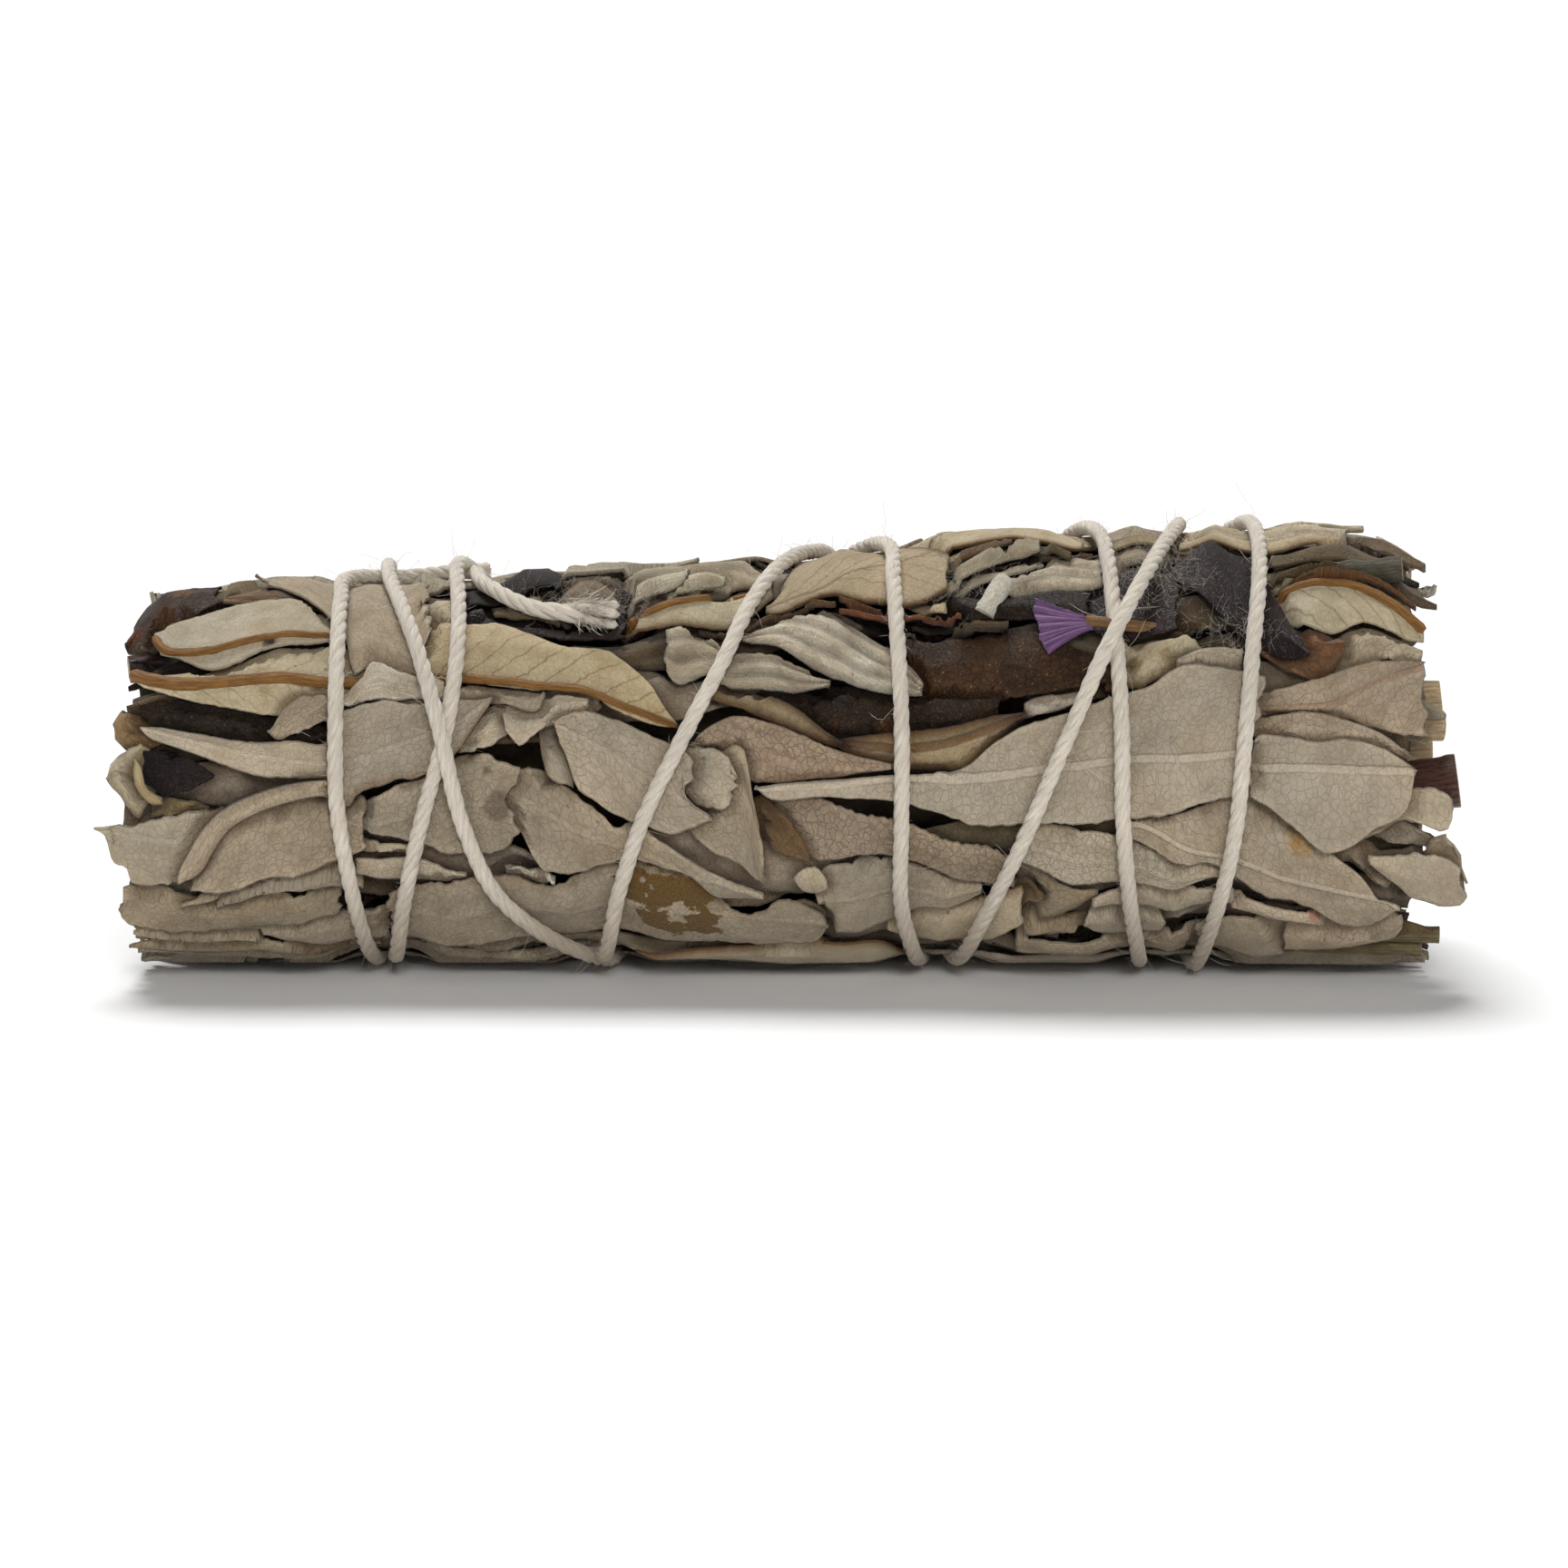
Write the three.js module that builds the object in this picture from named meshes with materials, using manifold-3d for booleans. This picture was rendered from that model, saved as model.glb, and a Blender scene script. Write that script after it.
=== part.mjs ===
import * as THREE from "three";
import Module from "manifold-3d";

// A small bunch of dried sage lying on its side, in millimetres, with +Z up.
// The origin is on the surface it lies on, under the middle of its length, and +X runs along it.

const wasm = await Module();
wasm.setup();
const { Manifold, Mesh } = wasm;

// Height and half depth of the bunch at stations along it
const outline = [
  { x: -52, height: 24.5, half: 12.6 },
  { x: -46, height: 27, half: 14 },
  { x: -38, height: 28.2, half: 14.4 },
  { x: -24, height: 28.9, half: 14.4 },
  { x: -8, height: 29, half: 14.9 },
  { x: 2, height: 30.4, half: 15.4 },
  { x: 14, height: 31.8, half: 16.2 },
  { x: 34, height: 32.6, half: 16.8 },
  { x: 44, height: 31.6, half: 16 },
  { x: 52, height: 27, half: 14 },
];
const roundness = 2.2; // 2 is an ellipse
const bottomDrop = 0.8; // how far the round bottom would pass below the surface it is flattened on

const leafThick = 1.05;
const leafGap = 0.3; // between a leaf and the one under it
const outerLeafDepth = 0.85; // below the middle of the string
const edgeRound = 0.3;
const turnLength = 0.26; // millimetres of surface in a degree of turn
const leafInset = 0.4; // so that leaves that only touch can lie side by side
const restLeafThick = 2.2;
const coreDepth = 2.2;
const coreSides = 28;
const coreRings = [
  { x: -46, depth: 6.5 },
  { x: -44.5, depth: 3.2 },
  { x: -38, depth: coreDepth },
  { x: -25, depth: coreDepth },
  { x: -8, depth: coreDepth },
  { x: 3, depth: coreDepth },
  { x: 15, depth: coreDepth },
  { x: 34, depth: coreDepth },
  { x: 43, depth: 2.8 },
  { x: 45, depth: 6 },
];

const stringRadius = 0.6;
const stringRise = 1.38; // where one turn crosses over another
const stringClearance = 0.3;
const stringLowest = 0.72; // height of its middle under the bunch
const stringStations = 270;
const liftReach = 3.4; // along the surface, from where one turn starts to rise over another

// The bunch as seen from a little above its front: across and up in the plane of its middle
const eyeDistance = 350;
const eyeRise = (8 * Math.PI) / 180;
const eyeAim = 13.05; // height of the middle of the view

const colors = {
  pale: "#b3a68f",
  taupe: "#9c8f7b",
  grey: "#b5a995",
  cream: "#c4b48c",
  tan: "#8f7650",
  olive: "#85795a",
  rust: "#8a7a58",
  dark: "#46382a",
  purple: "#33262a",
  woolly: "#a89c84",
  violet: "#76568c",
  bark: "#7f6c50",
  inner: "#6a5c44",
  cotton: "#dcd2c0",
};

// Leaves and stems of the front, the outermost first, each by its upper and lower edge from left to right
const frontLeaves = [
  {
    name: "long_pale_leaf",
    kind: "pale",
    top: [
      [-2.2, 12.9], [3.1, 13.5], [8.2, 14], [13.4, 14.7], [17.2, 17.1], [21.4, 18.6], [25.8, 20.1],
      [29.5, 21.6], [35.8, 21.1],
    ],
    low: [
      [-2.2, 12.9], [-0.9, 12], [6.3, 11.9], [11.4, 10.8], [14.7, 10], [21.3, 10], [26.4, 10.4],
      [30.3, 11.4], [34.6, 12.2],
    ],
  },
  {
    name: "front_leaf_right",
    kind: "pale",
    top: [[34.9, 14.9], [35.5, 16.6], [39.4, 16.2], [41.8, 16.4], [44.2, 15.8], [46.7, 14.1]],
    low: [[34.6, 12], [38.1, 9.8], [40.1, 8.6], [42.1, 8.9], [44.1, 10.1], [46.7, 13.6]],
  },
  {
    name: "broad_leaf_right_low",
    kind: "taupe",
    top: [[25.5, 10.2], [29.3, 10.8], [34.5, 12], [38.2, 9.3], [41.8, 7.1], [43.9, 4.9], [45.6, 4.4]],
    low: [[25.5, 8.7], [29, 7.3], [31.8, 6.8], [35.4, 4.8], [39.2, 4], [43, 2.8], [45.6, 4.2]],
  },
  {
    name: "round_leaf",
    kind: "pale",
    top: [
      [-17, 17.6], [-15.3, 18.4], [-12.5, 17.9], [-9.9, 17.2], [-8.1, 16.4], [-6.6, 14.3],
      [-6.1, 11.8], [-4.9, 10.7],
    ],
    low: [
      [-17, 17.2], [-16.4, 15.6], [-15.2, 12.7], [-13.4, 10.8], [-10.4, 9.8], [-6.9, 9.8],
      [-4.9, 10.3],
    ],
  },
  {
    name: "pale_leaf_left",
    kind: "pale",
    top: [[-32.8, 18.4], [-30.7, 19.1], [-26.8, 19.2], [-23.7, 19.5], [-21.6, 19.4]],
    low: [
      [-32.8, 11.1], [-31.8, 12], [-29, 13.3], [-25.8, 14.1], [-24.2, 15.5], [-22.5, 17.7],
      [-21.6, 19],
    ],
  },
  {
    name: "cream_veined_leaf",
    kind: "cream",
    top: [
      [-29.2, 24.6], [-26.8, 25.3], [-23.5, 25.3], [-20.4, 24.8], [-16.5, 23.2], [-13.1, 22.8],
      [-10.8, 21.2], [-7.9, 18],
    ],
    low: [
      [-29.2, 21.4], [-23.8, 19.9], [-20.5, 19.8], [-16.4, 20.1], [-13.7, 19.5], [-11, 18.4],
      [-7.9, 17.5],
    ],
  },
  {
    name: "broad_leaf_left_low",
    kind: "pale",
    top: [
      [-51.1, 10], [-47.9, 10.2], [-45.3, 10.7], [-42, 11.2], [-39, 12.8], [-36.9, 13.1],
      [-32.8, 12.5],
    ],
    low: [
      [-51.1, 9.6], [-48.4, 6.3], [-46.6, 5.9], [-45, 5.7], [-40.2, 5.9], [-38.1, 7.5],
      [-32.8, 9.2],
    ],
  },
  {
    name: "twisted_leaf",
    kind: "taupe",
    top: [[-32.7, 10.6], [-28.9, 13.1], [-24.2, 14.9], [-21.4, 14.6], [-19.7, 14]],
    low: [[-32.7, 9.5], [-28.1, 8.8], [-25, 7.8], [-20.9, 7.8], [-19.7, 10.6]],
  },
  {
    name: "taupe_leaf_low",
    kind: "taupe",
    top: [
      [-19.1, 13.3], [-18.3, 14.1], [-14.8, 11.9], [-12.5, 9.7], [-9.9, 9.2], [-7.3, 7.8],
      [-4.8, 6.5], [-1.3, 5.4],
    ],
    low: [[-19.1, 8.6], [-17.8, 6.6], [-13.5, 6.7], [-11, 6.9], [-8.3, 6.5], [-5, 4.9], [-1.3, 4.9]],
  },
  {
    name: "stained_leaf",
    kind: "rust",
    top: [
      [-28.5, 4.9], [-22.9, 5.9], [-20.4, 6.5], [-17.2, 6.5], [-13.5, 6.8], [-8.9, 6.3],
      [-5.5, 6.5], [-0.9, 4.3], [1.5, 3.6], [3.1, 3.2],
    ],
    low: [[-28.5, 1.9], [-22.9, 1.7], [-17.1, 1.5], [-8.9, 1.7], [-0.3, 1.5], [3.1, 2.3]],
  },
  {
    name: "pink_grey_leaf",
    kind: "taupe",
    top: [[-7.1, 16], [-4.4, 18], [-2.2, 17.9], [1, 16.8], [4.2, 15.5], [8.1, 14.5]],
    low: [[-7.1, 15.6], [-4.3, 14], [-2.2, 13.2], [5.1, 13.9], [8.1, 14.1]],
  },
  {
    name: "mauve_leaf",
    kind: "taupe",
    top: [[-1.6, 11.3], [1, 12.2], [5.1, 11.1], [8, 10.1], [11.8, 9.1], [16, 7.7]],
    low: [[-1.6, 11.1], [1, 9], [3.1, 7.8], [8.2, 7.5], [12.1, 6.4], [16, 5.4]],
  },
  {
    name: "pale_leaf_low",
    kind: "pale",
    top: [[2.4, 6.5], [3.1, 7.1], [8.2, 7.1], [11.8, 6.3], [14.9, 5.4]],
    low: [[2.4, 2.9], [5.1, 2.4], [7.9, 2.6], [11.2, 3.9], [14.9, 4.6]],
  },
  {
    name: "cream_leaf_low",
    kind: "cream",
    top: [[7.7, 3], [9.2, 3.6], [13.4, 4], [17.2, 4.7]],
    low: [[7.7, 1.3], [10.8, 1.2], [13.4, 1.2], [17.2, 1.9]],
  },
  {
    name: "veined_leaf_low",
    kind: "pale",
    top: [[17.2, 8.6], [18.3, 9.7], [21.3, 9.7], [25.8, 8.6], [29.3, 7.6], [32, 6.7]],
    low: [[17.2, 7.3], [21.3, 5.8], [24.4, 5.4], [27.7, 5.3], [30.3, 5.5], [32, 6.1]],
  },
  {
    name: "olive_leaf_low",
    kind: "olive",
    top: [[17.4, 6.7], [21.1, 5.2], [24.6, 5], [28.7, 5], [32.4, 5.4]],
    low: [[17.4, 3.9], [19.2, 3.1], [24.6, 2.6], [28.7, 2.6], [32.4, 3.2]],
  },
  {
    name: "pale_spear_leaf",
    kind: "pale",
    top: [[-47.7, 17.2], [-46.2, 17.3], [-42.7, 16.8], [-40.2, 16.4], [-36.3, 16], [-33.2, 15.6]],
    low: [[-47.7, 16.8], [-45.4, 15.3], [-42.7, 14.3], [-39, 13.1], [-33.2, 12.9]],
  },
  {
    name: "cream_leaf_left",
    kind: "cream",
    top: [[-48.3, 20.6], [-44.6, 20.8], [-40.6, 21.9], [-37.6, 22.9], [-33.4, 23.9], [-31.6, 24]],
    low: [[-48.3, 20.2], [-46.6, 19.7], [-42.7, 19], [-37.2, 18.3], [-33.7, 19.8], [-31.6, 20.3]],
  },
  {
    name: "flower",
    kind: "violet",
    top: [[18.6, 26.5], [20.9, 26.2], [22.9, 25.4]],
    low: [[19.4, 22.6], [21.1, 23.4], [22.9, 24.5]],
  },
  {
    name: "flower_tube",
    kind: "tan",
    top: [[23.6, 25.4], [25.3, 25.4], [27.6, 25]],
    low: [[23.6, 24.6], [25.3, 24.4], [27.6, 24.2]],
  },
  {
    name: "woolly_plug",
    kind: "woolly",
    top: [[14.3, 26.8], [15.4, 28], [16.9, 27.6]],
    low: [[14.5, 25.6], [15.7, 25.4], [16.8, 26.7]],
  },
  {
    name: "cut_twig",
    kind: "bark",
    top: [[37.4, 29.5], [39.8, 29.7], [42.8, 30], [45.9, 29.9]],
    low: [[37.4, 28.4], [39.8, 28.5], [42.8, 28.3], [45.9, 28.3]],
  },
  {
    name: "pale_stem_end",
    kind: "bark",
    top: [[43.4, 20.9], [47.6, 21.4], [49, 21.3]],
    low: [[43.4, 17.6], [47.6, 18], [49, 18.1]],
  },
  {
    name: "dark_stem_end",
    kind: "bark",
    top: [[43.6, 15.3], [47.6, 15.7], [49.1, 15.6], [49.9, 14.5]],
    low: [[43.6, 12.6], [47.6, 12.9], [48.9, 12.2], [49.7, 12.1]],
  },
  {
    name: "grey_leaf_left",
    kind: "grey",
    top: [[-46.6, 23.9], [-45.3, 24.6], [-42.7, 25.4], [-37.6, 26.4], [-33.7, 26.7], [-31.6, 26.8]],
    low: [[-46.6, 23.6], [-45.4, 22.3], [-42.5, 21.3], [-38.9, 22.6], [-33.4, 24.2], [-31.6, 24.4]],
  },
  {
    name: "flat_leaf_top_left",
    kind: "taupe",
    top: [[-31.2, 28], [-29.2, 28.1], [-26.9, 27.9]],
    low: [[-31.2, 21.7], [-29.2, 21.4], [-26.9, 24.1]],
  },
  {
    name: "cream_green_leaf",
    kind: "cream",
    top: [[36.6, 27.3], [39.4, 27.9], [41.8, 27.7], [43.6, 27.1], [45.4, 26], [47.3, 24.1]],
    low: [[36.6, 26], [40.6, 24], [43, 24.7], [45.5, 24.1], [47.3, 23.3]],
  },
  {
    name: "pinkish_leaf_right",
    kind: "taupe",
    top: [[35.3, 19.9], [40.4, 21.1], [43.6, 22], [47.3, 22.1]],
    low: [[35.3, 18.5], [38.8, 18.5], [42.8, 17.7], [47.3, 16.6]],
  },
  {
    name: "red_brown_leaf",
    kind: "tan",
    top: [[35.5, 24.8], [37.4, 25.1], [40.6, 23.8], [43.2, 24.4], [47.3, 23]],
    low: [[35.5, 22.9], [38.2, 21.1], [40.9, 21.6], [43.6, 22.3], [47.3, 22.5]],
  },
  {
    name: "oval_leaf_right",
    kind: "taupe",
    top: [[34.9, 18], [37, 18.3], [38.8, 18.4], [41.2, 17.8], [44.2, 16.8], [46.6, 15.3]],
    low: [[34.9, 17], [38.1, 16.8], [41.8, 16.8], [44.2, 16.2], [46.6, 14.9]],
  },
  {
    name: "folded_leaf_end",
    kind: "pale",
    top: [[43.1, 10.3], [46, 12.1], [48.2, 12.5], [49.9, 10.6], [50.7, 5.9]],
    low: [[43.1, 9], [45.5, 6.6], [47.9, 4.9], [49.5, 4.3], [50.7, 4.9]],
  },
  {
    name: "bottom_leaf_right",
    kind: "taupe",
    top: [[32, 2.4], [35.4, 3], [39.4, 3.1], [45.8, 3.5]],
    low: [[32, 0.8], [36.9, 0.7], [41.5, 1.2], [45.8, 2.4]],
  },
  {
    name: "bottom_leaf_left",
    kind: "tan",
    top: [[-48.5, 2], [-44.7, 2], [-38.9, 2.2], [-32.7, 2.7], [-27.9, 2.7]],
    low: [[-48.5, 1.6], [-45.3, 1], [-36.3, 1.1], [-30.5, 0.9], [-27.9, 0.9]],
  },
  {
    name: "tan_leaf_left_low",
    kind: "tan",
    top: [[-48.9, 4.9], [-47.4, 5.5], [-43.9, 4.9], [-41.5, 5], [-38.9, 6.1], [-32.7, 6.5]],
    low: [[-48.9, 3.2], [-44.6, 2.5], [-40.2, 2.6], [-32.7, 3.2]],
  },
  {
    name: "bottom_leaf_centre",
    kind: "cream",
    top: [[-18.4, 1.1], [-11, 1.2], [-4.3, 1.2], [3.1, 1.3], [6.9, 1.1], [9, 0]],
    low: [[-18.4, 0.7], [-11, 0.5], [-2.2, 0.2], [3.1, 0.1], [7.5, -0.1], [9, -0.3]],
  },
  {
    name: "purple_leaf_left",
    kind: "purple",
    top: [[-48.1, 15], [-47, 15.5], [-44.7, 15.1], [-42, 14]],
    low: [[-48.1, 14.3], [-47, 12.9], [-45.4, 12.2], [-42, 13.1]],
  },
  {
    name: "dark_leaf_left",
    kind: "dark",
    top: [[-47.5, 18.6], [-45.3, 19.2], [-40.2, 19], [-33.2, 19]],
    low: [[-47.5, 18.2], [-45, 17.4], [-40.2, 16.6], [-33.2, 17.4]],
  },
  {
    name: "cream_leaf_top",
    kind: "cream",
    top: [[-0.9, 28.1], [1.5, 30.3], [5.1, 30.8], [7.5, 30.8], [10, 30.3], [12.1, 28.1]],
    low: [[-0.9, 26], [3, 26.8], [5.1, 26.8], [7.5, 27.1], [9.8, 26.8], [12.1, 27.1]],
  },
  {
    name: "s_curved_leaf",
    kind: "cream",
    top: [[-12, 26], [-8.6, 26.4], [-6.1, 26.8], [-3.5, 27.8], [-0.9, 28.8]],
    low: [[-12, 24.8], [-7.9, 24.5], [-4.8, 24.6], [-3.1, 25.4], [-0.9, 27.5]],
  },
  {
    name: "woolly_leaf_centre",
    kind: "woolly",
    top: [[-3, 24.8], [-0.9, 25.8], [1.7, 26], [5.1, 24.6], [7.9, 23.2], [10.5, 20.7]],
    low: [[-3, 24.1], [2.3, 21.5], [5.7, 20.2], [8.2, 19.9], [10.5, 19.7]],
  },
  {
    name: "folded_tan_leaf",
    kind: "tan",
    top: [[3.8, 16.4], [6.8, 16.8], [9.6, 17], [13.2, 17.5], [17.9, 18.2]],
    low: [[3.8, 15.9], [6.5, 14.3], [9.3, 14.1], [13.3, 13.9], [15.5, 16], [17.9, 17.9]],
  },
  {
    name: "dark_leaf_centre",
    kind: "dark",
    top: [[-4.3, 20.6], [-0.9, 20.2], [2.4, 20.6], [6.5, 20.2], [11, 19.4]],
    low: [[-4.3, 19.8], [-0.9, 18], [2.4, 16.4], [6.5, 16.1], [11, 17.4]],
  },
  {
    name: "dark_brown_leaf",
    kind: "dark",
    top: [[9.2, 24.1], [13.2, 24.6], [18.6, 24.1], [23.3, 22.9]],
    low: [[9.2, 19.4], [14.4, 19], [17.8, 19.5], [22.4, 20.4], [23.3, 20.6]],
  },
  {
    name: "cream_leaf_top_right",
    kind: "cream",
    top: [[9.2, 30.7], [11.1, 31.2], [13.1, 31.6], [16, 31.8], [18.4, 32], [21.9, 31.2]],
    low: [[9.2, 29.1], [12.1, 29.8], [16.4, 30], [17.9, 30.7], [21.9, 30.7]],
  },
  {
    name: "woolly_leaf_top_right",
    kind: "woolly",
    top: [[16.6, 28.7], [19.2, 29.3], [22.6, 29.7]],
    low: [[16.6, 27.1], [19.2, 27.5], [22.6, 28.1]],
  },
  {
    name: "dark_hairy_leaf",
    kind: "purple",
    top: [[24.1, 28.7], [26.7, 29.1], [28.7, 28.1]],
    low: [[24.1, 25.8], [26.7, 24.8], [28.7, 24.8]],
  },
  {
    name: "dark_purple_leaf",
    kind: "purple",
    top: [[29.1, 29.5], [30.3, 30.4], [34.3, 30.4], [36.3, 28.1], [38.6, 22.7]],
    low: [[29.1, 28.1], [31.6, 26.5], [33.5, 24.8], [36.1, 23.1], [38.6, 22.3]],
  },
  {
    name: "woolly_leaf_top_end",
    kind: "woolly",
    top: [[30.6, 31.8], [34.4, 32.6], [38.4, 32.4], [41.5, 32]],
    low: [[30.6, 30.5], [35.8, 28.7], [39, 28.7], [41.5, 30.3]],
  },
];

// Leaves of the back: x and turn round the bunch in degrees, 90 at the top and 180 at the back
const backLeaves = [
  {
    name: "back_leaf_top_left",
    kind: "taupe",
    top: [[-47, 122], [-38, 144], [-20, 150], [-8, 142], [-1, 126]],
    low: [[-47, 118], [-38, 108], [-20, 106], [-8, 110], [-1, 122]],
  },
  {
    name: "back_leaf_top_right",
    kind: "pale",
    top: [[1.5, 130], [12, 148], [28, 152], [41, 146], [48, 132]],
    low: [[1.5, 126], [12, 110], [28, 106], [41, 110], [48, 124]],
  },
  {
    name: "back_leaf_middle_left",
    kind: "pale",
    top: [[-49, 178], [-40, 196], [-25, 201], [-12, 196], [-3, 182]],
    low: [[-49, 172], [-40, 156], [-25, 154], [-12, 157], [-3, 176]],
  },
  {
    name: "back_leaf_middle_right",
    kind: "taupe",
    top: [[-1, 182], [8, 198], [24, 202], [38, 198], [49, 184]],
    low: [[-1, 176], [8, 160], [24, 157], [38, 158], [49, 178]],
  },
  {
    name: "back_leaf_low_left",
    kind: "tan",
    top: [[-47, 224], [-36, 235], [-20, 238], [-4, 234], [5, 225]],
    low: [[-47, 220], [-36, 206], [-20, 205], [-4, 207], [5, 222]],
  },
  {
    name: "back_leaf_low_right",
    kind: "pale",
    top: [[7.5, 225], [18, 234], [30, 238], [41, 235], [47, 226]],
    low: [[7.5, 222], [18, 208], [30, 206], [41, 208], [47, 222]],
  },
];

// Leaves that the bunch lies on, pressed flat
const restLeaves = [
  {
    name: "rest_leaf_left",
    kind: "taupe",
    top: [[-43, -84], [-36, -72], [-22, -69], [-10, -71], [-1.5, -83]],
    low: [[-43, -96], [-36, -108], [-22, -111], [-10, -109], [-1.5, -97]],
  },
  {
    name: "rest_leaf_right",
    kind: "pale",
    top: [[1.5, -83], [10, -71], [24, -69], [36, -72], [43, -84]],
    low: [[1.5, -97], [10, -109], [24, -111], [36, -108], [43, -96]],
  },
];

// Front passes of the string in the order it is wound, from the top to the bottom of the bunch
const passes = [
  [[-32, 28.3], [-33, 23.4], [-33.2, 17.4], [-33.2, 12.9], [-32, 5.5], [-30.5, 0.8]],
  [[-29.4, 28.3], [-27.7, 23.9], [-26, 19.2], [-24.9, 14.5], [-23.2, 8.8], [-19.6, 3.5], [-14.1, 0.9]],
  [[7.3, 31], [8.2, 25.7], [8.7, 18], [8.7, 10.9], [8.7, 4.4], [9.8, 0.8]],
  [[23.2, 31.1], [24.5, 24.2], [25, 17.4], [25.2, 8.3], [26.3, 0.8]],
  [[34.4, 32.7], [35.2, 28.1], [34.5, 20.7], [33.5, 10.3], [30.7, 0.8]],
  [[29.3, 31.6], [25.5, 25.3], [22.9, 20.7], [20, 14.1], [16.6, 7], [13.1, 0.9]],
  [[1.5, 30.5], [-2.1, 26.5], [-4.8, 21.2], [-7.7, 16], [-11.2, 8.8], [-13.5, 0.7]],
  [[-23.9, 28.3], [-24.1, 24.6], [-24.6, 18.6], [-25.9, 14.1], [-27.5, 8], [-28.7, 1.2]],
];
const tail = [[-12.2, 25], [-15.9, 25.4], [-19.6, 25.6], [-22.2, 27.2], [-23.3, 28.3]];
const turnsOfBack = [-112, -135, -160, -180, -200, -225, -248];

function between(list, at, key) {
  let i = 1;
  while (i < list.length - 1 && list[i].x < at) i += 1;
  const a = list[i - 1];
  const b = list[i];
  const t = THREE.MathUtils.clamp((at - a.x) / (b.x - a.x), 0, 1);
  return a[key] + (b[key] - a[key]) * t;
}

// Half sizes of the section at x, at a depth under its outside
function sectionAt(x, z, depth) {
  const height = between(outline, x, "height");
  const rise = height / 2 + (z < height / 2 ? bottomDrop : 0);
  return { middle: height / 2, half: between(outline, x, "half") - depth, rise: rise - depth };
}

function signedPower(value, power) {
  return Math.sign(value) * Math.abs(value) ** power;
}

// The point at x, at a turn round the bunch, at a depth under its outside
function place(x, turn, depth) {
  const angle = THREE.MathUtils.degToRad(turn);
  const s = Math.sin(angle);
  const section = sectionAt(x, s < 0 ? -1 : Infinity, depth);
  const y = -section.half * signedPower(Math.cos(angle), 2 / roundness);
  const z = section.middle + section.rise * signedPower(s, 2 / roundness);
  return new THREE.Vector3(x, y, Math.max(z, depth));
}

// Where the line of sight through a point of the view meets the bunch, as x and turn
function sight([across, up]) {
  const aim = new THREE.Vector3(0, 0, eyeAim);
  const back = new THREE.Vector3(0, -Math.cos(eyeRise), Math.sin(eyeRise));
  const upward = new THREE.Vector3(0, Math.sin(eyeRise), Math.cos(eyeRise));
  const eye = aim.clone().addScaledVector(back, eyeDistance);
  const target = aim.clone().addScaledVector(upward, up - eyeAim);
  target.x += across;
  const ray = target.clone().sub(eye).normalize();
  const reach = eye.distanceTo(target);
  let best = null;
  for (let away = reach - 25; away < reach + 20; away += 0.1) {
    const p = eye.clone().addScaledVector(ray, away);
    const section = sectionAt(p.x, p.z, outerLeafDepth);
    const side = Math.abs(p.y / section.half) ** roundness;
    const over = Math.abs((p.z - section.middle) / section.rise) ** roundness;
    if (!best || side + over < best.value) {
      best = { p, section, value: side + over };
    }
    if (side + over < 1) break;
  }
  const c = -signedPower(best.p.y / best.section.half, roundness / 2);
  const s = signedPower((best.p.z - best.section.middle) / best.section.rise, roundness / 2);
  return [best.p.x, THREE.MathUtils.radToDeg(Math.atan2(s, c))];
}

// A point at a share of the length of a line of points, by its first coordinate
function along(points, share) {
  const first = points[0][0];
  const last = points[points.length - 1][0];
  const at = first + (last - first) * share;
  let i = 1;
  while (i < points.length - 1 && points[i][0] < at) i += 1;
  const a = points[i - 1];
  const b = points[i];
  const t = (at - a[0]) / (b[0] - a[0]);
  return [at, a[1] + (b[1] - a[1]) * t];
}

// Rows of [x, turn] from the lower to the upper edge, at stations along the leaf
function gridOf(leaf, toBunch) {
  const long = Math.abs(leaf.top[leaf.top.length - 1][0] - leaf.top[0][0]);
  const stations = THREE.MathUtils.clamp(Math.round(long / 3.2), 2, 9);
  const rows = [];
  for (let i = 0; i <= stations; i += 1) {
    const share = leafInset / long + (i / stations) * (1 - (2 * leafInset) / long);
    const low = toBunch(along(leaf.low, share));
    const top = toBunch(along(leaf.top, share));
    const inset = Math.min(leafInset / turnLength, (top[1] - low[1]) * 0.4);
    low[1] += inset;
    top[1] -= inset;
    const row = [];
    for (let j = 0; j <= 3; j += 1) {
      row.push([low[0] + ((top[0] - low[0]) * j) / 3, low[1] + ((top[1] - low[1]) * j) / 3]);
    }
    rows.push(row);
  }
  return rows;
}

function borderOf(grid) {
  const last = grid.length - 1;
  const border = [...grid.map((row) => row[0]), ...grid[last].slice(1)];
  for (let i = last - 1; i >= 0; i -= 1) border.push(grid[i][3]);
  border.push(grid[0][2], grid[0][1]);
  return border.map(([x, turn]) => new THREE.Vector2(x, turn * turnLength));
}

function nearBorder(point, border) {
  let inside = false;
  let nearest = Infinity;
  border.forEach((a, i) => {
    const b = border[(i + 1) % border.length];
    if (a.y > point.y !== b.y > point.y) {
      if (point.x < ((b.x - a.x) * (point.y - a.y)) / (b.y - a.y) + a.x) inside = !inside;
    }
    const side = b.clone().sub(a);
    const t = THREE.MathUtils.clamp(point.clone().sub(a).dot(side) / side.lengthSq(), 0, 1);
    nearest = Math.min(nearest, point.distanceTo(a.clone().addScaledVector(side, t)));
  });
  return inside || nearest < leafGap;
}

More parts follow.
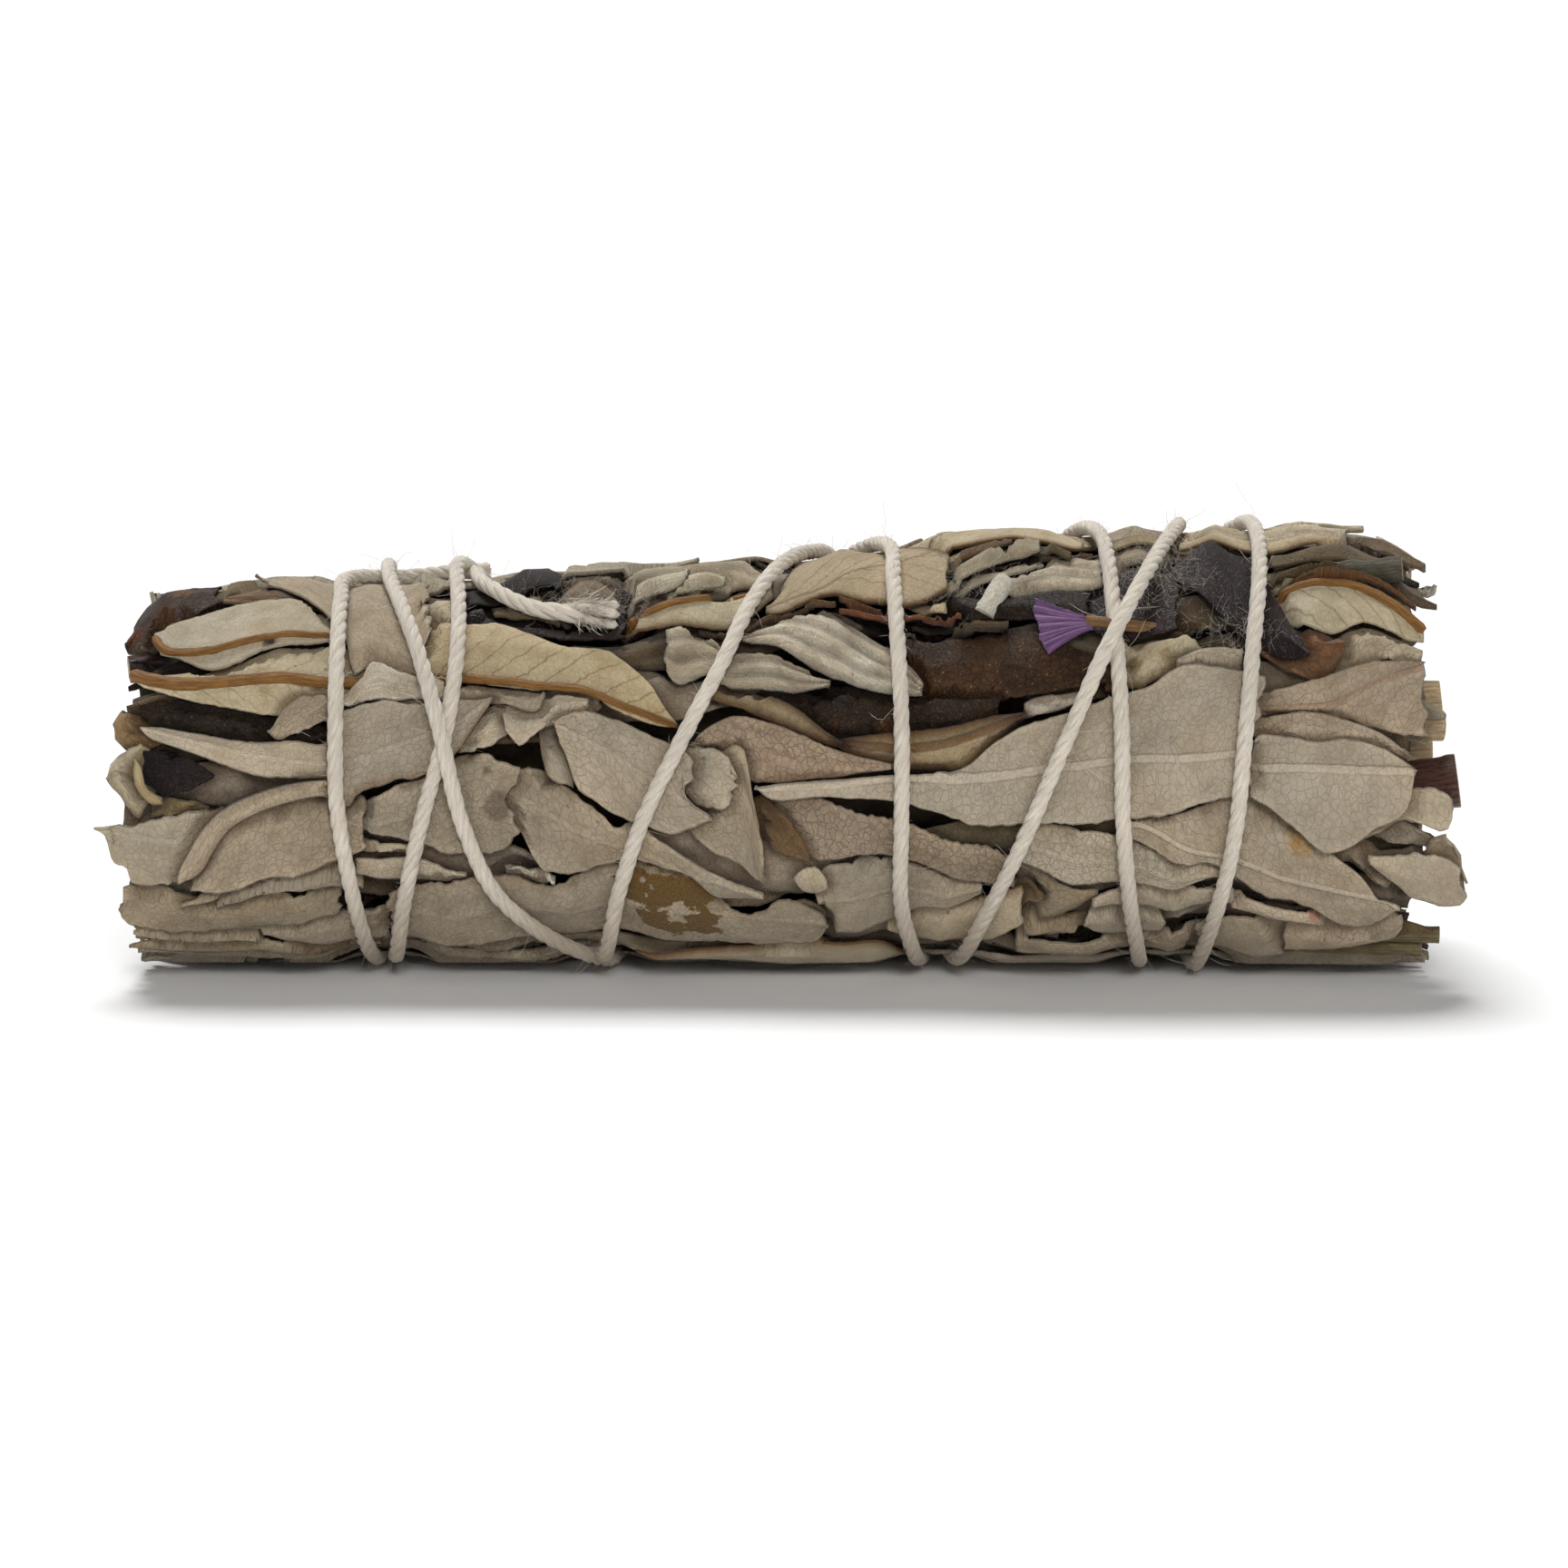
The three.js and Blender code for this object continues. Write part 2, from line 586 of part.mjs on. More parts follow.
function samplesOf(grid) {
  const samples = [];
  for (let i = 0; i < grid.length - 1; i += 1) {
    for (let j = 0; j < 3; j += 1) {
      for (const u of [0, 0.33, 0.67, 1]) {
        for (const v of [0, 0.5, 1]) {
          const corner = (k) =>
            (grid[i][j][k] * (1 - v) + grid[i][j + 1][k] * v) * (1 - u) +
            (grid[i + 1][j][k] * (1 - v) + grid[i + 1][j + 1][k] * v) * u;
          samples.push(new THREE.Vector2(corner(0), corner(1) * turnLength));
        }
      }
    }
  }
  return samples;
}

// A closed leaf between its outer and inner face, thinner along its edge
function leafGeometry(grid, depth, thick, edge) {
  const points = [];
  const last = grid.length - 1;
  grid.forEach((row, i) => {
    row.forEach(([x, turn], j) => {
      const onEdge = i === 0 || i === last || j === 0 || j === 3;
      points.push(place(x, turn, depth + (onEdge ? edge : 0)));
      points.push(place(x, turn, depth + thick - (onEdge ? edge / 2 : 0)));
    });
  });
  const at = (i, j, inner) => (i * 4 + j) * 2 + inner;
  const faces = [];
  const quad = (a, b, c, d) => faces.push(a, b, c, a, c, d);
  for (let i = 0; i < last; i += 1) {
    for (let j = 0; j < 3; j += 1) {
      quad(at(i, j, 0), at(i + 1, j, 0), at(i + 1, j + 1, 0), at(i, j + 1, 0));
      quad(at(i, j, 1), at(i, j + 1, 1), at(i + 1, j + 1, 1), at(i + 1, j, 1));
    }
    quad(at(i, 0, 1), at(i + 1, 0, 1), at(i + 1, 0, 0), at(i, 0, 0));
    quad(at(i, 3, 0), at(i + 1, 3, 0), at(i + 1, 3, 1), at(i, 3, 1));
  }
  for (let j = 0; j < 3; j += 1) {
    quad(at(0, j, 1), at(0, j, 0), at(0, j + 1, 0), at(0, j + 1, 1));
    quad(at(last, j, 0), at(last, j, 1), at(last, j + 1, 1), at(last, j + 1, 0));
  }
  const geometry = new THREE.BufferGeometry().setFromPoints(points);
  geometry.setIndex(faces);
  return geometry;
}

const bunch = new THREE.Group();

function addPiece(name, kind, geometry, roughness) {
  geometry.computeVertexNormals();
  const material = new THREE.MeshStandardMaterial({ color: colors[kind], roughness, metalness: 0 });
  const mesh = new THREE.Mesh(geometry, material);
  mesh.name = name;
  bunch.add(mesh);
}

function solidOf(geometry) {
  const { position } = geometry.attributes;
  const corners = geometry.index?.array ?? Array.from({ length: position.count }, (_, i) => i);
  const triVerts = Uint32Array.from(corners);
  const mesh = new Mesh({ numProp: 3, vertProperties: position.array, triVerts });
  mesh.merge();
  return new Manifold(mesh);
}

function geometryOf(solid) {
  const mesh = solid.getMesh();
  const geometry = new THREE.BufferGeometry();
  geometry.setAttribute("position", new THREE.BufferAttribute(mesh.vertProperties, 3));
  geometry.setIndex(new THREE.BufferAttribute(mesh.triVerts, 1));
  return geometry;
}

// Stations of the string as x and turn, the turn running on through every pass
const route = tail.map((point) => sight(point));
route.push([-25.2, 98], [-28, 106], [-31.4, 100]);
passes.forEach((pass, i) => {
  const round = -360 * i;
  pass.slice(i === 0 ? 1 : 0).forEach((point) => {
    const [x, turn] = sight(point);
    route.push([x, turn + round]);
  });
  const from = route[route.length - 1];
  const next = i < passes.length - 1 ? sight(passes[i + 1][0])[0] : -36;
  turnsOfBack.forEach((turn) => {
    const share = (turn + 90) / -180;
    route.push([from[0] + (next - from[0]) * share, turn + round]);
  });
});
const lastRound = -360 * passes.length;
route.push([-34.5, lastRound + 118], [-31, lastRound + 119], [-27, lastRound + 118], [-22, lastRound + 114]);

const flatRoute = new THREE.CatmullRomCurve3(
  route.map(([x, turn]) => new THREE.Vector3(x, turn * turnLength, 0)),
  false,
  "centripetal",
);
const stations = flatRoute.getSpacedPoints(stringStations);
const lastPass = (turn) => turn > lastRound + 360 - 90 - 1 && turn < lastRound + 360 + 95;
const secondPass = (turn) => turn > -360 - 92 && turn < -360 + 92;

// How much one crossing turn is raised by another at a distance
function lift(a, b, riseBelow) {
  const turns = Math.abs(a.y - b.y) / turnLength;
  const round = Math.abs(turns - 360 * Math.round(turns / 360)) * turnLength;
  const away = Math.hypot(a.x - b.x, round);
  if (away > liftReach) return 0;
  return (riseBelow + stringRise) * THREE.MathUtils.smoothstep(liftReach - away, 0, liftReach - 1.1);
}

const rises = stations.map(() => 0);
const skip = 8; // stations of the same turn
stations.forEach((a, j) => {
  for (let i = 0; i < j - skip; i += 1) {
    const b = stations[i];
    const tucked = lastPass(a.y / turnLength) && secondPass(b.y / turnLength);
    if (tucked) rises[i] = Math.max(rises[i], lift(a, b, 0));
    else rises[j] = Math.max(rises[j], lift(a, b, rises[i]));
  }
});

const stringLine = stations.map((p, i) => {
  const point = place(p.x, p.y / turnLength, -rises[i]);
  point.z = Math.max(point.z, stringLowest + rises[i]);
  return point;
});

function tubeGeometry(radius, sides) {
  const shape = new THREE.Shape();
  for (let i = 0; i < sides; i += 1) {
    const angle = (2 * Math.PI * i) / sides;
    const point = [radius * Math.cos(angle), radius * Math.sin(angle)];
    if (i === 0) shape.moveTo(...point);
    else shape.lineTo(...point);
  }
  shape.closePath();
  const extrudePath = new THREE.CatmullRomCurve3(stringLine, false, "centripetal");
  return new THREE.ExtrudeGeometry(shape, { steps: stringStations, extrudePath });
}

// Each leaf lies as deep as the leaves over it need
const laid = [];

function layLeaf(leaf, toBunch, depth, thick, edge) {
  const grid = gridOf(leaf, toBunch);
  const border = borderOf(grid);
  const samples = samplesOf(grid);
  let deep = depth;
  laid.forEach((other) => {
    const meets =
      samples.some((p) => nearBorder(p, other.border)) || other.samples.some((p) => nearBorder(p, border));
    if (meets) deep = Math.max(deep, other.deep + other.thick + leafGap);
  });
  laid.push({ grid, border, samples, deep, thick });
  return leafGeometry(grid, deep, thick, edge);
}

const asTurned = (point) => point;
const groove = solidOf(tubeGeometry(stringRadius + stringClearance, 6));

restLeaves.forEach((leaf) => {
  const flat = solidOf(layLeaf(leaf, asTurned, 0, restLeafThick, 0));
  addPiece(leaf.name, leaf.kind, geometryOf(flat.subtract(groove)), 0.9);
});
frontLeaves.forEach((leaf) => {
  addPiece(leaf.name, leaf.kind, layLeaf(leaf, sight, outerLeafDepth, leafThick, edgeRound), 0.9);
});
backLeaves.forEach((leaf) => {
  addPiece(leaf.name, leaf.kind, layLeaf(leaf, asTurned, outerLeafDepth, leafThick, edgeRound), 0.9);
});
addPiece("string", "cotton", tubeGeometry(stringRadius, 7), 0.95);

// Inner leaves and stems, pressed into one mass, with a place left in it for every leaf that lies deep
function coreGeometry() {
  const points = [];
  coreRings.forEach(({ x, depth }) => {
    for (let j = 0; j < coreSides; j += 1) points.push(place(x, (360 * j) / coreSides, depth));
  });
  const faces = [];
  for (let i = 0; i < coreRings.length - 1; i += 1) {
    for (let j = 0; j < coreSides; j += 1) {
      const a = i * coreSides + j;
      const b = i * coreSides + ((j + 1) % coreSides);
      faces.push(a, a + coreSides, b + coreSides, a, b + coreSides, b);
    }
  }
  const far = (coreRings.length - 1) * coreSides;
  for (let j = 1; j < coreSides - 1; j += 1) faces.push(0, j, j + 1, far, far + j + 1, far + j);
  const geometry = new THREE.BufferGeometry().setFromPoints(points);
  geometry.setIndex(faces);
  return geometry;
}

// The room a laid leaf needs, open to the outside of the bunch
function roomOf({ grid, deep, thick }) {
  const last = grid.length - 1;
  const wide = grid.map((row, i) => {
    const out = i === 0 ? -leafGap : i === last ? leafGap : 0;
    return row.map(([x, turn], j) => {
      const over = j === 0 ? -leafGap : j === 3 ? leafGap : 0;
      return [x + out, turn + over / turnLength];
    });
  });
  return solidOf(leafGeometry(wide, 0, deep + thick + leafGap, 0));
}

const rooms = laid.filter(({ deep, thick }) => deep + thick > coreDepth).map(roomOf);
const hollowed = Manifold.difference([solidOf(coreGeometry()), groove, ...rooms]);
addPiece("inner_leaves", "inner", geometryOf(hollowed), 0.95);

const middle = new THREE.Box3().setFromObject(bunch).getCenter(new THREE.Vector3());
bunch.position.set(-middle.x, -middle.y, 0);

export default bunch;
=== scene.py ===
import bpy
import bmesh
import math
import numpy as np
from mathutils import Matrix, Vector, kdtree


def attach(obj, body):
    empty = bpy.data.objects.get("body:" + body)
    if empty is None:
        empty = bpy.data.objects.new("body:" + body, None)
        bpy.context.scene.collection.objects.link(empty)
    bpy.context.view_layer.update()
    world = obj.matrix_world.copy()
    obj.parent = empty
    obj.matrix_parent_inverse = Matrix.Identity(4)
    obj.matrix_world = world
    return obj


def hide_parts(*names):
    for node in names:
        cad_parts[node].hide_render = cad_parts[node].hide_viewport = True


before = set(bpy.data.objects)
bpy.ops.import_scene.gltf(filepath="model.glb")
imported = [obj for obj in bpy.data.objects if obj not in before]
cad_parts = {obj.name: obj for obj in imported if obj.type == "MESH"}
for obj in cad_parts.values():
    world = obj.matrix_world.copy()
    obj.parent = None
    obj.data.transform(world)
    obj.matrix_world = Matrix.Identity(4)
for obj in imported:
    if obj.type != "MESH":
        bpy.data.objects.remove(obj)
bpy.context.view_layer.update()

# A small bunch of dried sage on its side. Work is in millimetres, written out in metres.
bunch = dict(
    stations=[-52, -46, -38, -24, -8, 2, 14, 34, 44, 52],
    height=[24.5, 27, 28.2, 28.9, 29, 30.4, 31.8, 32.6, 31.6, 27],
    half=[12.6, 14, 14.4, 14.4, 14.9, 15.4, 16.2, 16.8, 16, 14],
    roundness=2.2,  # 2 is an ellipse
    bottomDrop=0.8,  # the bottom is flattened by this much
    clear=0.1,  # least height over the floor
    frontLift=0.8,  # the underside's rise towards the front
    frontFrom=(2, 8),  # where that rise begins and ends
    axis=14,  # height of its middle line
    shift=(0.136, -0.663, 0),  # puts the middle of its box over the origin
    turnLength=0.26,  # mm of surface in a degree of turn
)
eye = dict(
    distance=350, rise=8, aim=13.05, width=116.3,
    search=(-25, 20, 0.1),  # mm before and behind the aim, and the step, in which a line of sight is followed
)
stageLook = dict(
    world=0.11, floor=0.97, key=2.8, fill=1.08,
    lamps=dict(key=((-0.12, 0.5, 1), 26), fill=((0.15, -1, 0.6), 22)),  # where from, and how wide in degrees
    flat=0.4, dish=3.2, slope=0.09,  # the floor is flat at first and then rises to its rim, in metres
)
bpy.context.scene.view_settings.view_transform = "Standard"


def sectionOf(x, z, depth):
    height = np.interp(x, bunch["stations"], bunch["height"])
    half = np.interp(x, bunch["stations"], bunch["half"]) - depth
    rise = height / 2 + np.where(z < height / 2, bunch["bottomDrop"], 0) - depth
    return height / 2, half, rise


def signedPower(value, power):
    return np.sign(value) * np.abs(value) ** power


def smoothStep(value, low, high):
    t = np.clip((value - low) / (high - low), 0, 1)
    return t * t * (3 - 2 * t)


def place(x, turn, depth):  # x, turn round the bunch in degrees, depth under its outside
    angle = np.radians(turn)
    s = np.sin(angle)
    middle, half, rise = sectionOf(x, np.where(s < 0, -1, 99), depth)
    y = -half * signedPower(np.cos(angle), 2 / bunch["roundness"])
    z = middle + rise * signedPower(s, 2 / bunch["roundness"])
    floor = np.maximum(depth, bunch["clear"]) + bunch["frontLift"] * smoothStep(-y, *bunch["frontFrom"])
    return np.stack([x, y, np.maximum(z, floor)], axis=-1)


def sight(points, depth=0.85):  # where the line of sight through seen points meets the bunch, as x and turn
    points = np.asarray(points, float).reshape(-1, 2)
    tilt = math.radians(eye["rise"])
    aim = np.array([0, 0, eye["aim"]])
    start = aim + eye["distance"] * np.array([0, -math.cos(tilt), math.sin(tilt)])
    up = np.array([0, math.sin(tilt), math.cos(tilt)])
    target = aim + points[:, :1] * np.array([1, 0, 0]) + (points[:, 1:] - eye["aim"]) * up
    ray = target - start
    reach = np.linalg.norm(ray, axis=1, keepdims=True)
    ray /= reach
    away = reach + np.arange(*eye["search"])
    at = start + ray[:, None, :] * away[:, :, None]
    middle, half, rise = sectionOf(at[..., 0], at[..., 2], depth)
    power = bunch["roundness"]
    side = np.abs(at[..., 1] / half) ** power + np.abs((at[..., 2] - middle) / rise) ** power
    inside = side < 1
    pick = np.where(inside.any(axis=1), inside.argmax(axis=1), side.argmin(axis=1))
    rows = np.arange(len(points))
    best, middle, half, rise = at[rows, pick], middle[rows, pick], half[rows, pick], rise[rows, pick]
    c = -signedPower(best[:, 1] / half, power / 2)
    s = signedPower((best[:, 2] - middle) / rise, power / 2)
    return np.stack([best[:, 0], np.degrees(np.arctan2(s, c))], axis=-1)


grain = np.random.default_rng(7).random((128, 128))


def softNoise(x, y, seed=0):  # smooth, about 0.5 on average, one wave a unit
    x = np.asarray(x, float) + seed * 17.3
    y = np.asarray(y, float) + seed * 7.7
    xi, yi = np.floor(x).astype(int), np.floor(y).astype(int)
    fx, fy = smoothStep(x - xi, 0, 1), smoothStep(y - yi, 0, 1)
    pick = lambda i, j: grain[i % 128, j % 128]
    low = pick(xi, yi) * (1 - fx) + pick(xi + 1, yi) * fx
    high = pick(xi, yi + 1) * (1 - fx) + pick(xi + 1, yi + 1) * fx
    return low * (1 - fy) + high * fy


def roughNoise(x, y, seed=0):  # three sizes of wave, about -1 to 1
    broad = softNoise(x, y, seed)
    middle = softNoise(2.1 * x, 2.1 * y, seed + 1)
    fine = softNoise(4.3 * x, 4.3 * y, seed + 2)
    return (broad + 0.5 * middle + 0.25 * fine) * 1.14 - 1


# The string's way: tail, run along the top, then each front pass from the top down
stringRoute = dict(
    lift=1.38,  # where one turn crosses another
    give=0.62,  # share of that lift left in pressed cotton
    giveMore=0.15,  # share of what a second crossing adds
    sink=0.15,  # into the leaves
    reach=3.4,  # mm round a crossing in which it rises
    full=1.1,  # mm round a crossing that have the whole lift
    skip=8,  # stations next to one that it can't cross
    tucked=((269, 455), (-452, -268)),  # the end's turns, and those of the turn that lies over it
    lowest=0.72,
    frontLift=0.6,
    stations=270,
    tail=[(-12.2, 25), (-15.9, 25.4), (-19.6, 25.6), (-22.2, 27.2), (-23.3, 28.3)],
    topRun=[(-25.2, 98), (-28, 106), (-31.4, 100)],
    passes=[
        [(-32, 28.3), (-33, 23.4), (-33.2, 17.4), (-33.2, 12.9), (-32, 5.5), (-30.5, 0.8)],
        [(-29.4, 28.3), (-27.7, 23.9), (-26, 19.2), (-24.9, 14.5), (-23.2, 8.8), (-19.6, 3.5), (-14.1, 0.9)],
        [(7.3, 31), (8.2, 25.7), (8.7, 18), (8.7, 10.9), (8.7, 4.4), (9.8, 0.8)],
        [(23.2, 31.1), (24.5, 24.2), (25, 17.4), (25.2, 8.3), (26.3, 0.8)],
        [(34.4, 32.7), (35.2, 28.1), (34.5, 20.7), (33.5, 10.3), (30.7, 0.8)],
        [(29.3, 31.6), (25.5, 25.3), (22.9, 20.7), (20, 14.1), (16.6, 7), (13.1, 0.9)],
        [(1.5, 30.5), (-2.1, 26.5), (-4.8, 21.2), (-7.7, 16), (-11.2, 8.8), (-13.5, 0.7)],
        [(-23.9, 28.3), (-24.1, 24.6), (-24.6, 18.6), (-25.9, 14.1), (-27.5, 8), (-28.7, 1.2)],
    ],
    backTurns=[-112, -135, -160, -180, -200, -225, -248],
    lastX=-36,
    ending=[(-34.5, 118), (-31, 119), (-27, 118), (-22, 114)],
)


def throughPoints(points, each=24):  # a smooth line through points
    p = np.asarray(points, float)
    p = np.vstack([2 * p[0] - p[1], p, 2 * p[-1] - p[-2]])
    gap = np.maximum(np.linalg.norm(np.diff(p, axis=0), axis=1) ** 0.5, 1e-4)
    line = []
    for i in range(1, len(p) - 2):
        t0, t1 = 0, gap[i - 1]
        t2, t3 = t1 + gap[i], t1 + gap[i] + gap[i + 1]
        t = np.linspace(t1, t2, each, endpoint=False)[:, None]
        a1 = (t1 - t) / (t1 - t0) * p[i - 1] + (t - t0) / (t1 - t0) * p[i]
        a2 = (t2 - t) / (t2 - t1) * p[i] + (t - t1) / (t2 - t1) * p[i + 1]
        a3 = (t3 - t) / (t3 - t2) * p[i + 1] + (t - t2) / (t3 - t2) * p[i + 2]
        b1 = (t2 - t) / (t2 - t0) * a1 + (t - t0) / (t2 - t0) * a2
        b2 = (t3 - t) / (t3 - t1) * a2 + (t - t1) / (t3 - t1) * a3
        line.append((t2 - t) / (t2 - t1) * b1 + (t - t1) / (t2 - t1) * b2)
    return np.vstack(line + [p[-2]])


def evenly(line, count):
    far = np.concatenate([[0], np.cumsum(np.linalg.norm(np.diff(line, axis=0), axis=1))])
    at = np.linspace(0, far[-1], count)
    return np.stack([np.interp(at, far, line[:, k]) for k in range(line.shape[1])], axis=-1)


def stringStations():  # x, turn and lift of the string's middle
    r = stringRoute
    route = [tuple(p) for p in sight(r["tail"])] + r["topRun"]
    for i, line in enumerate(r["passes"]):
        front = sight(line[1:] if i == 0 else line)
        route += [(x, turn - 360 * i) for x, turn in front]
        start = route[-1][0]
        last = i == len(r["passes"]) - 1
        goal = r["lastX"] if last else sight(r["passes"][i + 1][0])[0][0]
        route += [(start + (goal - start) * (turn + 90) / -180, turn - 360 * i) for turn in r["backTurns"]]
    rounds = -360 * len(r["passes"])
    route += [(x, turn + rounds) for x, turn in r["ending"]]
    flat = np.array([(x, turn * bunch["turnLength"]) for x, turn in route])
    at = evenly(throughPoints(flat, 60), r["stations"] + 1)
    turns = at[:, 1] / bunch["turnLength"]
    lifts = np.zeros(len(at))
    (endFrom, endTo), (overFrom, overTo) = r["tucked"]
    for j in range(len(at)):
        for i in range(0, j - r["skip"]):
            apart = turns[j] - turns[i]
            apart -= 360 * round(apart / 360)
            away = math.hypot(at[j, 0] - at[i, 0], apart * bunch["turnLength"])
            if away > r["reach"]:
                continue
            step = float(smoothStep(r["reach"] - away, 0, r["reach"] - r["full"]))
            if rounds + endFrom < turns[j] < rounds + endTo and overFrom < turns[i] < overTo:
                lifts[i] = max(lifts[i], r["lift"] * step)
            else:
                lifts[j] = max(lifts[j], (lifts[i] + r["lift"]) * step)
    # cotton gives: each turn over another sinks into it, and all of them into the leaves
    second = np.maximum(lifts - r["lift"], 0)
    lifts = r["give"] * np.minimum(lifts, r["lift"]) + r["giveMore"] * second - r["sink"]
    return at[:, 0], turns, lifts


stringX, stringTurn, stringLift = stringStations()
stringAt = place(stringX, stringTurn, -stringLift)
frontRise = stringRoute["frontLift"] * smoothStep(-stringAt[:, 1], *bunch["frontFrom"])
stringFloor = stringRoute["lowest"] + np.maximum(stringLift, -0.1) + frontRise
stringAt[:, 2] = np.maximum(stringAt[:, 2], stringFloor)
between = 4  # places kept from each station to the next
stringTree = kdtree.KDTree(len(stringX) * between)
for i in range((len(stringX) - 1) * between + 1):
    k, t = divmod(i, between)
    k = min(k, len(stringX) - 2)
    x = stringX[k] + (stringX[k + 1] - stringX[k]) * t / between
    turn = stringTurn[k] + (stringTurn[k + 1] - stringTurn[k]) * t / between
    turn = (turn + 180) % 360 - 180
    stringTree.insert((x, turn * bunch["turnLength"], 0), i)
stringTree.balance()


def stringAway(x, turn):  # distance along the surface to the nearest string
    turn = (np.asarray(turn) + 180) % 360 - 180
    flat = zip(np.ravel(x), np.ravel(turn) * bunch["turnLength"])
    return np.array([stringTree.find((a, b, 0))[2] for a, b in flat]).reshape(np.shape(x))


print("string route laid out")

# How deep the bunch is already covered, over x and turn, so that each leaf lies under those before it
cover = dict(x0=-56, step=0.35, count=320, turnStep=1.5, turns=240, bare=-9.0, bareUnder=-5)
covered = np.full((cover["count"], cover["turns"]), cover["bare"])


def coverCell(x, turn):
    i = np.clip(((np.asarray(x) - cover["x0"]) / cover["step"]).astype(int), 0, cover["count"] - 1)
    j = (np.floor((np.asarray(turn) + 180) / cover["turnStep"]).astype(int)) % cover["turns"]
    return i, j


def softened(grid, times=1):
    for _ in range(times):
        wide = np.pad(grid, 1, mode="edge")
        beside = wide[:-2, 1:-1] + wide[2:, 1:-1] + wide[1:-1, :-2] + wide[1:-1, 2:]
        grid = (beside + 2 * wide[1:-1, 1:-1]) / 6
    return grid


def widened(grid, times=1):
    for _ in range(times):
        wide = np.pad(grid, 1, mode="edge")
        grid = np.maximum.reduce([wide[:-2, 1:-1], wide[2:, 1:-1], wide[1:-1, :-2], wide[1:-1, 2:], grid])
    return grid


def markCovered(x, turn, depth):  # fills the cells between the leaf's own points too
    for a in (0, 0.34, 0.67):
        for b in (0, 0.34, 0.67):
            rows = lambda g: g[:-1] * (1 - a) + g[1:] * a
            mix = lambda g: rows(g[:, :-1]) * (1 - b) + rows(g[:, 1:]) * b
            np.maximum.at(covered, coverCell(mix(x), mix(turn)), mix(depth))


def alongEdge(points, share):
    p = np.asarray(points, float)
    at = p[0, 0] + (p[-1, 0] - p[0, 0]) * share
    line = throughPoints(p, 8)
    order = np.argsort(line[:, 0], kind="stable")
    return np.stack([at, np.interp(at, line[order, 0], line[order, 1])], axis=-1)


leafUsual = dict(
    thick=0.2,
    cell=0.3,  # mm between points
    depth=0.78,
    seenDepth=0.3,
    arch=0.4,
    puff=0.5,  # how far it swells out between turns of string
    topCurl=0.3,
    lowCurl=0.3,
    torn=0.03,
    wave=0.03,
    scallop=0.0,
    nicks=0.07,  # small unevenness of the outline
    folds=0.2,
    ribRise=0.1,
    ribTan=0.0,
    ribWide=0.4,
    ridges=(0, 0),  # furrows along it: how many, how deep
    vein=1.0,
    net=1.0,
    tint=(1, 1, 1),
    topBrown=0.0,
    lowBrown=0.0,
    # topPale and lowPale: painted highlight along the top and low edges
    topPale=0.35,
    lowPale=0.35,
)


def leafPoints(leaf):  # rows of x and turn over the leaf, and the rib's share of the way across
    value = {**leafUsual, **leaf}
    fromView = "turned" not in leaf
    outlines = [np.array(leaf[key], float) for key in ("top", "low")]
    longs = [max(p[-1, 0] - p[0, 0], 1.0) for p in outlines]
    ninths = np.linspace(0, 1, 9)
    highs = [np.interp(ninths, (p[:, 0] - p[0, 0]) / long, p[:, 1]) for p, long in zip(outlines, longs)]
    wide = np.abs(highs[0] - highs[1]).max()
    wide = wide if fromView else wide * bunch["turnLength"]
    countU = int(np.clip(longs[0] / value["cell"], 8, 130))
    countV = int(np.clip(wide / value["cell"] + 2, 6, 44))
    share = np.linspace(0, 1, countU + 1)
    edges = [alongEdge(leaf["low"], share), alongEdge(leaf["top"], share)]
    rib = alongEdge(leaf["rib"], share) if leaf.get("rib") else (edges[0] + edges[1]) / 2
    if fromView:
        edges = [sight(e, value["seenDepth"]) for e in edges]
        rib = sight(rib, value["seenDepth"])
    low, top = edges
    across = np.linspace(0, 1, countV + 1)
    x = low[:, :1] * (1 - across) + top[:, :1] * across
    turn = low[:, 1:] * (1 - across) + top[:, 1:] * across
    width = np.maximum(top[:, 1] - low[:, 1], 0.4)
    ribAt = np.clip((rib[:, 1] - low[:, 1]) / width, -0.2, 1.2)
    return value, x, turn, ribAt, share, across


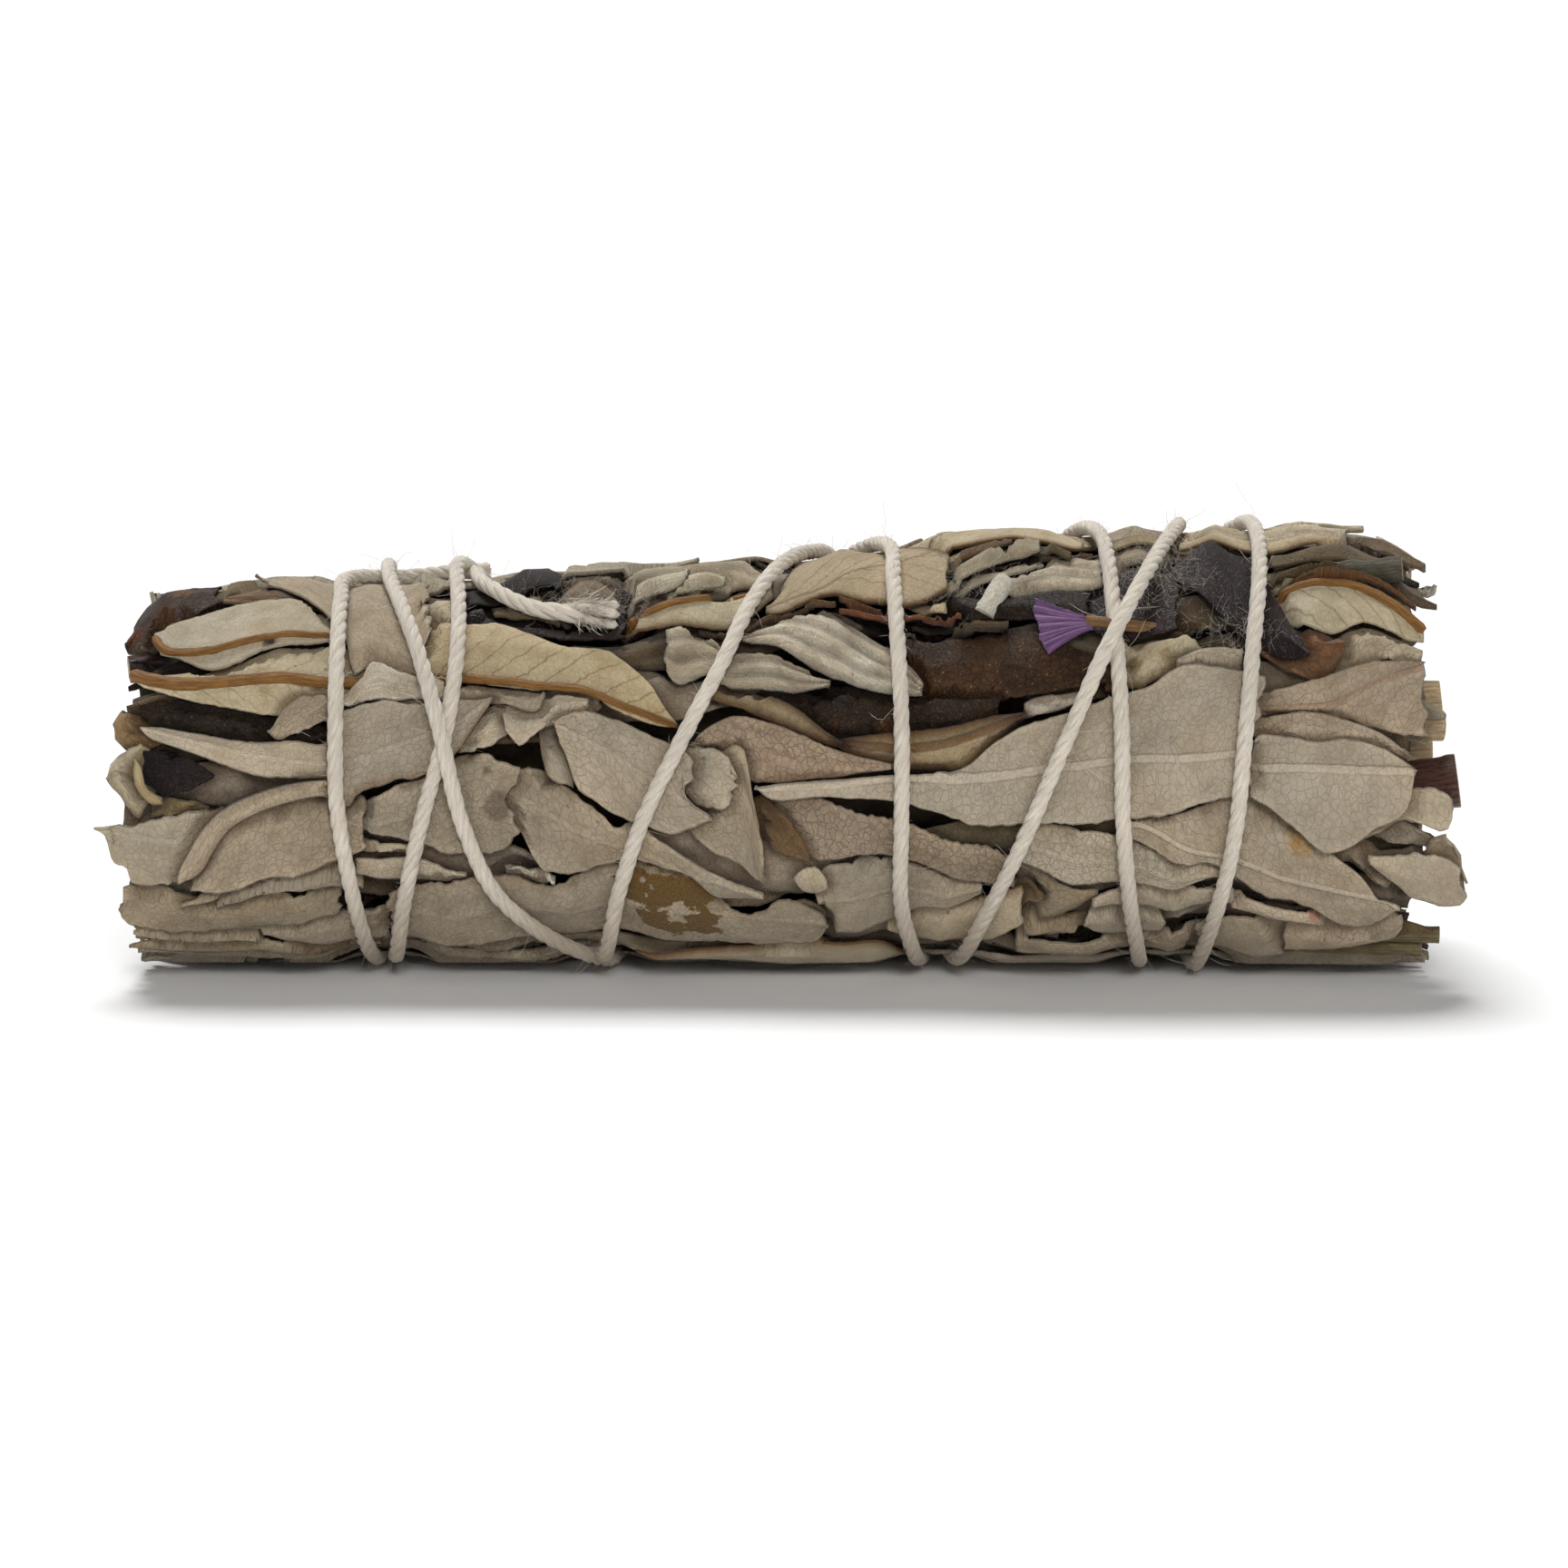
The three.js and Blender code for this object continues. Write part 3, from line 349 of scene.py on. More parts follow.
def growLeaf(leaf, replaced=None, deepest=99, batch=None):
    value, x, turn, ribAt, share, across = leafPoints(leaf)
    seed = sum(ord(c) * (i + 3) for i, c in enumerate(leaf["name"])) % 97
    u, v = np.meshgrid(share, across, indexing="ij")
    lengthMm = (x[-1].mean() - x[0].mean()) * share
    alongMm = lengthMm[:, None]
    widthMm = np.maximum((turn[:, -1] - turn[:, 0]) * bunch["turnLength"], 0.2)
    acrossMm = (v - ribAt[:, None]) * widthMm[:, None]
    # torn and wavy outline
    edge = np.minimum(v, 1 - v) * widthMm[:, None]
    ends = np.minimum(u, 1 - u) * lengthMm[-1]
    rim = np.minimum(edge, ends)
    sway = value["wave"] * np.sin(alongMm * 1.1 + seed)
    sway = sway + value["torn"] * 1.2 * roughNoise(alongMm * 1.1, v * 2, seed)
    sway = sway + value["nicks"] * roughNoise(alongMm * 2.6, v * 2, seed + 7)
    sway = sway + value["scallop"] * np.abs(np.sin(alongMm * 4.2)) * (v > 0.5)
    push = np.exp(-edge / 0.7) * np.sign(v - 0.5) * sway / bunch["turnLength"]
    turn = turn + push * smoothStep(widthMm, 0.3, 2.5)[:, None]
    endPull = np.exp(-ends / 0.9) * smoothStep(widthMm, 0.8, 3)[:, None]
    tear = endPull * np.sign(u - 0.5) * (0.2 + 2.6 * value["torn"])
    x = x + tear * roughNoise(acrossMm * 1.1, u * 3, seed + 5)
    for key, side, way in (("left", 1 - u, 1), ("right", u, -1)):
        if key in value:
            shape = np.array(value[key])
            x = x + np.interp(v, shape[:, 0], shape[:, 1]) * smoothStep(side, 0.86, 1) * way * 0.9
    # relief, outwards
    away = stringAway(x, turn)
    free = smoothStep(away, 0.8, 4.2)
    across2 = np.clip(2 * v - 1, -1, 1)
    hump = np.sin(np.pi * np.clip(u, 0.06, 0.94)) ** 0.5
    relief = value["puff"] * free + value["arch"] * (1 - across2**2) * (0.25 + 0.75 * free) * hump
    relief += value["folds"] * roughNoise(alongMm * 0.16, acrossMm * 0.75, seed + 9) * (0.3 + 0.7 * free)
    relief += 0.05 * roughNoise(alongMm * 0.9, acrossMm * 1.3, seed + 11)
    furrows, furrowDeep = value["ridges"]
    wander = 0.06 * roughNoise(alongMm * 0.25, v * 2, seed + 13)
    furrow = 0.5 - 0.5 * np.cos(2 * np.pi * furrows * (v + wander))
    relief += furrowDeep * (furrow - 0.5)
    relief += value["ribRise"] * np.exp(-((acrossMm / (value["ribWide"] * 0.55)) ** 2))
    ripple = 0.6 + 0.8 * softNoise(alongMm * 0.45, v * 0, seed + 3)
    relief += value["topCurl"] * ripple * np.exp(-(1 - v) * widthMm[:, None] / 0.9) * free
    relief += value["lowCurl"] * ripple * np.exp(-v * widthMm[:, None] / 0.9) * free
    depth = value["depth"] - relief
    # under everything that already lies here
    slack = 0.08 + 0.45 * smoothStep(softNoise(x * 0.22, turn * 0.06, seed + 15), 0.45, 0.9)
    over = covered[coverCell(x, turn)]
    need = widened(over + slack, 2)
    smooth = softened(need, 5)
    # painted shade: where an earlier leaf already lies over this one, widened a little past its edge
    paintedShadeUnder = softened(widened((over > cover["bareUnder"]).astype(float)), 2)
    depth = np.maximum(depth, np.maximum(need, smooth) - 0.25 * (relief - relief.mean()))
    depth = np.where(need > cover["bareUnder"], np.maximum(depth, need), depth)
    depth = np.maximum(depth, 0.8 - 2.2 * smoothStep(away, 0.7, 2.4))
    if np.median(depth) > deepest:
        return None
    markCovered(x, turn, depth + value["thick"])
    points = place(x, turn, depth) + bunch["shift"]
    mesh = gridMesh(leaf["name"], points)
    # the leaf's own map: along and across from its midrib, in centimetres
    alongCm = np.broadcast_to(alongMm / 10, v.shape) + seed * 0.37
    furrow = furrow if furrows else None
    paintLeaf(mesh, value, seed, alongCm, acrossMm / 10, rim, u, v, x, turn, edge, furrow, paintedShadeUnder)
    if batch is not None:
        batch.setdefault(leaf["look"], []).append(mesh)
        return mesh
    if "ribTube" in value:
        growRib(value, points, ribAt, lengthMm, seed)
    piece = addPiece(leaf["name"], mesh, looks[leaf["look"]], replaced)
    return addWall(piece, value["thick"])


def growRib(value, points, ribAt, lengthMm, seed):  # a round midrib along the leaf, thinner towards one end
    rows, cols = points.shape[:2]
    along = np.arange(rows)
    col = np.clip(ribAt * (cols - 1), 0, cols - 1)
    near = np.stack([points[along, np.floor(col).astype(int)], points[along, np.ceil(col).astype(int)]])
    line = near[0] + (near[1] - near[0]) * (col % 1)[:, None]
    radius = np.linspace(*value["ribTube"], rows)
    radius = radius * (1 + 0.15 * roughNoise(lengthMm * 0.6, lengthMm * 0, seed))
    name = value["name"] + "Rib"
    rib = tube(name, evenly(line, rows), radius, 12, bluntEnds=True)
    addPiece(name, mergeSeams([rib], name), looks["midrib"])


def addWall(piece, thick):
    wall = piece.modifiers.new("wall", "SOLIDIFY")
    wall.thickness = thick * 0.001
    wall.offset = -1
    return piece


def addBatch(name, batch, thick=0.3):  # one piece for all the leaves of each look
    for look, meshes in batch.items():
        bm = bmesh.new()
        for mesh in meshes:
            bm.from_mesh(mesh)
        bm.to_mesh(meshes[0])
        bm.free()
        for mesh in meshes[1:]:
            bpy.data.meshes.remove(mesh)
        addWall(addPiece(f"{name}_{look}", meshes[0], looks[look]), thick)
        print(name, look, len(meshes[0].polygons))


gridOrders = {}


def gridOrder(rows, cols):  # create_grid's own order of points, as places in rows
    if (rows, cols) not in gridOrders:
        bm = bmesh.new()
        bmesh.ops.create_grid(bm, x_segments=rows - 1, y_segments=cols - 1, size=0.5)
        found = [(round((p.co.x + 0.5) * (rows - 1)), round((p.co.y + 0.5) * (cols - 1))) for p in bm.verts]
        bm.free()
        gridOrders[rows, cols] = np.array([i * cols + j for i, j in found])
    return gridOrders[rows, cols]


def gridMesh(name, points):  # points in rows, in millimetres
    rows, cols = points.shape[:2]
    bm = bmesh.new()
    bmesh.ops.create_grid(bm, x_segments=rows - 1, y_segments=cols - 1, size=0.5)
    for vert, at in zip(bm.verts, points.reshape(-1, 3)[gridOrder(rows, cols)] * 0.001):
        vert.co = at
    mesh = bpy.data.meshes.new(name)
    bm.to_mesh(mesh)
    bm.free()
    return mesh


# Stores the piece's own map in centimetres, its paint, and facts for its look
def mapMesh(mesh, along, across, paint=None, **facts):
    order = gridOrder(*along.shape)
    if paint is not None:
        rgba = np.ones(along.shape + (4,))
        rgba[..., :3] = paint
        layer = mesh.color_attributes.new("leafPaint", "FLOAT_COLOR", "POINT")
        layer.data.foreach_set("color", rgba.reshape(-1, 4)[order].astype(np.float32).ravel())
    for name, grid in facts.items():
        layer = mesh.attributes.new(name, "FLOAT", "POINT")
        values = np.broadcast_to(grid, along.shape).reshape(-1)[order]
        layer.data.foreach_set("value", values.astype(np.float32))
    corner = np.zeros(len(mesh.loops), dtype=np.int32)
    mesh.loops.foreach_get("vertex_index", corner)
    pair = np.stack([along.reshape(-1)[order], across.reshape(-1)[order]], axis=-1)[corner]
    mesh.uv_layers.new(name="leafMap").data.foreach_set("uv", pair.astype(np.float32).ravel())


def mergeSeams(meshes, name):  # one mesh of several, with the seams and ends of each joined up
    bm = bmesh.new()
    for mesh in meshes:
        bm.from_mesh(mesh)
        if mesh is not meshes[0]:
            bpy.data.meshes.remove(mesh)
    bmesh.ops.remove_doubles(bm, verts=bm.verts, dist=2e-6)
    bmesh.ops.recalc_face_normals(bm, faces=bm.faces)
    meshes[0].name = name
    bm.to_mesh(meshes[0])
    bm.free()
    return meshes[0]


def frames(line):  # two directions across a line, carried along it without twist
    ahead = np.gradient(line, axis=0)
    ahead /= np.linalg.norm(ahead, axis=1, keepdims=True)
    side = np.zeros_like(line)
    now = np.cross(ahead[0], (0.3, 0.2, 1.0))
    for i, way in enumerate(ahead):
        now = now - way * now.dot(way)
        now /= np.linalg.norm(now)
        side[i] = now
    return side, np.cross(ahead, side)


def ringAround(line, sides):  # angles, and the directions at them from each point of the line
    side, up = frames(line)
    angle = np.linspace(0, 2 * np.pi, sides + 1)
    ring = np.cos(angle)[None, :, None] * side[:, None] + np.sin(angle)[None, :, None] * up[:, None]
    return angle, ring


# A round strand along a line, with closed ends
def tube(name, line, radius, sides, paint=None, bluntEnds=False):
    if bluntEnds:
        first = line[:1] + 0.02 * (line[1] - line[0])
        last = line[-1:] - 0.02 * (line[-1] - line[-2])
        line = np.vstack([line[:1], first, line[1:-1], last, line[-1:]])
        radius = np.concatenate([[0], radius[:1] * 0.7, radius[1:-1], radius[-1:] * 0.7, [0]])
    angle, ring = ringAround(line, sides)
    far = np.concatenate([[0], np.cumsum(np.linalg.norm(np.diff(line, axis=0), axis=1))])
    radius = np.broadcast_to(radius, (len(line),)).copy()
    radius[0] = radius[-1] = 0
    points = line[:, None] + ring * radius[:, None, None]
    grid = points.shape[:2]
    mesh = gridMesh(name, points)
    along = np.broadcast_to(far[:, None] / 10, grid)
    across = np.broadcast_to(angle * max(radius) / 10, grid)
    shade = np.ones(grid + (3,)) if paint is None else np.broadcast_to(paint[:, None], grid + (3,))
    mapMesh(mesh, along, across, shade, cutEnd=0)
    return mesh


def paintLeaf(mesh, value, seed, along, across, rim, u, v, x, turn, edge, furrow, paintedShadeUnder):
    tint = np.ones(u.shape + (3,)) * np.array(value["tint"])
    shade = 1 + 0.12 * roughNoise(along * 1.6, across * 4, seed + 21)
    warm = 0.05 * roughNoise(along * 2.3, across * 3, seed + 25)
    tint[..., 0] *= shade * (1 + warm)
    tint[..., 1] *= shade
    tint[..., 2] *= shade * (1 - warm)
    # painted shade in the furrows and a little painted light on the ridges between them
    if furrow is not None:
        tint *= (0.68 + 0.42 * furrow)[..., None]
    # painted shade where the leaf lies under the leaf above and just beside its edge
    tint *= 1 - paintedShadeUnder[..., None] * np.array([0.5, 0.55, 0.6])
    # the lighter band along each edge is a painted highlight; the brown along the margins is the leaf's own
    # colour
    for side, brown, pale in ((1 - v, "topBrown", "topPale"), (v, "lowBrown", "lowPale")):
        near = np.exp(-((side * edge.max(axis=1)[:, None] * 2 / 0.5) ** 2))
        tint[..., :3] *= 1 + (0.28 * value[pale] * near)[..., None]
        tint[..., :3] *= 1 - value[brown] * near[..., None] * np.array([0.68, 0.8, 0.9])
    stain = np.zeros(u.shape)
    for sx, sy, radius in value.get("stains", []):
        sx, sy = sight([(sx, sy)], value["seenDepth"])[0]
        stain = np.maximum(stain, 1 - np.hypot(x - sx, (turn - sy) * bunch["turnLength"]) / radius)
    for sx, sy, radius, color, strength in value.get("spots", []):
        sx, sy = sight([(sx, sy)], value["seenDepth"])[0]
        away = np.hypot(x - sx, (turn - sy) * bunch["turnLength"]) / radius
        away = away * (1 + 0.4 * roughNoise(x * 1.3, turn * 0.35, seed + 31))
        mask = (smoothStep(1.25 - away, 0, 0.3) * strength)[..., None]
        tint[..., :3] = tint[..., :3] * (1 - mask) + tint[..., :3] * np.array(color) * mask
    mapMesh(mesh, along, across, tint, leafRim=rim, leafStain=stain, leafVein=value["vein"],
            leafNet=value["net"], leafRib=value["ribTan"], leafRibWide=value["ribWide"] / 20)


def addPiece(name, mesh, material, replaced=None):
    mesh.materials.append(material)
    mesh.polygons.foreach_set("use_smooth", np.ones(len(mesh.polygons), dtype=bool))
    piece = bpy.data.objects.new("looks_" + name, mesh)
    bpy.context.collection.objects.link(piece)
    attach(piece, "root")
    if replaced:
        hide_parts(replaced)
    return piece


# Materials
def newLook(name):
    look = bpy.data.materials.new(name)
    look.use_nodes = True
    tree = look.node_tree
    shader = tree.nodes["Principled BSDF"]
    return look, tree, shader


def addNode(tree, kind, **values):
    node = tree.nodes.new("ShaderNode" + kind)
    for key, value in values.items():
        if hasattr(node, key):
            setattr(node, key, value)
    return node


def feed(tree, socket, value):
    if isinstance(value, bpy.types.NodeSocket):
        tree.links.new(value, socket)
    else:
        socket.default_value = value


def maths(tree, operation, a, b=0.0, clamp=False):
    node = addNode(tree, "Math", operation=operation, use_clamp=clamp)
    feed(tree, node.inputs[0], a)
    feed(tree, node.inputs[1], b)
    return node.outputs[0]


def ramped(tree, value, low, high, toLow=0.0, toHigh=1.0):
    node = addNode(tree, "MapRange", interpolation_type="SMOOTHSTEP")
    feed(tree, node.inputs["Value"], value)
    for key, number in (("From Min", low), ("From Max", high), ("To Min", toLow), ("To Max", toHigh)):
        feed(tree, node.inputs[key], number)
    return node.outputs[0]


def mixed(tree, factor, a, b, blend="MIX"):
    node = addNode(tree, "Mix", data_type="RGBA", blend_type=blend)
    feed(tree, node.inputs[0], factor)
    for socket, value in ((node.inputs[6], a), (node.inputs[7], b)):
        feed(tree, socket, value if isinstance(value, bpy.types.NodeSocket) else (*value, 1))
    return node.outputs[2]


def stretched(tree, vector, scale):
    node = addNode(tree, "Mapping")
    feed(tree, node.inputs["Vector"], vector)
    node.inputs["Scale"].default_value = scale
    return node.outputs[0]


def noised(tree, vector, scale, detail=3.0, roughness=0.55):
    node = addNode(tree, "TexNoise")
    feed(tree, node.inputs["Vector"], vector)
    node.inputs["Scale"].default_value = scale
    node.inputs["Detail"].default_value = detail
    node.inputs["Roughness"].default_value = roughness
    return node


def cells(tree, vector, scale, feature="F1"):
    node = addNode(tree, "TexVoronoi", feature=feature)
    feed(tree, node.inputs["Vector"], vector)
    node.inputs["Scale"].default_value = scale
    return node


def fact(tree, name, output="Fac"):  # a fact stored with the mesh
    return addNode(tree, "Attribute", attribute_name=name).outputs[output]


def times(tree, a, b, clamp=False):
    return maths(tree, "MULTIPLY", a, b, clamp)


def plus(tree, a, b):
    return maths(tree, "ADD", a, b)


def toned(color, share):
    return tuple(min(share * part, 0.9) for part in color)


def setRelief(tree, shader, height, strength, deep):  # deep in metres
    relief = addNode(tree, "Bump")
    relief.inputs["Strength"].default_value = strength
    relief.inputs["Distance"].default_value = deep
    feed(tree, relief.inputs["Height"], height)
    feed(tree, shader.inputs["Normal"], relief.outputs[0])


def leafLook(name, light, dark, rib, veins=0.4, net=0.6, pebble=0.6, streak=0.0, roughness=0.85, sheen=0.15,
             dots=0.4, bump=0.75, speckle=0.0, speckleColor=(0.2, 0.15, 0.1), grain=0.6):
    look, tree, shader = newLook(name)
    leafMap = addNode(tree, "UVMap", uv_map="leafMap").outputs[0]
    paint = fact(tree, "leafPaint", "Color")
    rim, stain = fact(tree, "leafRim"), fact(tree, "leafStain")
    ribOn, ribWide = fact(tree, "leafRib"), fact(tree, "leafRibWide")
    veinOn, netOn = fact(tree, "leafVein"), fact(tree, "leafNet")
    split = addNode(tree, "SeparateXYZ")
    feed(tree, split.inputs[0], leafMap)
    along, across = split.outputs[0], split.outputs[1]
    wander = noised(tree, leafMap, 9, 2)
    shift = addNode(tree, "VectorMath", operation="MULTIPLY_ADD")
    feed(tree, shift.inputs[0], wander.outputs["Color"])
    shift.inputs[1].default_value = (0.05, 0.05, 0)
    feed(tree, shift.inputs[2], leafMap)
    warped = shift.outputs[0]
    aside = maths(tree, "ABSOLUTE", across)
    # midrib, brown or pale
    sway = times(tree, maths(tree, "SUBTRACT", wander.outputs["Fac"], 0.5), 0.02)
    ribShape = ramped(tree, maths(tree, "DIVIDE", plus(tree, aside, sway), ribWide), 1.2, 0.7)
    ribMask = times(tree, ribShape, maths(tree, "MAXIMUM", ribOn, 0.0), clamp=True)
    paleRib = times(tree, ribShape, maths(tree, "MAXIMUM", times(tree, ribOn, -1.0), 0.0), clamp=True)
    # side veins, leaning forwards from the midrib
    reach = times(tree, maths(tree, "POWER", aside, 0.85), 0.95)
    row = plus(tree, maths(tree, "SUBTRACT", along, reach), times(tree, wander.outputs["Fac"], 0.1))
    share = maths(tree, "FRACT", maths(tree, "DIVIDE", row, 0.2))
    wave = maths(tree, "ABSOLUTE", maths(tree, "SUBTRACT", share, 0.5))
    veinMask = times(tree, ramped(tree, wave, 0.07, 0.02), ramped(tree, aside, 0.75, 0.2, 0.1, 1))
    veinMask = times(tree, veinMask, veinOn)
    # net of fine veins
    netEdge = cells(tree, warped, 19, "DISTANCE_TO_EDGE").outputs["Distance"]
    netMask = times(tree, ramped(tree, netEdge, 0.07, 0.015), netOn)
    fineEdge = cells(tree, warped, 42, "DISTANCE_TO_EDGE").outputs["Distance"]
    fineMask = times(tree, ramped(tree, fineEdge, 0.16, 0.03), netOn)
    lumps = noised(tree, leafMap, 55, 3, 0.6).outputs["Fac"]
    patches = noised(tree, leafMap, 4.5, 4, 0.6).outputs["Fac"]
    fibres = noised(tree, stretched(tree, leafMap, (3, 60, 1)), 1.6, 4, 0.65).outputs["Fac"]
    grit = noised(tree, leafMap, 75, 4, 0.75).outputs["Fac"]
    # colour
    body = mixed(tree, ramped(tree, patches, 0.35, 0.72), light, dark)
    body = mixed(tree, times(tree, netMask, 0.75 * net, clamp=True), body, toned(dark, 0.75))
    body = mixed(tree, times(tree, fineMask, 0.5 * net, clamp=True), body, dark)
    body = mixed(tree, times(tree, ramped(tree, lumps, 0.42, 0.7), 0.18), body, light)
    if streak:
        body = mixed(tree, times(tree, ramped(tree, fibres, 0.4, 0.62), streak), body, dark)
        body = mixed(tree, times(tree, ramped(tree, fibres, 0.56, 0.72), streak), body, light)
    body = mixed(tree, times(tree, veinMask, veins), body, rib)
    body = mixed(tree, ribMask, body, rib)
    body = mixed(tree, paleRib, body, toned(light, 1.18))
    if dots:
        spot = cells(tree, leafMap, 7)
        seldom = ramped(tree, spot.outputs["Color"], 0.72, 0.74)
        spotMask = times(tree, ramped(tree, spot.outputs["Distance"], 0.11, 0.06), seldom)
        body = mixed(tree, times(tree, spotMask, dots), body, (0.03, 0.02, 0.012))
    # light flecks on the dark leaves: painted glints
    if speckle:
        fleck = ramped(tree, cells(tree, leafMap, 34).outputs["Distance"], 0.35, 0.15)
        fleckMask = times(tree, fleck, ramped(tree, lumps, 0.5, 0.62))
        body = mixed(tree, times(tree, fleckMask, speckle), body, speckleColor)
    body = mixed(tree, times(tree, ramped(tree, grit, 0.52, 0.7), grain), body, toned(dark, 0.75))
    body = mixed(tree, times(tree, ramped(tree, grit, 0.46, 0.3), 0.8 * grain), body, toned(light, 1.15))
    # painted highlight in a thin line along the leaf's edge
    body = mixed(tree, ramped(tree, rim, 0.25, 0.02, 0.0, 0.6), body, toned(light, 1.12))
    brownLip = ramped(tree, plus(tree, rim, times(tree, patches, -0.12)), 0.06, 0.0, 0.0, 0.6)
    body = mixed(tree, brownLip, body, toned(dark, 0.5))
    body = mixed(tree, 1.0, body, paint, "MULTIPLY")
    # rust-coloured stain with holes in it
    blot = noised(tree, stretched(tree, leafMap, (5, 8, 1)), 1.0, 4, 0.6).outputs["Fac"]
    blot = times(tree, maths(tree, "SUBTRACT", blot, 0.5), 1.6)
    stainMask = ramped(tree, plus(tree, stain, blot), 0.5, 0.56)
    stainMask = times(tree, stainMask, ramped(tree, stain, 0.0, 0.06))
    hole = cells(tree, leafMap, 8)
    holes = ramped(tree, hole.outputs["Distance"], 0.32, 0.26)
    holes = times(tree, holes, ramped(tree, hole.outputs["Color"], 0.6, 0.62))
    stainMask = times(tree, stainMask, maths(tree, "SUBTRACT", 1.0, holes))
    rust = mixed(tree, ramped(tree, grit, 0.35, 0.65), (0.1, 0.052, 0.012), (0.21, 0.12, 0.032))
    feed(tree, shader.inputs["Base Color"], mixed(tree, stainMask, body, rust))
    # relief
    height = times(tree, netMask, -0.9 * net)
    height = plus(tree, height, times(tree, fineMask, -0.3 * pebble))
    height = plus(tree, height, times(tree, lumps, 0.5 * pebble))
    height = plus(tree, height, times(tree, grit, 0.9 * grain))
    height = plus(tree, height, times(tree, veinMask, 0.5 * veins))
    height = plus(tree, height, times(tree, plus(tree, ribMask, paleRib), 1.5))
    if streak:
        height = plus(tree, height, times(tree, fibres, 1.6 * streak))
    setRelief(tree, shader, height, bump, 0.00022)
    shader.inputs["Roughness"].default_value = roughness
    shader.inputs["Specular IOR Level"].default_value = 0.2 if roughness > 0.6 else 0.3
    shader.inputs["Sheen Weight"].default_value = sheen
    shader.inputs["Sheen Roughness"].default_value = 0.5
    return look


def stemLook(name, light, dark, cut, roughness=0.7):
    look, tree, shader = newLook(name)
    leafMap = addNode(tree, "UVMap", uv_map="leafMap").outputs[0]
    grooves = noised(tree, stretched(tree, leafMap, (5, 40, 1)), 1.0, 5, 0.65).outputs["Fac"]
    lumps = noised(tree, leafMap, 30, 4, 0.6).outputs["Fac"]
    body = mixed(tree, ramped(tree, grooves, 0.35, 0.68), dark, light)
    body = mixed(tree, ramped(tree, lumps, 0.52, 0.7, 0, 0.6), body, dark)
    body = mixed(tree, fact(tree, "cutEnd"), body, cut)
    body = mixed(tree, 1.0, body, fact(tree, "leafPaint", "Color"), "MULTIPLY")
    feed(tree, shader.inputs["Base Color"], body)
    setRelief(tree, shader, plus(tree, grooves, times(tree, lumps, 0.5)), 1.0, 0.00025)
    shader.inputs["Roughness"].default_value = roughness
    shader.inputs["Specular IOR Level"].default_value = 0.35
    return look


looks = dict(
    pale=leafLook("paleSage", (0.56, 0.48, 0.37), (0.42, 0.35, 0.255), (0.36, 0.24, 0.12),
                  veins=0.12, net=0.45),
    taupe=leafLook("taupeSage", (0.47, 0.395, 0.295), (0.33, 0.265, 0.185), (0.3, 0.18, 0.1),
                   veins=0.1, net=0.55),
    cream=leafLook("creamUnderside", (0.6, 0.515, 0.37), (0.43, 0.345, 0.21), (0.2, 0.1, 0.035),
                   veins=0.5, net=0.35, pebble=0.4, dots=0.5),
    tan=leafLook("tanLeaf", (0.22, 0.15, 0.075), (0.1, 0.06, 0.028), (0.12, 0.055, 0.02), veins=0.2, net=0.5),
    olive=leafLook("oliveLeaf", (0.24, 0.19, 0.105), (0.13, 0.095, 0.045), (0.14, 0.09, 0.03),
                   veins=0.2, pebble=0.7, streak=0.3),
    dark=leafLook("resinLeaf", (0.038, 0.021, 0.009), (0.01, 0.0055, 0.003), (0.02, 0.012, 0.007),
                  veins=0.2, pebble=0.9, roughness=0.5, sheen=0, dots=0.2, bump=0.9,
                  speckle=0.5, speckleColor=(0.2, 0.14, 0.08)),
    purple=leafLook("purpleLeaf", (0.028, 0.014, 0.013), (0.008, 0.0045, 0.0045), (0.02, 0.01, 0.01),
                    veins=0.2, pebble=0.9, roughness=0.45, sheen=0, dots=0.1, bump=0.9,
                    speckle=0.3, speckleColor=(0.13, 0.08, 0.06)),
    woolly=leafLook("woollyLeaf", (1.0, 0.9, 0.7), (0.5, 0.4, 0.27), (0.4, 0.33, 0.22),
                    veins=0.0, net=0.2, pebble=1.2, streak=0.6, bump=1.0),
    # the inside's near-black colour is painted shade
    core=leafLook("innerLeaf", (0.08, 0.055, 0.032), (0.02, 0.013, 0.008), (0.1, 0.06, 0.03),
                  veins=0.3, pebble=1.0),
)
looks["midrib"] = stemLook("brownMidrib", (0.33, 0.16, 0.035), (0.16, 0.068, 0.013), (0.2, 0.11, 0.04), 0.55)
print("materials made")


def outline(words):  # "along,high" pairs in the view, in millimetres
    return [tuple(map(float, word.split(","))) for word in words.split()]


def seenLeaf(name, look, top, low, rib=None, **extras):
    value = dict(name=name, look=look, top=outline(top), low=outline(low), **extras)
    if rib:
        value["rib"] = outline(rib)
    return value


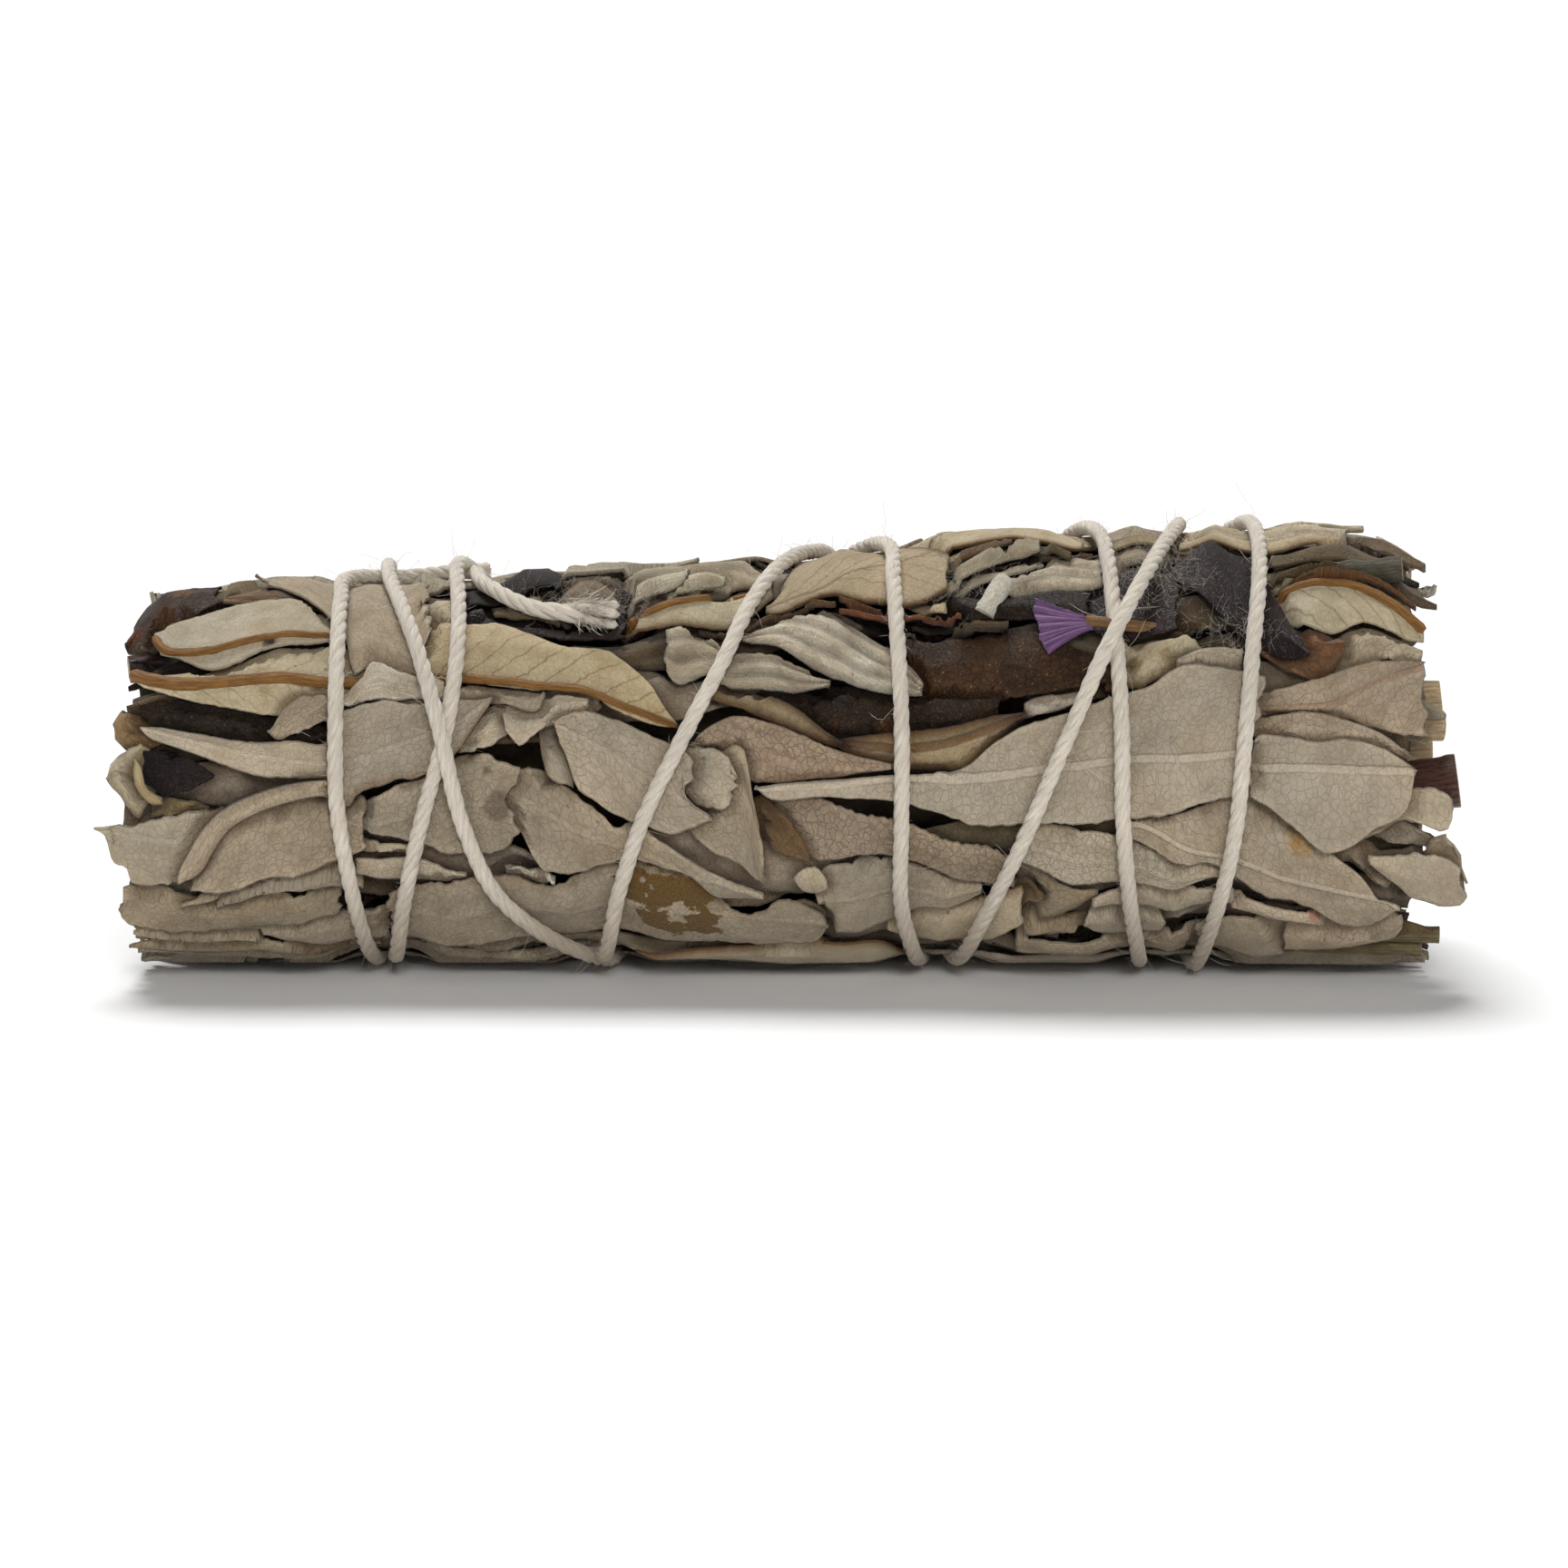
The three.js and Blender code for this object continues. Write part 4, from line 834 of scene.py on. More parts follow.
# The leaves seen from the front, the outermost first, by their edges in the view
frontLeaves = [
    seenLeaf("long_pale_leaf", "pale",
        "-2.2,12.9 0.4,13.2 3.1,13.4 5.8,13.6 8.2,13.7 11.2,13.8 13.4,14.3 15.3,15.9 17.2,17.1 21.4,18.6 "
        "25.8,20.1 27.1,20.4 29.5,21.7 32.8,21.8 35.8,21.1",
        "-2.2,12.9 -0.9,12 3.1,12.2 6.3,11.9 9.3,11.4 11.4,10.8 14.7,10 18.6,9.9 21.3,10 26.4,10.4 "
        "30.3,11.4 34.6,12.2",
        rib="-2.2,12.9 3.1,13.2 8.2,13.5 13.4,13.5 21.3,14.3 25.5,14.8 32.8,15.1 35.8,15.3",
        tint=(0.93, 0.92, 0.9), arch=0.5, ribRise=0.12, ribTan=-0.8, ribWide=0.5, lowCurl=0.35,
        topCurl=0.15,
        right=[(0, 0), (0.12, 0.3), (0.2, 0.9), (0.3, 1.3), (0.42, 1), (0.6, 0.4), (0.8, 0), (1, -0.2)],
        torn=0.12),
    seenLeaf("taupe_strip_right", "taupe",
        "29.1,22.2 30.3,22.7 32.2,23.2 34.1,23.3",
        "29.1,21.4 30.7,21.8 32.8,21.7 34.1,21.6",
        arch=0.2),
    seenLeaf("front_leaf_right", "pale",
        "34.6,14.3 35,16.6 37.4,16.6 39.4,16.2 41.8,16.4 44.2,15.8 46.7,14.3",
        "34.6,12 36.1,11.1 38.1,9.7 40.1,8.2 42.1,8.6 43.6,9.7 46,11.1 46.7,13.9",
        rib="34.6,14.2 38.1,14.3 42.1,14.2 46.7,14",
        arch=0.5, ribTan=-0.8, ribWide=0.45, ribRise=0.15, topCurl=0.1, lowCurl=0.3,
        tint=(0.9, 0.88, 0.85)),
    seenLeaf("oval_leaf_right", "taupe",
        "34.6,18 37,18.3 38.8,18.4 41.2,17.9 44.2,16.8 46.4,15.2",
        "34.6,16.6 37.4,16.4 39.4,16 41.8,16.3 44.2,15.7 46.4,14.8",
        arch=0.3, topCurl=0.4, tint=(1.05, 1, 0.95)),
    seenLeaf("pinkish_leaf_right", "taupe",
        "34.6,19.9 37.4,20.3 40.4,21.1 43.6,22 47.3,22.1",
        "34.6,18.2 38.8,18.3 41.2,17.9 44.2,17 47.6,16.6",
        rib="34.6,18.7 40.4,18.8 43.5,20.3 47.3,21.7",
        arch=0.5, ribTan=0.5, ribWide=0.5, ribRise=0.25, torn=0.15, tint=(1.02, 0.94, 0.87), topCurl=0.2),
    seenLeaf("round_leaf", "pale",
        "-17,17.6 -16.3,18.2 -15.3,18.4 -12.5,17.8 -9.9,16.7 -8.1,15.9 -7,14.8",
        "-17,17.3 -16.6,16 -16,14.7 -15.2,12.7 -14.1,12 -12.4,10.6 -10.7,9.9 -8.6,9.3 -6.9,9.9 -5.2,10.5",
        rib="-17,17.4 -12.4,15.3 -8.3,12.7 -5.2,10.6",
        arch=0.6, ribTan=-0.3, ribRise=0.15, net=1.3, torn=0.12, topCurl=0.2, lowCurl=0.3,
        tint=(0.93, 0.9, 0.86),
        right=[(0, 0), (0.12, 0.1), (0.3, 1.1), (0.4, 1.7), (0.55, 1.5), (0.65, 0.5), (0.8, 0.2),
            (1, -0.2)]),
    seenLeaf("pale_leaf_left", "pale",
        "-33.1,18.5 -31.9,18.9 -30.7,19.1 -26.8,19.2 -23.7,19.5 -21.6,19.4",
        "-33.1,11.1 -32.2,11.4 -31.8,12.2 -29,13.3 -26.6,13.6 -25.2,14.5 -24.2,15.5 -23.4,16.7 -22.5,18 "
        "-21.6,19.1",
        rib="-33.1,14.5 -32.5,14.7 -29.2,15.7 -26,16.9 -21.6,19.2",
        arch=0.5, ribTan=-0.3, ribRise=0.18, lowBrown=0.7, torn=0.15, net=1.2, tint=(0.92, 0.9, 0.88)),
    seenLeaf("grey_fragment_left", "woolly",
        "-33.1,19.5 -31.3,21.3 -30.7,22.2 -28.5,21.5 -26.5,21.3 -25.2,20.8",
        "-33.1,19 -30.7,19.2 -29.1,19.4 -27.2,19.5 -25.8,19.5 -25.2,19.8",
        cell=0.26, arch=0.3, topCurl=0.4, torn=0.3, tint=(0.98, 0.96, 0.95)),
    seenLeaf("flat_leaf_top_left", "taupe",
        "-39.1,28.1 -37.3,28.5 -34.9,28.7 -32.4,28.7 -29.9,28.5 -26.5,28.1",
        "-39.1,27.9 -36.6,27.1 -34.6,26.5 -32.4,24.1 -32,21.5 -30.7,22.1 -29.2,21.4 -27.7,21.3 -26.5,24.8",
        arch=0.4, torn=0.2, nicks=0.12, tint=(1.15, 1.1, 1.02)),
    seenLeaf("cream_veined_leaf", "cream",
        "-29.5,24.1 -28.2,24.9 -26.8,25.3 -23.5,25.3 -20.4,24.8 -16.5,23.2 -13.1,22.8 -11.8,22 -10.8,21.2 "
        "-9.9,20.3 -8.9,18.8 -7.9,17.6",
        "-29.5,21.3 -26.5,21.1 -23.8,20.9 -20.5,20.1 -18.2,19.8 -15.7,19.9 -14.2,19.5 -12.5,18.4 "
        "-9.9,17.5 -7.9,17.3",
        rib="-29.5,21.5 -23.8,21.1 -21.1,20.6 -18.2,20.1 -15.1,19.9 -11.7,18.6 -7.9,17.4",
        arch=0.6, ribTube=(0.42, 0.2), ribTan=0.5, ribWide=0.7, ribRise=0.1, lowBrown=0.3, vein=1,
        topCurl=0.15, tint=(0.98, 0.93, 0.8)),
    seenLeaf("grey_underside_left", "taupe",
        "-29.5,21.3 -26.5,21.1 -23.8,20.9 -20.5,20.1 -17.8,19.7",
        "-29.5,19.2 -26.8,19.2 -23.7,19.4 -21.8,19.2 -18.3,18.4 -17.8,19.4",
        arch=0.1, tint=(0.92, 0.9, 0.88)),
    seenLeaf("torn_step_left", "pale",
        "-30.7,21.3 -29.5,21.7 -27.9,21.3 -26.5,21 -25.2,20.6 -23.7,20.1",
        "-30.7,19.4 -29.5,19.2 -27.9,19.2 -26.5,19.4 -25.2,19.5 -23.7,19.5",
        nicks=0.14, arch=0.3, torn=0.12, topPale=0.8, topCurl=0.45, net=1.3, tint=(0.95, 0.93, 0.9)),
    seenLeaf("torn_tip_left", "pale",
        "-20.7,19 -19.1,19.2 -17.8,19.4 -16.1,19.5 -14.5,19.2",
        "-20.7,17 -19.7,15.9 -18.4,16.8 -17,17.6 -14.5,18.6",
        arch=0.4, nicks=0.12, torn=0.12, topPale=0.8, tint=(0.98, 0.96, 0.92)),
    seenLeaf("fuzzy_triangle", "woolly",
        "-24.2,15.9 -23.2,17.7 -21.6,19.4 -19.8,19 -18.3,18.4",
        "-24.2,15.4 -23.7,15.5 -21.7,16 -19.7,17.2 -18.3,18.2",
        cell=0.26, arch=0.2, torn=0.25, tint=(1.02, 0.98, 0.93)),
    seenLeaf("rolled_rim", "taupe",
        "-45,6.5 -44.3,7.9 -43.1,9.8 -41.7,11.2 -40,12.1 -37.1,13 -33.9,13.3 -32.6,12.9",
        "-44.7,5.8 -43.2,6.6 -42.3,8.1 -41.2,9.6 -39.3,10.8 -37.1,11.6 -33.9,12.1 -32.6,11.8",
        arch=1.1, topCurl=0.1, lowCurl=-0.2, depth=0.55, nicks=0.03, tint=(1.14, 1.1, 1.03)),
    seenLeaf("rolled_rim_leaf", "taupe",
        "-43.9,5.8 -42.5,7.9 -41.3,9.6 -39.3,11 -36.9,12 -33.7,12.4 -31.2,12",
        "-43.9,5.5 -42,5.4 -40.2,5.7 -38.1,6.5 -35.9,6.5 -33.9,6.9 -31.2,7.9",
        arch=0.2, lowCurl=0.5, lowPale=0.7, torn=0.1, tint=(0.98, 0.94, 0.88)),
    seenLeaf("broad_leaf_left_low", "pale",
        "-51.1,10 -50.1,10 -47.9,10.2 -45.3,10.7 -42,11.2 -41.3,11 -40.5,10.3",
        "-51.1,9.8 -50.3,8.3 -49.8,7.5 -48.7,6.9 -48.4,5.9 -46.6,5.7 -45,5.8 -42,6.2 -41.3,7.6 -40.5,9",
        rib="-51.1,9.9 -45.4,9 -40.5,9.6",
        nicks=0.14, arch=0.4, torn=0.3, ribTan=-0.3, left=[(0, 0.6), (0.3, 1.2), (0.6, 0.5), (1, 0)],
        tint=(0.88, 0.85, 0.79)),
    seenLeaf("twisted_leaf", "taupe",
        "-33.9,10.3 -31.8,11.1 -28.9,12.9 -26.6,13.5 -24.2,15.2 -21.9,15.3 -21.3,14.8 -19.6,14.3",
        "-33.9,9 -32,9.5 -28.1,8.7 -26.5,8.3 -25,7.8 -21.8,7.7 -20.3,7.9",
        rib="-33.9,9.6 -29.2,10.3 -24.5,11.3 -19.9,11.6",
        arch=0.5, torn=0.1, nicks=0.12, ribTan=-0.3, topPale=0.8,
        right=[(0, 0.9), (0.15, 0.2), (0.3, -0.3), (0.5, 0.2), (0.65, 0.9), (0.8, 0.1), (1, 0)],
        spots=[(-21.3, 11.2, 0.87, (0.45, 0.4, 0.38), 0.8), (-22.1, 14, 0.27, (0.35, 0.3, 0.25), 0.8)],
        tint=(0.97, 0.95, 0.9)),
    seenLeaf("low_lobe_left", "taupe",
        "-44.7,4.6 -42.7,5.2 -41.1,6.3 -39.2,7.3 -37.3,8.3 -35.3,9 -32,9.5",
        "-44.7,4.4 -42.7,4.6 -40.2,5.7 -38.1,6.6 -35.9,6.5 -33.9,6.5 -32,7.3",
        arch=0.3, tint=(0.9, 0.86, 0.8)),
    seenLeaf("folded_leaf_shade", "pale",
        "-18.3,18.8 -17.4,18.4 -17,17.9 -16.3,16.6 -15.6,14",
        "-18.3,18.2 -18,15.3 -17.8,14 -17,13.3 -15.6,12.8",
        arch=0.2, tint=(0.86, 0.84, 0.8)),
    seenLeaf("rounded_leaf_mid", "pale",
        "-20.1,19.1 -19.1,19.5 -17.8,20 -16.2,20.4 -14.7,20.1 -13.7,19.5",
        "-20.1,18.8 -18.3,18.2 -17,17.6 -15.3,18.3 -14.4,18.4 -13.7,19",
        arch=0.4, topCurl=0.3, tint=(1.02, 1, 0.95)),
    seenLeaf("taupe_leaf_low", "taupe",
        "-20.5,14.3 -18.4,14.1 -16.5,13.1 -14.8,11.9 -13.4,10.8 -12.5,9.7 -11.2,9.9 -9.9,9.2 -7.3,7.8 "
        "-4.8,6.5 -1.5,5.4",
        "-20.5,10.3 -19.2,8.9 -17.8,6.9 -14.9,6.6 -13.5,6.9 -11.7,7.3 -9.7,6.9 -7.3,6.7 -4.8,4.9 -1.5,5",
        rib="-20.5,12.7 -16.4,10.3 -12.4,8.3 -1.5,5.2",
        nicks=0.14, arch=0.5, torn=0.15, topPale=0.8, ribTan=-0.3, tint=(0.95, 0.93, 0.88)),
    seenLeaf("torn_flap_middle", "pale",
        "-7.5,15.6 -6.3,15.8 -5,15.6 -3.9,14.9 -3.5,13.9",
        "-7.5,14 -7,11.7 -6,11.3 -4.6,11.2 -3.5,12.2",
        arch=0.5, right=[(0, 0.3), (0.2, 0.6), (0.4, -0.2), (0.6, 0.3), (0.8, -0.1), (1, 0.4)], torn=0.2,
        topPale=0.8, tint=(1, 0.98, 0.93)),
    seenLeaf("torn_end_middle", "taupe",
        "-8.7,14 -7.5,15.3 -6,15.6 -5,15.4 -3.8,15.9 -3.1,15.7 -2.6,13.9 -2.1,10.6 -1.5,6.6",
        "-8.7,10.3 -7,9.4 -5,8.1 -3.3,7.3 -2.3,6.3 -1.5,5.7",
        nicks=0.14, arch=0.25, torn=0.12, topPale=0.7, tint=(0.97, 0.94, 0.88)),
    seenLeaf("stained_leaf", "taupe",
        "-29.2,4.6 -27.5,5.2 -22.9,5.9 -20.4,5.9 -17.2,5.6 -14.9,6.4 -13.5,6.9 -11.7,7 -8.9,6.6 -5.5,6.6 "
        "-5.1,5.7 -4.4,4.3 -3.3,3.7 -1.7,3.8 -0.5,4.5 0.5,4.6 1.7,4.2 3.1,3.2",
        "-29.2,1.5 -25.8,1.3 -22.9,1.5 -17.1,1.5 -12.4,1.9 -8.9,1.7 -4.8,1.6 -0.3,1.5 2.6,1.8 3.1,2.6",
        rib="-29.2,3.1 -17.8,3.6 -9,3.9 3.1,3",
        arch=0.5, torn=0.15, ribTan=-0.2, tint=(0.98, 0.96, 0.92), cell=0.25, nicks=0.14, topBrown=0.3,
        stains=[(-11, 5.7, 2.96), (-8.7, 5.2, 3.36), (-6.5, 5, 3.23), (-9.6, 3.2, 2.56), (-6, 3.1, 2.69),
            (-11.7, 6.1, 2.15), (-8, 2.7, 1.75)]),
    seenLeaf("low_pale_strip", "pale",
        "-31.8,7.3 -29.2,7.4 -26.5,7.1 -23.6,6.2",
        "-31.8,6.1 -29.2,5.8 -26.5,5.4 -23.6,5.7",
        arch=0.3, topCurl=0.3, tint=(1, 0.98, 0.92)),
    seenLeaf("yellow_inner_leaf", "cream",
        "-32.2,8.6 -29.9,8.6 -27.9,8.3",
        "-32.2,7.7 -29.9,7.5 -27.9,7.3",
        arch=0.1, vein=0),
    seenLeaf("crinkled_knob", "woolly",
        "-20.7,6.3 -19.8,6.9 -18.4,6.9 -17,6.2",
        "-20.7,5.8 -19.4,5.3 -18.1,5.2 -17,5.7",
        cell=0.26, arch=0.7, torn=0.3),
    seenLeaf("brown_edged_leaf", "cream",
        "-11,0.8 -7.3,1.1 -2.2,1.3 3.1,1.5 6.9,1.2 9,0",
        "-11,0.7 -7.3,0.5 -2.2,0.2 3.1,-0.1 7.5,-0.3 9,-0.7",
        node="bottom_leaf_centre", arch=0.3, topBrown=1, lowBrown=0.2, vein=0),
    seenLeaf("curled_end_low", "taupe",
        "0.3,3.7 1.1,4.4 2,4.2 3.1,3.4",
        "0.3,3.2 1.3,2.6 2.4,2 3.1,2.6",
        arch=0.6, topCurl=0.4, tint=(1.1, 1.08, 1.05)),
    seenLeaf("pink_grey_leaf", "taupe",
        "-7.3,15.9 -6,17 -4.4,18 -2.2,17.9 1,16.8 4.2,15.5 8.1,14.5",
        "-7.3,15.6 -5.7,14.7 -4.3,13.9 -2.2,13.2 1.1,13.3 5.1,13.7 8.1,14.1",
        rib="-7.3,15.7 -2.2,15.6 2.4,14.8 8.1,14.3",
        arch=0.5, net=1.9, torn=0.1, topCurl=0.25, ribTan=0.25, ribWide=0.25, tint=(1.05, 0.94, 0.88)),
    seenLeaf("brown_torn_piece", "tan",
        "-2.6,11.7 -1.1,12 -0.3,11.3 1.1,9.6 1.9,7.9",
        "-2.6,10.3 -2.2,9.2 -0.9,8.3 0.1,7.9 1.9,7.5",
        nicks=0.14, arch=0.3, torn=0.35, topCurl=0.3, topPale=1, tint=(0.85, 0.75, 0.65)),
    seenLeaf("pale_lobe_low", "pale",
        "0.8,6.6 1.7,7.1 2.6,7 3.2,6.2",
        "0.8,6.2 1.4,5.4 2.4,5.2 3.2,5.5",
        arch=0.4, tint=(1, 0.97, 0.9)),
    seenLeaf("mauve_leaf", "taupe",
        "-1.6,11.4 -0.3,12.1 1,12.3 2.3,11.9 5.1,11.1 8,10.1 11.8,9.1 16,7.7 17.1,6.6",
        "-1.6,11.1 1,8.8 2.1,7.7 3.1,7.7 8.2,7.5 12.1,6.3 15.3,5.4 17.1,5",
        rib="-1.6,11.2 5.1,9.6 11.8,7.7 17.1,5.8",
        net=1.9, arch=0.5, torn=0.08, wave=0.1, scallop=0.16, topPale=0.6, topCurl=0.35, ribTan=0.12,
        ribWide=0.25, tint=(0.86, 0.79, 0.73)),
    seenLeaf("pale_leaf_low", "pale",
        "2.4,6.3 3.1,7.1 5.5,7.3 8.2,7.1 11.8,6.2 14.7,5.4",
        "2.4,3.1 2.8,2.4 5.1,2.3 7.9,2.6 10.5,3.7 13.4,4.1 14.7,4.6",
        rib="2.4,4.6 8.2,4.9 14.7,5",
        arch=0.5, torn=0.1, ribTan=-0.3, tint=(0.8, 0.78, 0.74)),
    seenLeaf("cream_leaf_low", "cream",
        "7.7,3 9.2,3.8 11.2,4 13.4,4 15.3,4.4 17.6,5.2",
        "7.7,1.9 9.2,1.3 10.8,1.2 13.4,1.1 15.3,1.2 17.6,2.6",
        rib="7.7,2.3 9.7,2.1 13.4,2.8 17.6,3.9",
        arch=0.4, topBrown=0.9, vein=0.3, tint=(1.05, 1.02, 1)),
    seenLeaf("brown_shreds", "tan",
        "15.1,4.6 16.4,5.5 18,5.6 19.2,5.1",
        "15.1,2 16.4,2.6 18,3.9 19.2,4.6",
        arch=0.3, torn=0.4, topCurl=0.4),
    seenLeaf("broad_leaf_right_low", "taupe",
        "25.5,10.1 28.7,10.6 32.2,11.7 34.5,12 36.1,11.2 38.2,9.6 40.1,8.2 41.8,7.1 43,6.1 43.9,4.9 "
        "45.6,4.5",
        "25.5,8.9 27.3,8.1 29,7.3 31.8,6.8 33.1,6.1 35.4,4.8 37.4,4.6 39.2,4 40.6,3.2 43,2.7 45.6,4.2",
        rib="25.5,9.7 26.4,9.9 31.6,7.7 37.4,6.3 45.6,4.4",
        arch=0.6, ribTan=-1, ribWide=0.45, ribRise=0.2, torn=0.12, topCurl=0.15, tint=(1.12, 1.1, 1.06),
        spots=[(38.4, 8.7, 0.67, (0.9, 0.72, 0.45), 0.9), (37.8, 9.2, 0.47, (0.9, 0.75, 0.5), 0.9)]),
    seenLeaf("veined_leaf_low", "pale",
        "17.2,9 18.3,9.8 21.3,9.7 24,9.2 25.8,8.6 28.7,7.4 31.8,6.7 33.1,6.1",
        "17.2,7.1 19.2,6.5 21.3,5.9 24.4,5.5 27.7,5.3 30.3,5.5 32,5.8 33.1,5.7",
        rib="17.2,8.2 22.6,7.4 28.7,6.2 33.1,5.9",
        arch=0.5, net=1.9, ribTan=-0.3, tint=(1.03, 1.02, 0.98)),
    seenLeaf("olive_leaf_low", "taupe",
        "17.1,6.9 18.6,6.6 21.1,5.6 23.3,5.2",
        "17.1,6.3 17.9,3.9 19.2,3.3 21.3,4 23.3,4.9",
        arch=0.4, lowBrown=0.7, tint=(0.8, 0.76, 0.66)),
    seenLeaf("small_leaf_low", "pale",
        "22.9,4.6 26.2,5.2 28.7,5.4 30.9,5 33.4,4.9",
        "22.9,3.9 26.2,3.7 28.7,3.7 30.9,3.8 33.4,3.9",
        arch=0.3, tint=(0.98, 0.96, 0.93)),
    seenLeaf("rounded_leaf_low", "pale",
        "22.3,3.2 22.7,3.6 24.6,3.8 26.4,3.7 27.3,3.5 28.2,2.9",
        "22.3,2.7 22.9,2.2 24.6,1.7 26.4,1.7 27.9,1.9 28.2,2.4",
        arch=0.6, topCurl=0.3, tint=(0.95, 0.93, 0.9)),
    seenLeaf("curled_edges_low", "taupe",
        "15.1,2.7 16.6,3.4 19.2,3.6 22.8,3.4",
        "15.1,1.7 16.6,1.9 19.2,2.2 22.8,2.4",
        arch=0.3, torn=0.3, topBrown=0.7, tint=(0.85, 0.8, 0.72)),
    seenLeaf("thin_leaf_low", "pale",
        "32,4.4 34.7,4.4 38.1,3.9 40.9,3.2",
        "32,3.5 35.4,3.4 38.1,3.1 40.9,2.8",
        arch=0.3, tint=(1.02, 0.98, 0.92),
        spots=[(39.6, 3.4, 0.27, (0.9, 0.45, 0.35), 0.9), (39, 3.6, 0.2, (0.9, 0.5, 0.4), 0.9)]),
    seenLeaf("pink_leaf_low", "taupe",
        "37.1,3 39.4,3.1 42.8,3.4 45.8,3.6",
        "37.1,1.1 40.1,1.1 43.6,1.5 45.2,2.1 45.8,2.8",
        node="bottom_leaf_right", arch=0.4, tint=(1.18, 1.1, 1.03)),
    seenLeaf("square_leaf_low", "pale",
        "30.7,2.3 32.2,2.6 35.4,3.2 37.4,3.1",
        "30.7,0.5 32.2,0.6 35.4,0.5 37.1,0.5",
        arch=0.3, torn=0.15, tint=(0.9, 0.86, 0.8)),
    seenLeaf("low_row_leaf", "taupe",
        "17.2,1.9 22.6,1.6 26.7,1.6 32.4,2.4",
        "17.2,0.9 22.6,0.7 26.7,0.5 32.4,0.5",
        arch=0.4, tint=(0.9, 0.87, 0.82)),
    seenLeaf("pale_spear_leaf", "pale",
        "-47.7,17.2 -46.2,17.2 -42.7,16.6 -40.2,16.2 -36.3,16.2 -33.1,15.9",
        "-47.7,17 -47,16.4 -45,15.7 -42.7,14.9 -40.6,14.1 -39,13.6 -35.9,13.5 -33.1,13.3",
        rib="-47.7,17.1 -42.7,15.9 -38,14.9 -33.1,14.5",
        arch=0.4, ribTan=-0.3, lowCurl=0.1, topCurl=0.1, tint=(1.08, 1.05, 1)),
    seenLeaf("torn_fragment_left", "taupe",
        "-38.1,16.8 -37.1,18.4 -36.3,19.3 -35.5,19.9 -33.7,19.6 -32.8,19.4",
        "-38.1,16.7 -37.6,16.3 -36.3,16.6 -33.7,18 -32.8,18.4",
        nicks=0.14, arch=0.3, torn=0.4, tint=(1.02, 0.98, 0.93)),
    seenLeaf("curled_bit_left", "tan",
        "-38.8,14.3 -38.1,15.3 -37.3,15.4 -36.6,14.8",
        "-38.8,13.9 -38,13.3 -37.1,13.2 -36.6,13.9",
        arch=0.8, topCurl=0.5, spots=[(-37.6, 14.3, 0.4, (0.2, 0.16, 0.12), 0.9)]),
    seenLeaf("grey_leaf_left", "cream",
        "-46.6,23.9 -46,24.3 -45.3,24.6 -42.7,25.4 -40.2,26 -37.6,26.4 -34.5,26.6 -31.2,27.1",
        "-46.6,23.6 -46.4,22.7 -45,22.2 -42.5,21.3 -40.6,21.8 -38.9,22.6 -35.9,23.4 -33.4,24.1 -31.2,24.5",
        rib="-46.6,23.3 -45.4,22.6 -42.7,22.6 -40.2,23.2 -37.6,23.7 -33.7,24.4 -31.2,24.8",
        arch=0.35, ribTube=(0.36, 0.24), ribTan=0.8, ribWide=0.5, ribRise=0.1, lowPale=0.5, vein=0,
        tint=(0.93, 0.93, 0.95), spots=[(-38, 23.4, 0.47, (0.08, 0.06, 0.05), 1)]),
    seenLeaf("cream_leaf_left", "cream",
        "-48.3,20.9 -46.7,20.9 -44.6,21 -40.6,22.1 -37.6,23 -33.4,24 -31.2,24.3",
        "-48.3,20.5 -47.4,19.9 -46.6,19.7 -42.7,18.8 -37.2,18.2 -35.3,19 -33.7,19.8 -31.2,20.3",
        rib="-48.3,20.7 -44.7,20.1 -40.2,20.4 -36.6,20.7 -33.7,20.8 -31.2,20.9",
        arch=0.5, ribTube=(0.52, 0.38), ribTan=0.6, ribWide=0.9, ribRise=0.1, vein=0.6,
        tint=(1, 0.98, 0.92)),
    seenLeaf("thin_brown_rib_leaf", "tan",
        "-41.6,26.5 -39.3,27.1 -36.6,27.6 -34.3,27.6 -31.6,27.7",
        "-41.6,26.1 -39.3,26.2 -36.6,26.5 -34.3,26.8 -31.6,26.8",
        rib="-41.6,26.3 -38,26.8 -34.5,26.9 -31.6,27.1",
        arch=0.2, ribTan=0.9, ribWide=0.4, tint=(1.1, 1, 0.9)),
    seenLeaf("dark_curl_left", "dark",
        "-48.7,23.3 -48.1,24.5 -47.4,25.6 -46.2,26.6 -45,27.3 -43.5,27.6 -42,27.7",
        "-48.7,22.6 -47.4,22.5 -46.3,23.2 -45.5,24.2 -44.4,24.9 -43.2,25.6 -42,26.2",
        arch=0.8, torn=0.2, tint=(1.8, 1.6, 1.3),
        spots=[(-44.4, 26.5, 0.81, (4, 3.6, 2.6), 0.7), (-45.7, 25.2, 0.67, (3, 2.6, 2), 0.6),
            (-47.9, 23.6, 0.67, (3.2, 1.9, 1.2), 0.9)]),
    seenLeaf("olive_top_left", "olive",
        "-45,27.5 -43.5,27.7 -40.9,27.9 -38,28.1 -34.6,28.4",
        "-45,26.5 -43,26.2 -40.9,26.8 -38,27.2 -34.6,27.6",
        arch=0.5, torn=0.15, tint=(1, 0.9, 0.7), topBrown=0.6),
    seenLeaf("cream_sliver_top_left", "cream",
        "-43.2,26 -40.9,26.7 -38,27.1 -34.5,27.3",
        "-43.2,25.4 -40.9,26 -38,26.5 -34.5,26.9",
        arch=0.3, vein=0, topBrown=1, tint=(0.8, 0.78, 0.68)),
    seenLeaf("dark_leaf_left", "dark",
        "-47.7,18.7 -45.3,19.2 -42.7,19 -40.2,18.7 -36.9,18.2 -33.1,18",
        "-47.7,18 -46.4,17.2 -42.7,16.7 -40.2,16.2 -36.3,15.7 -33.1,15.6",
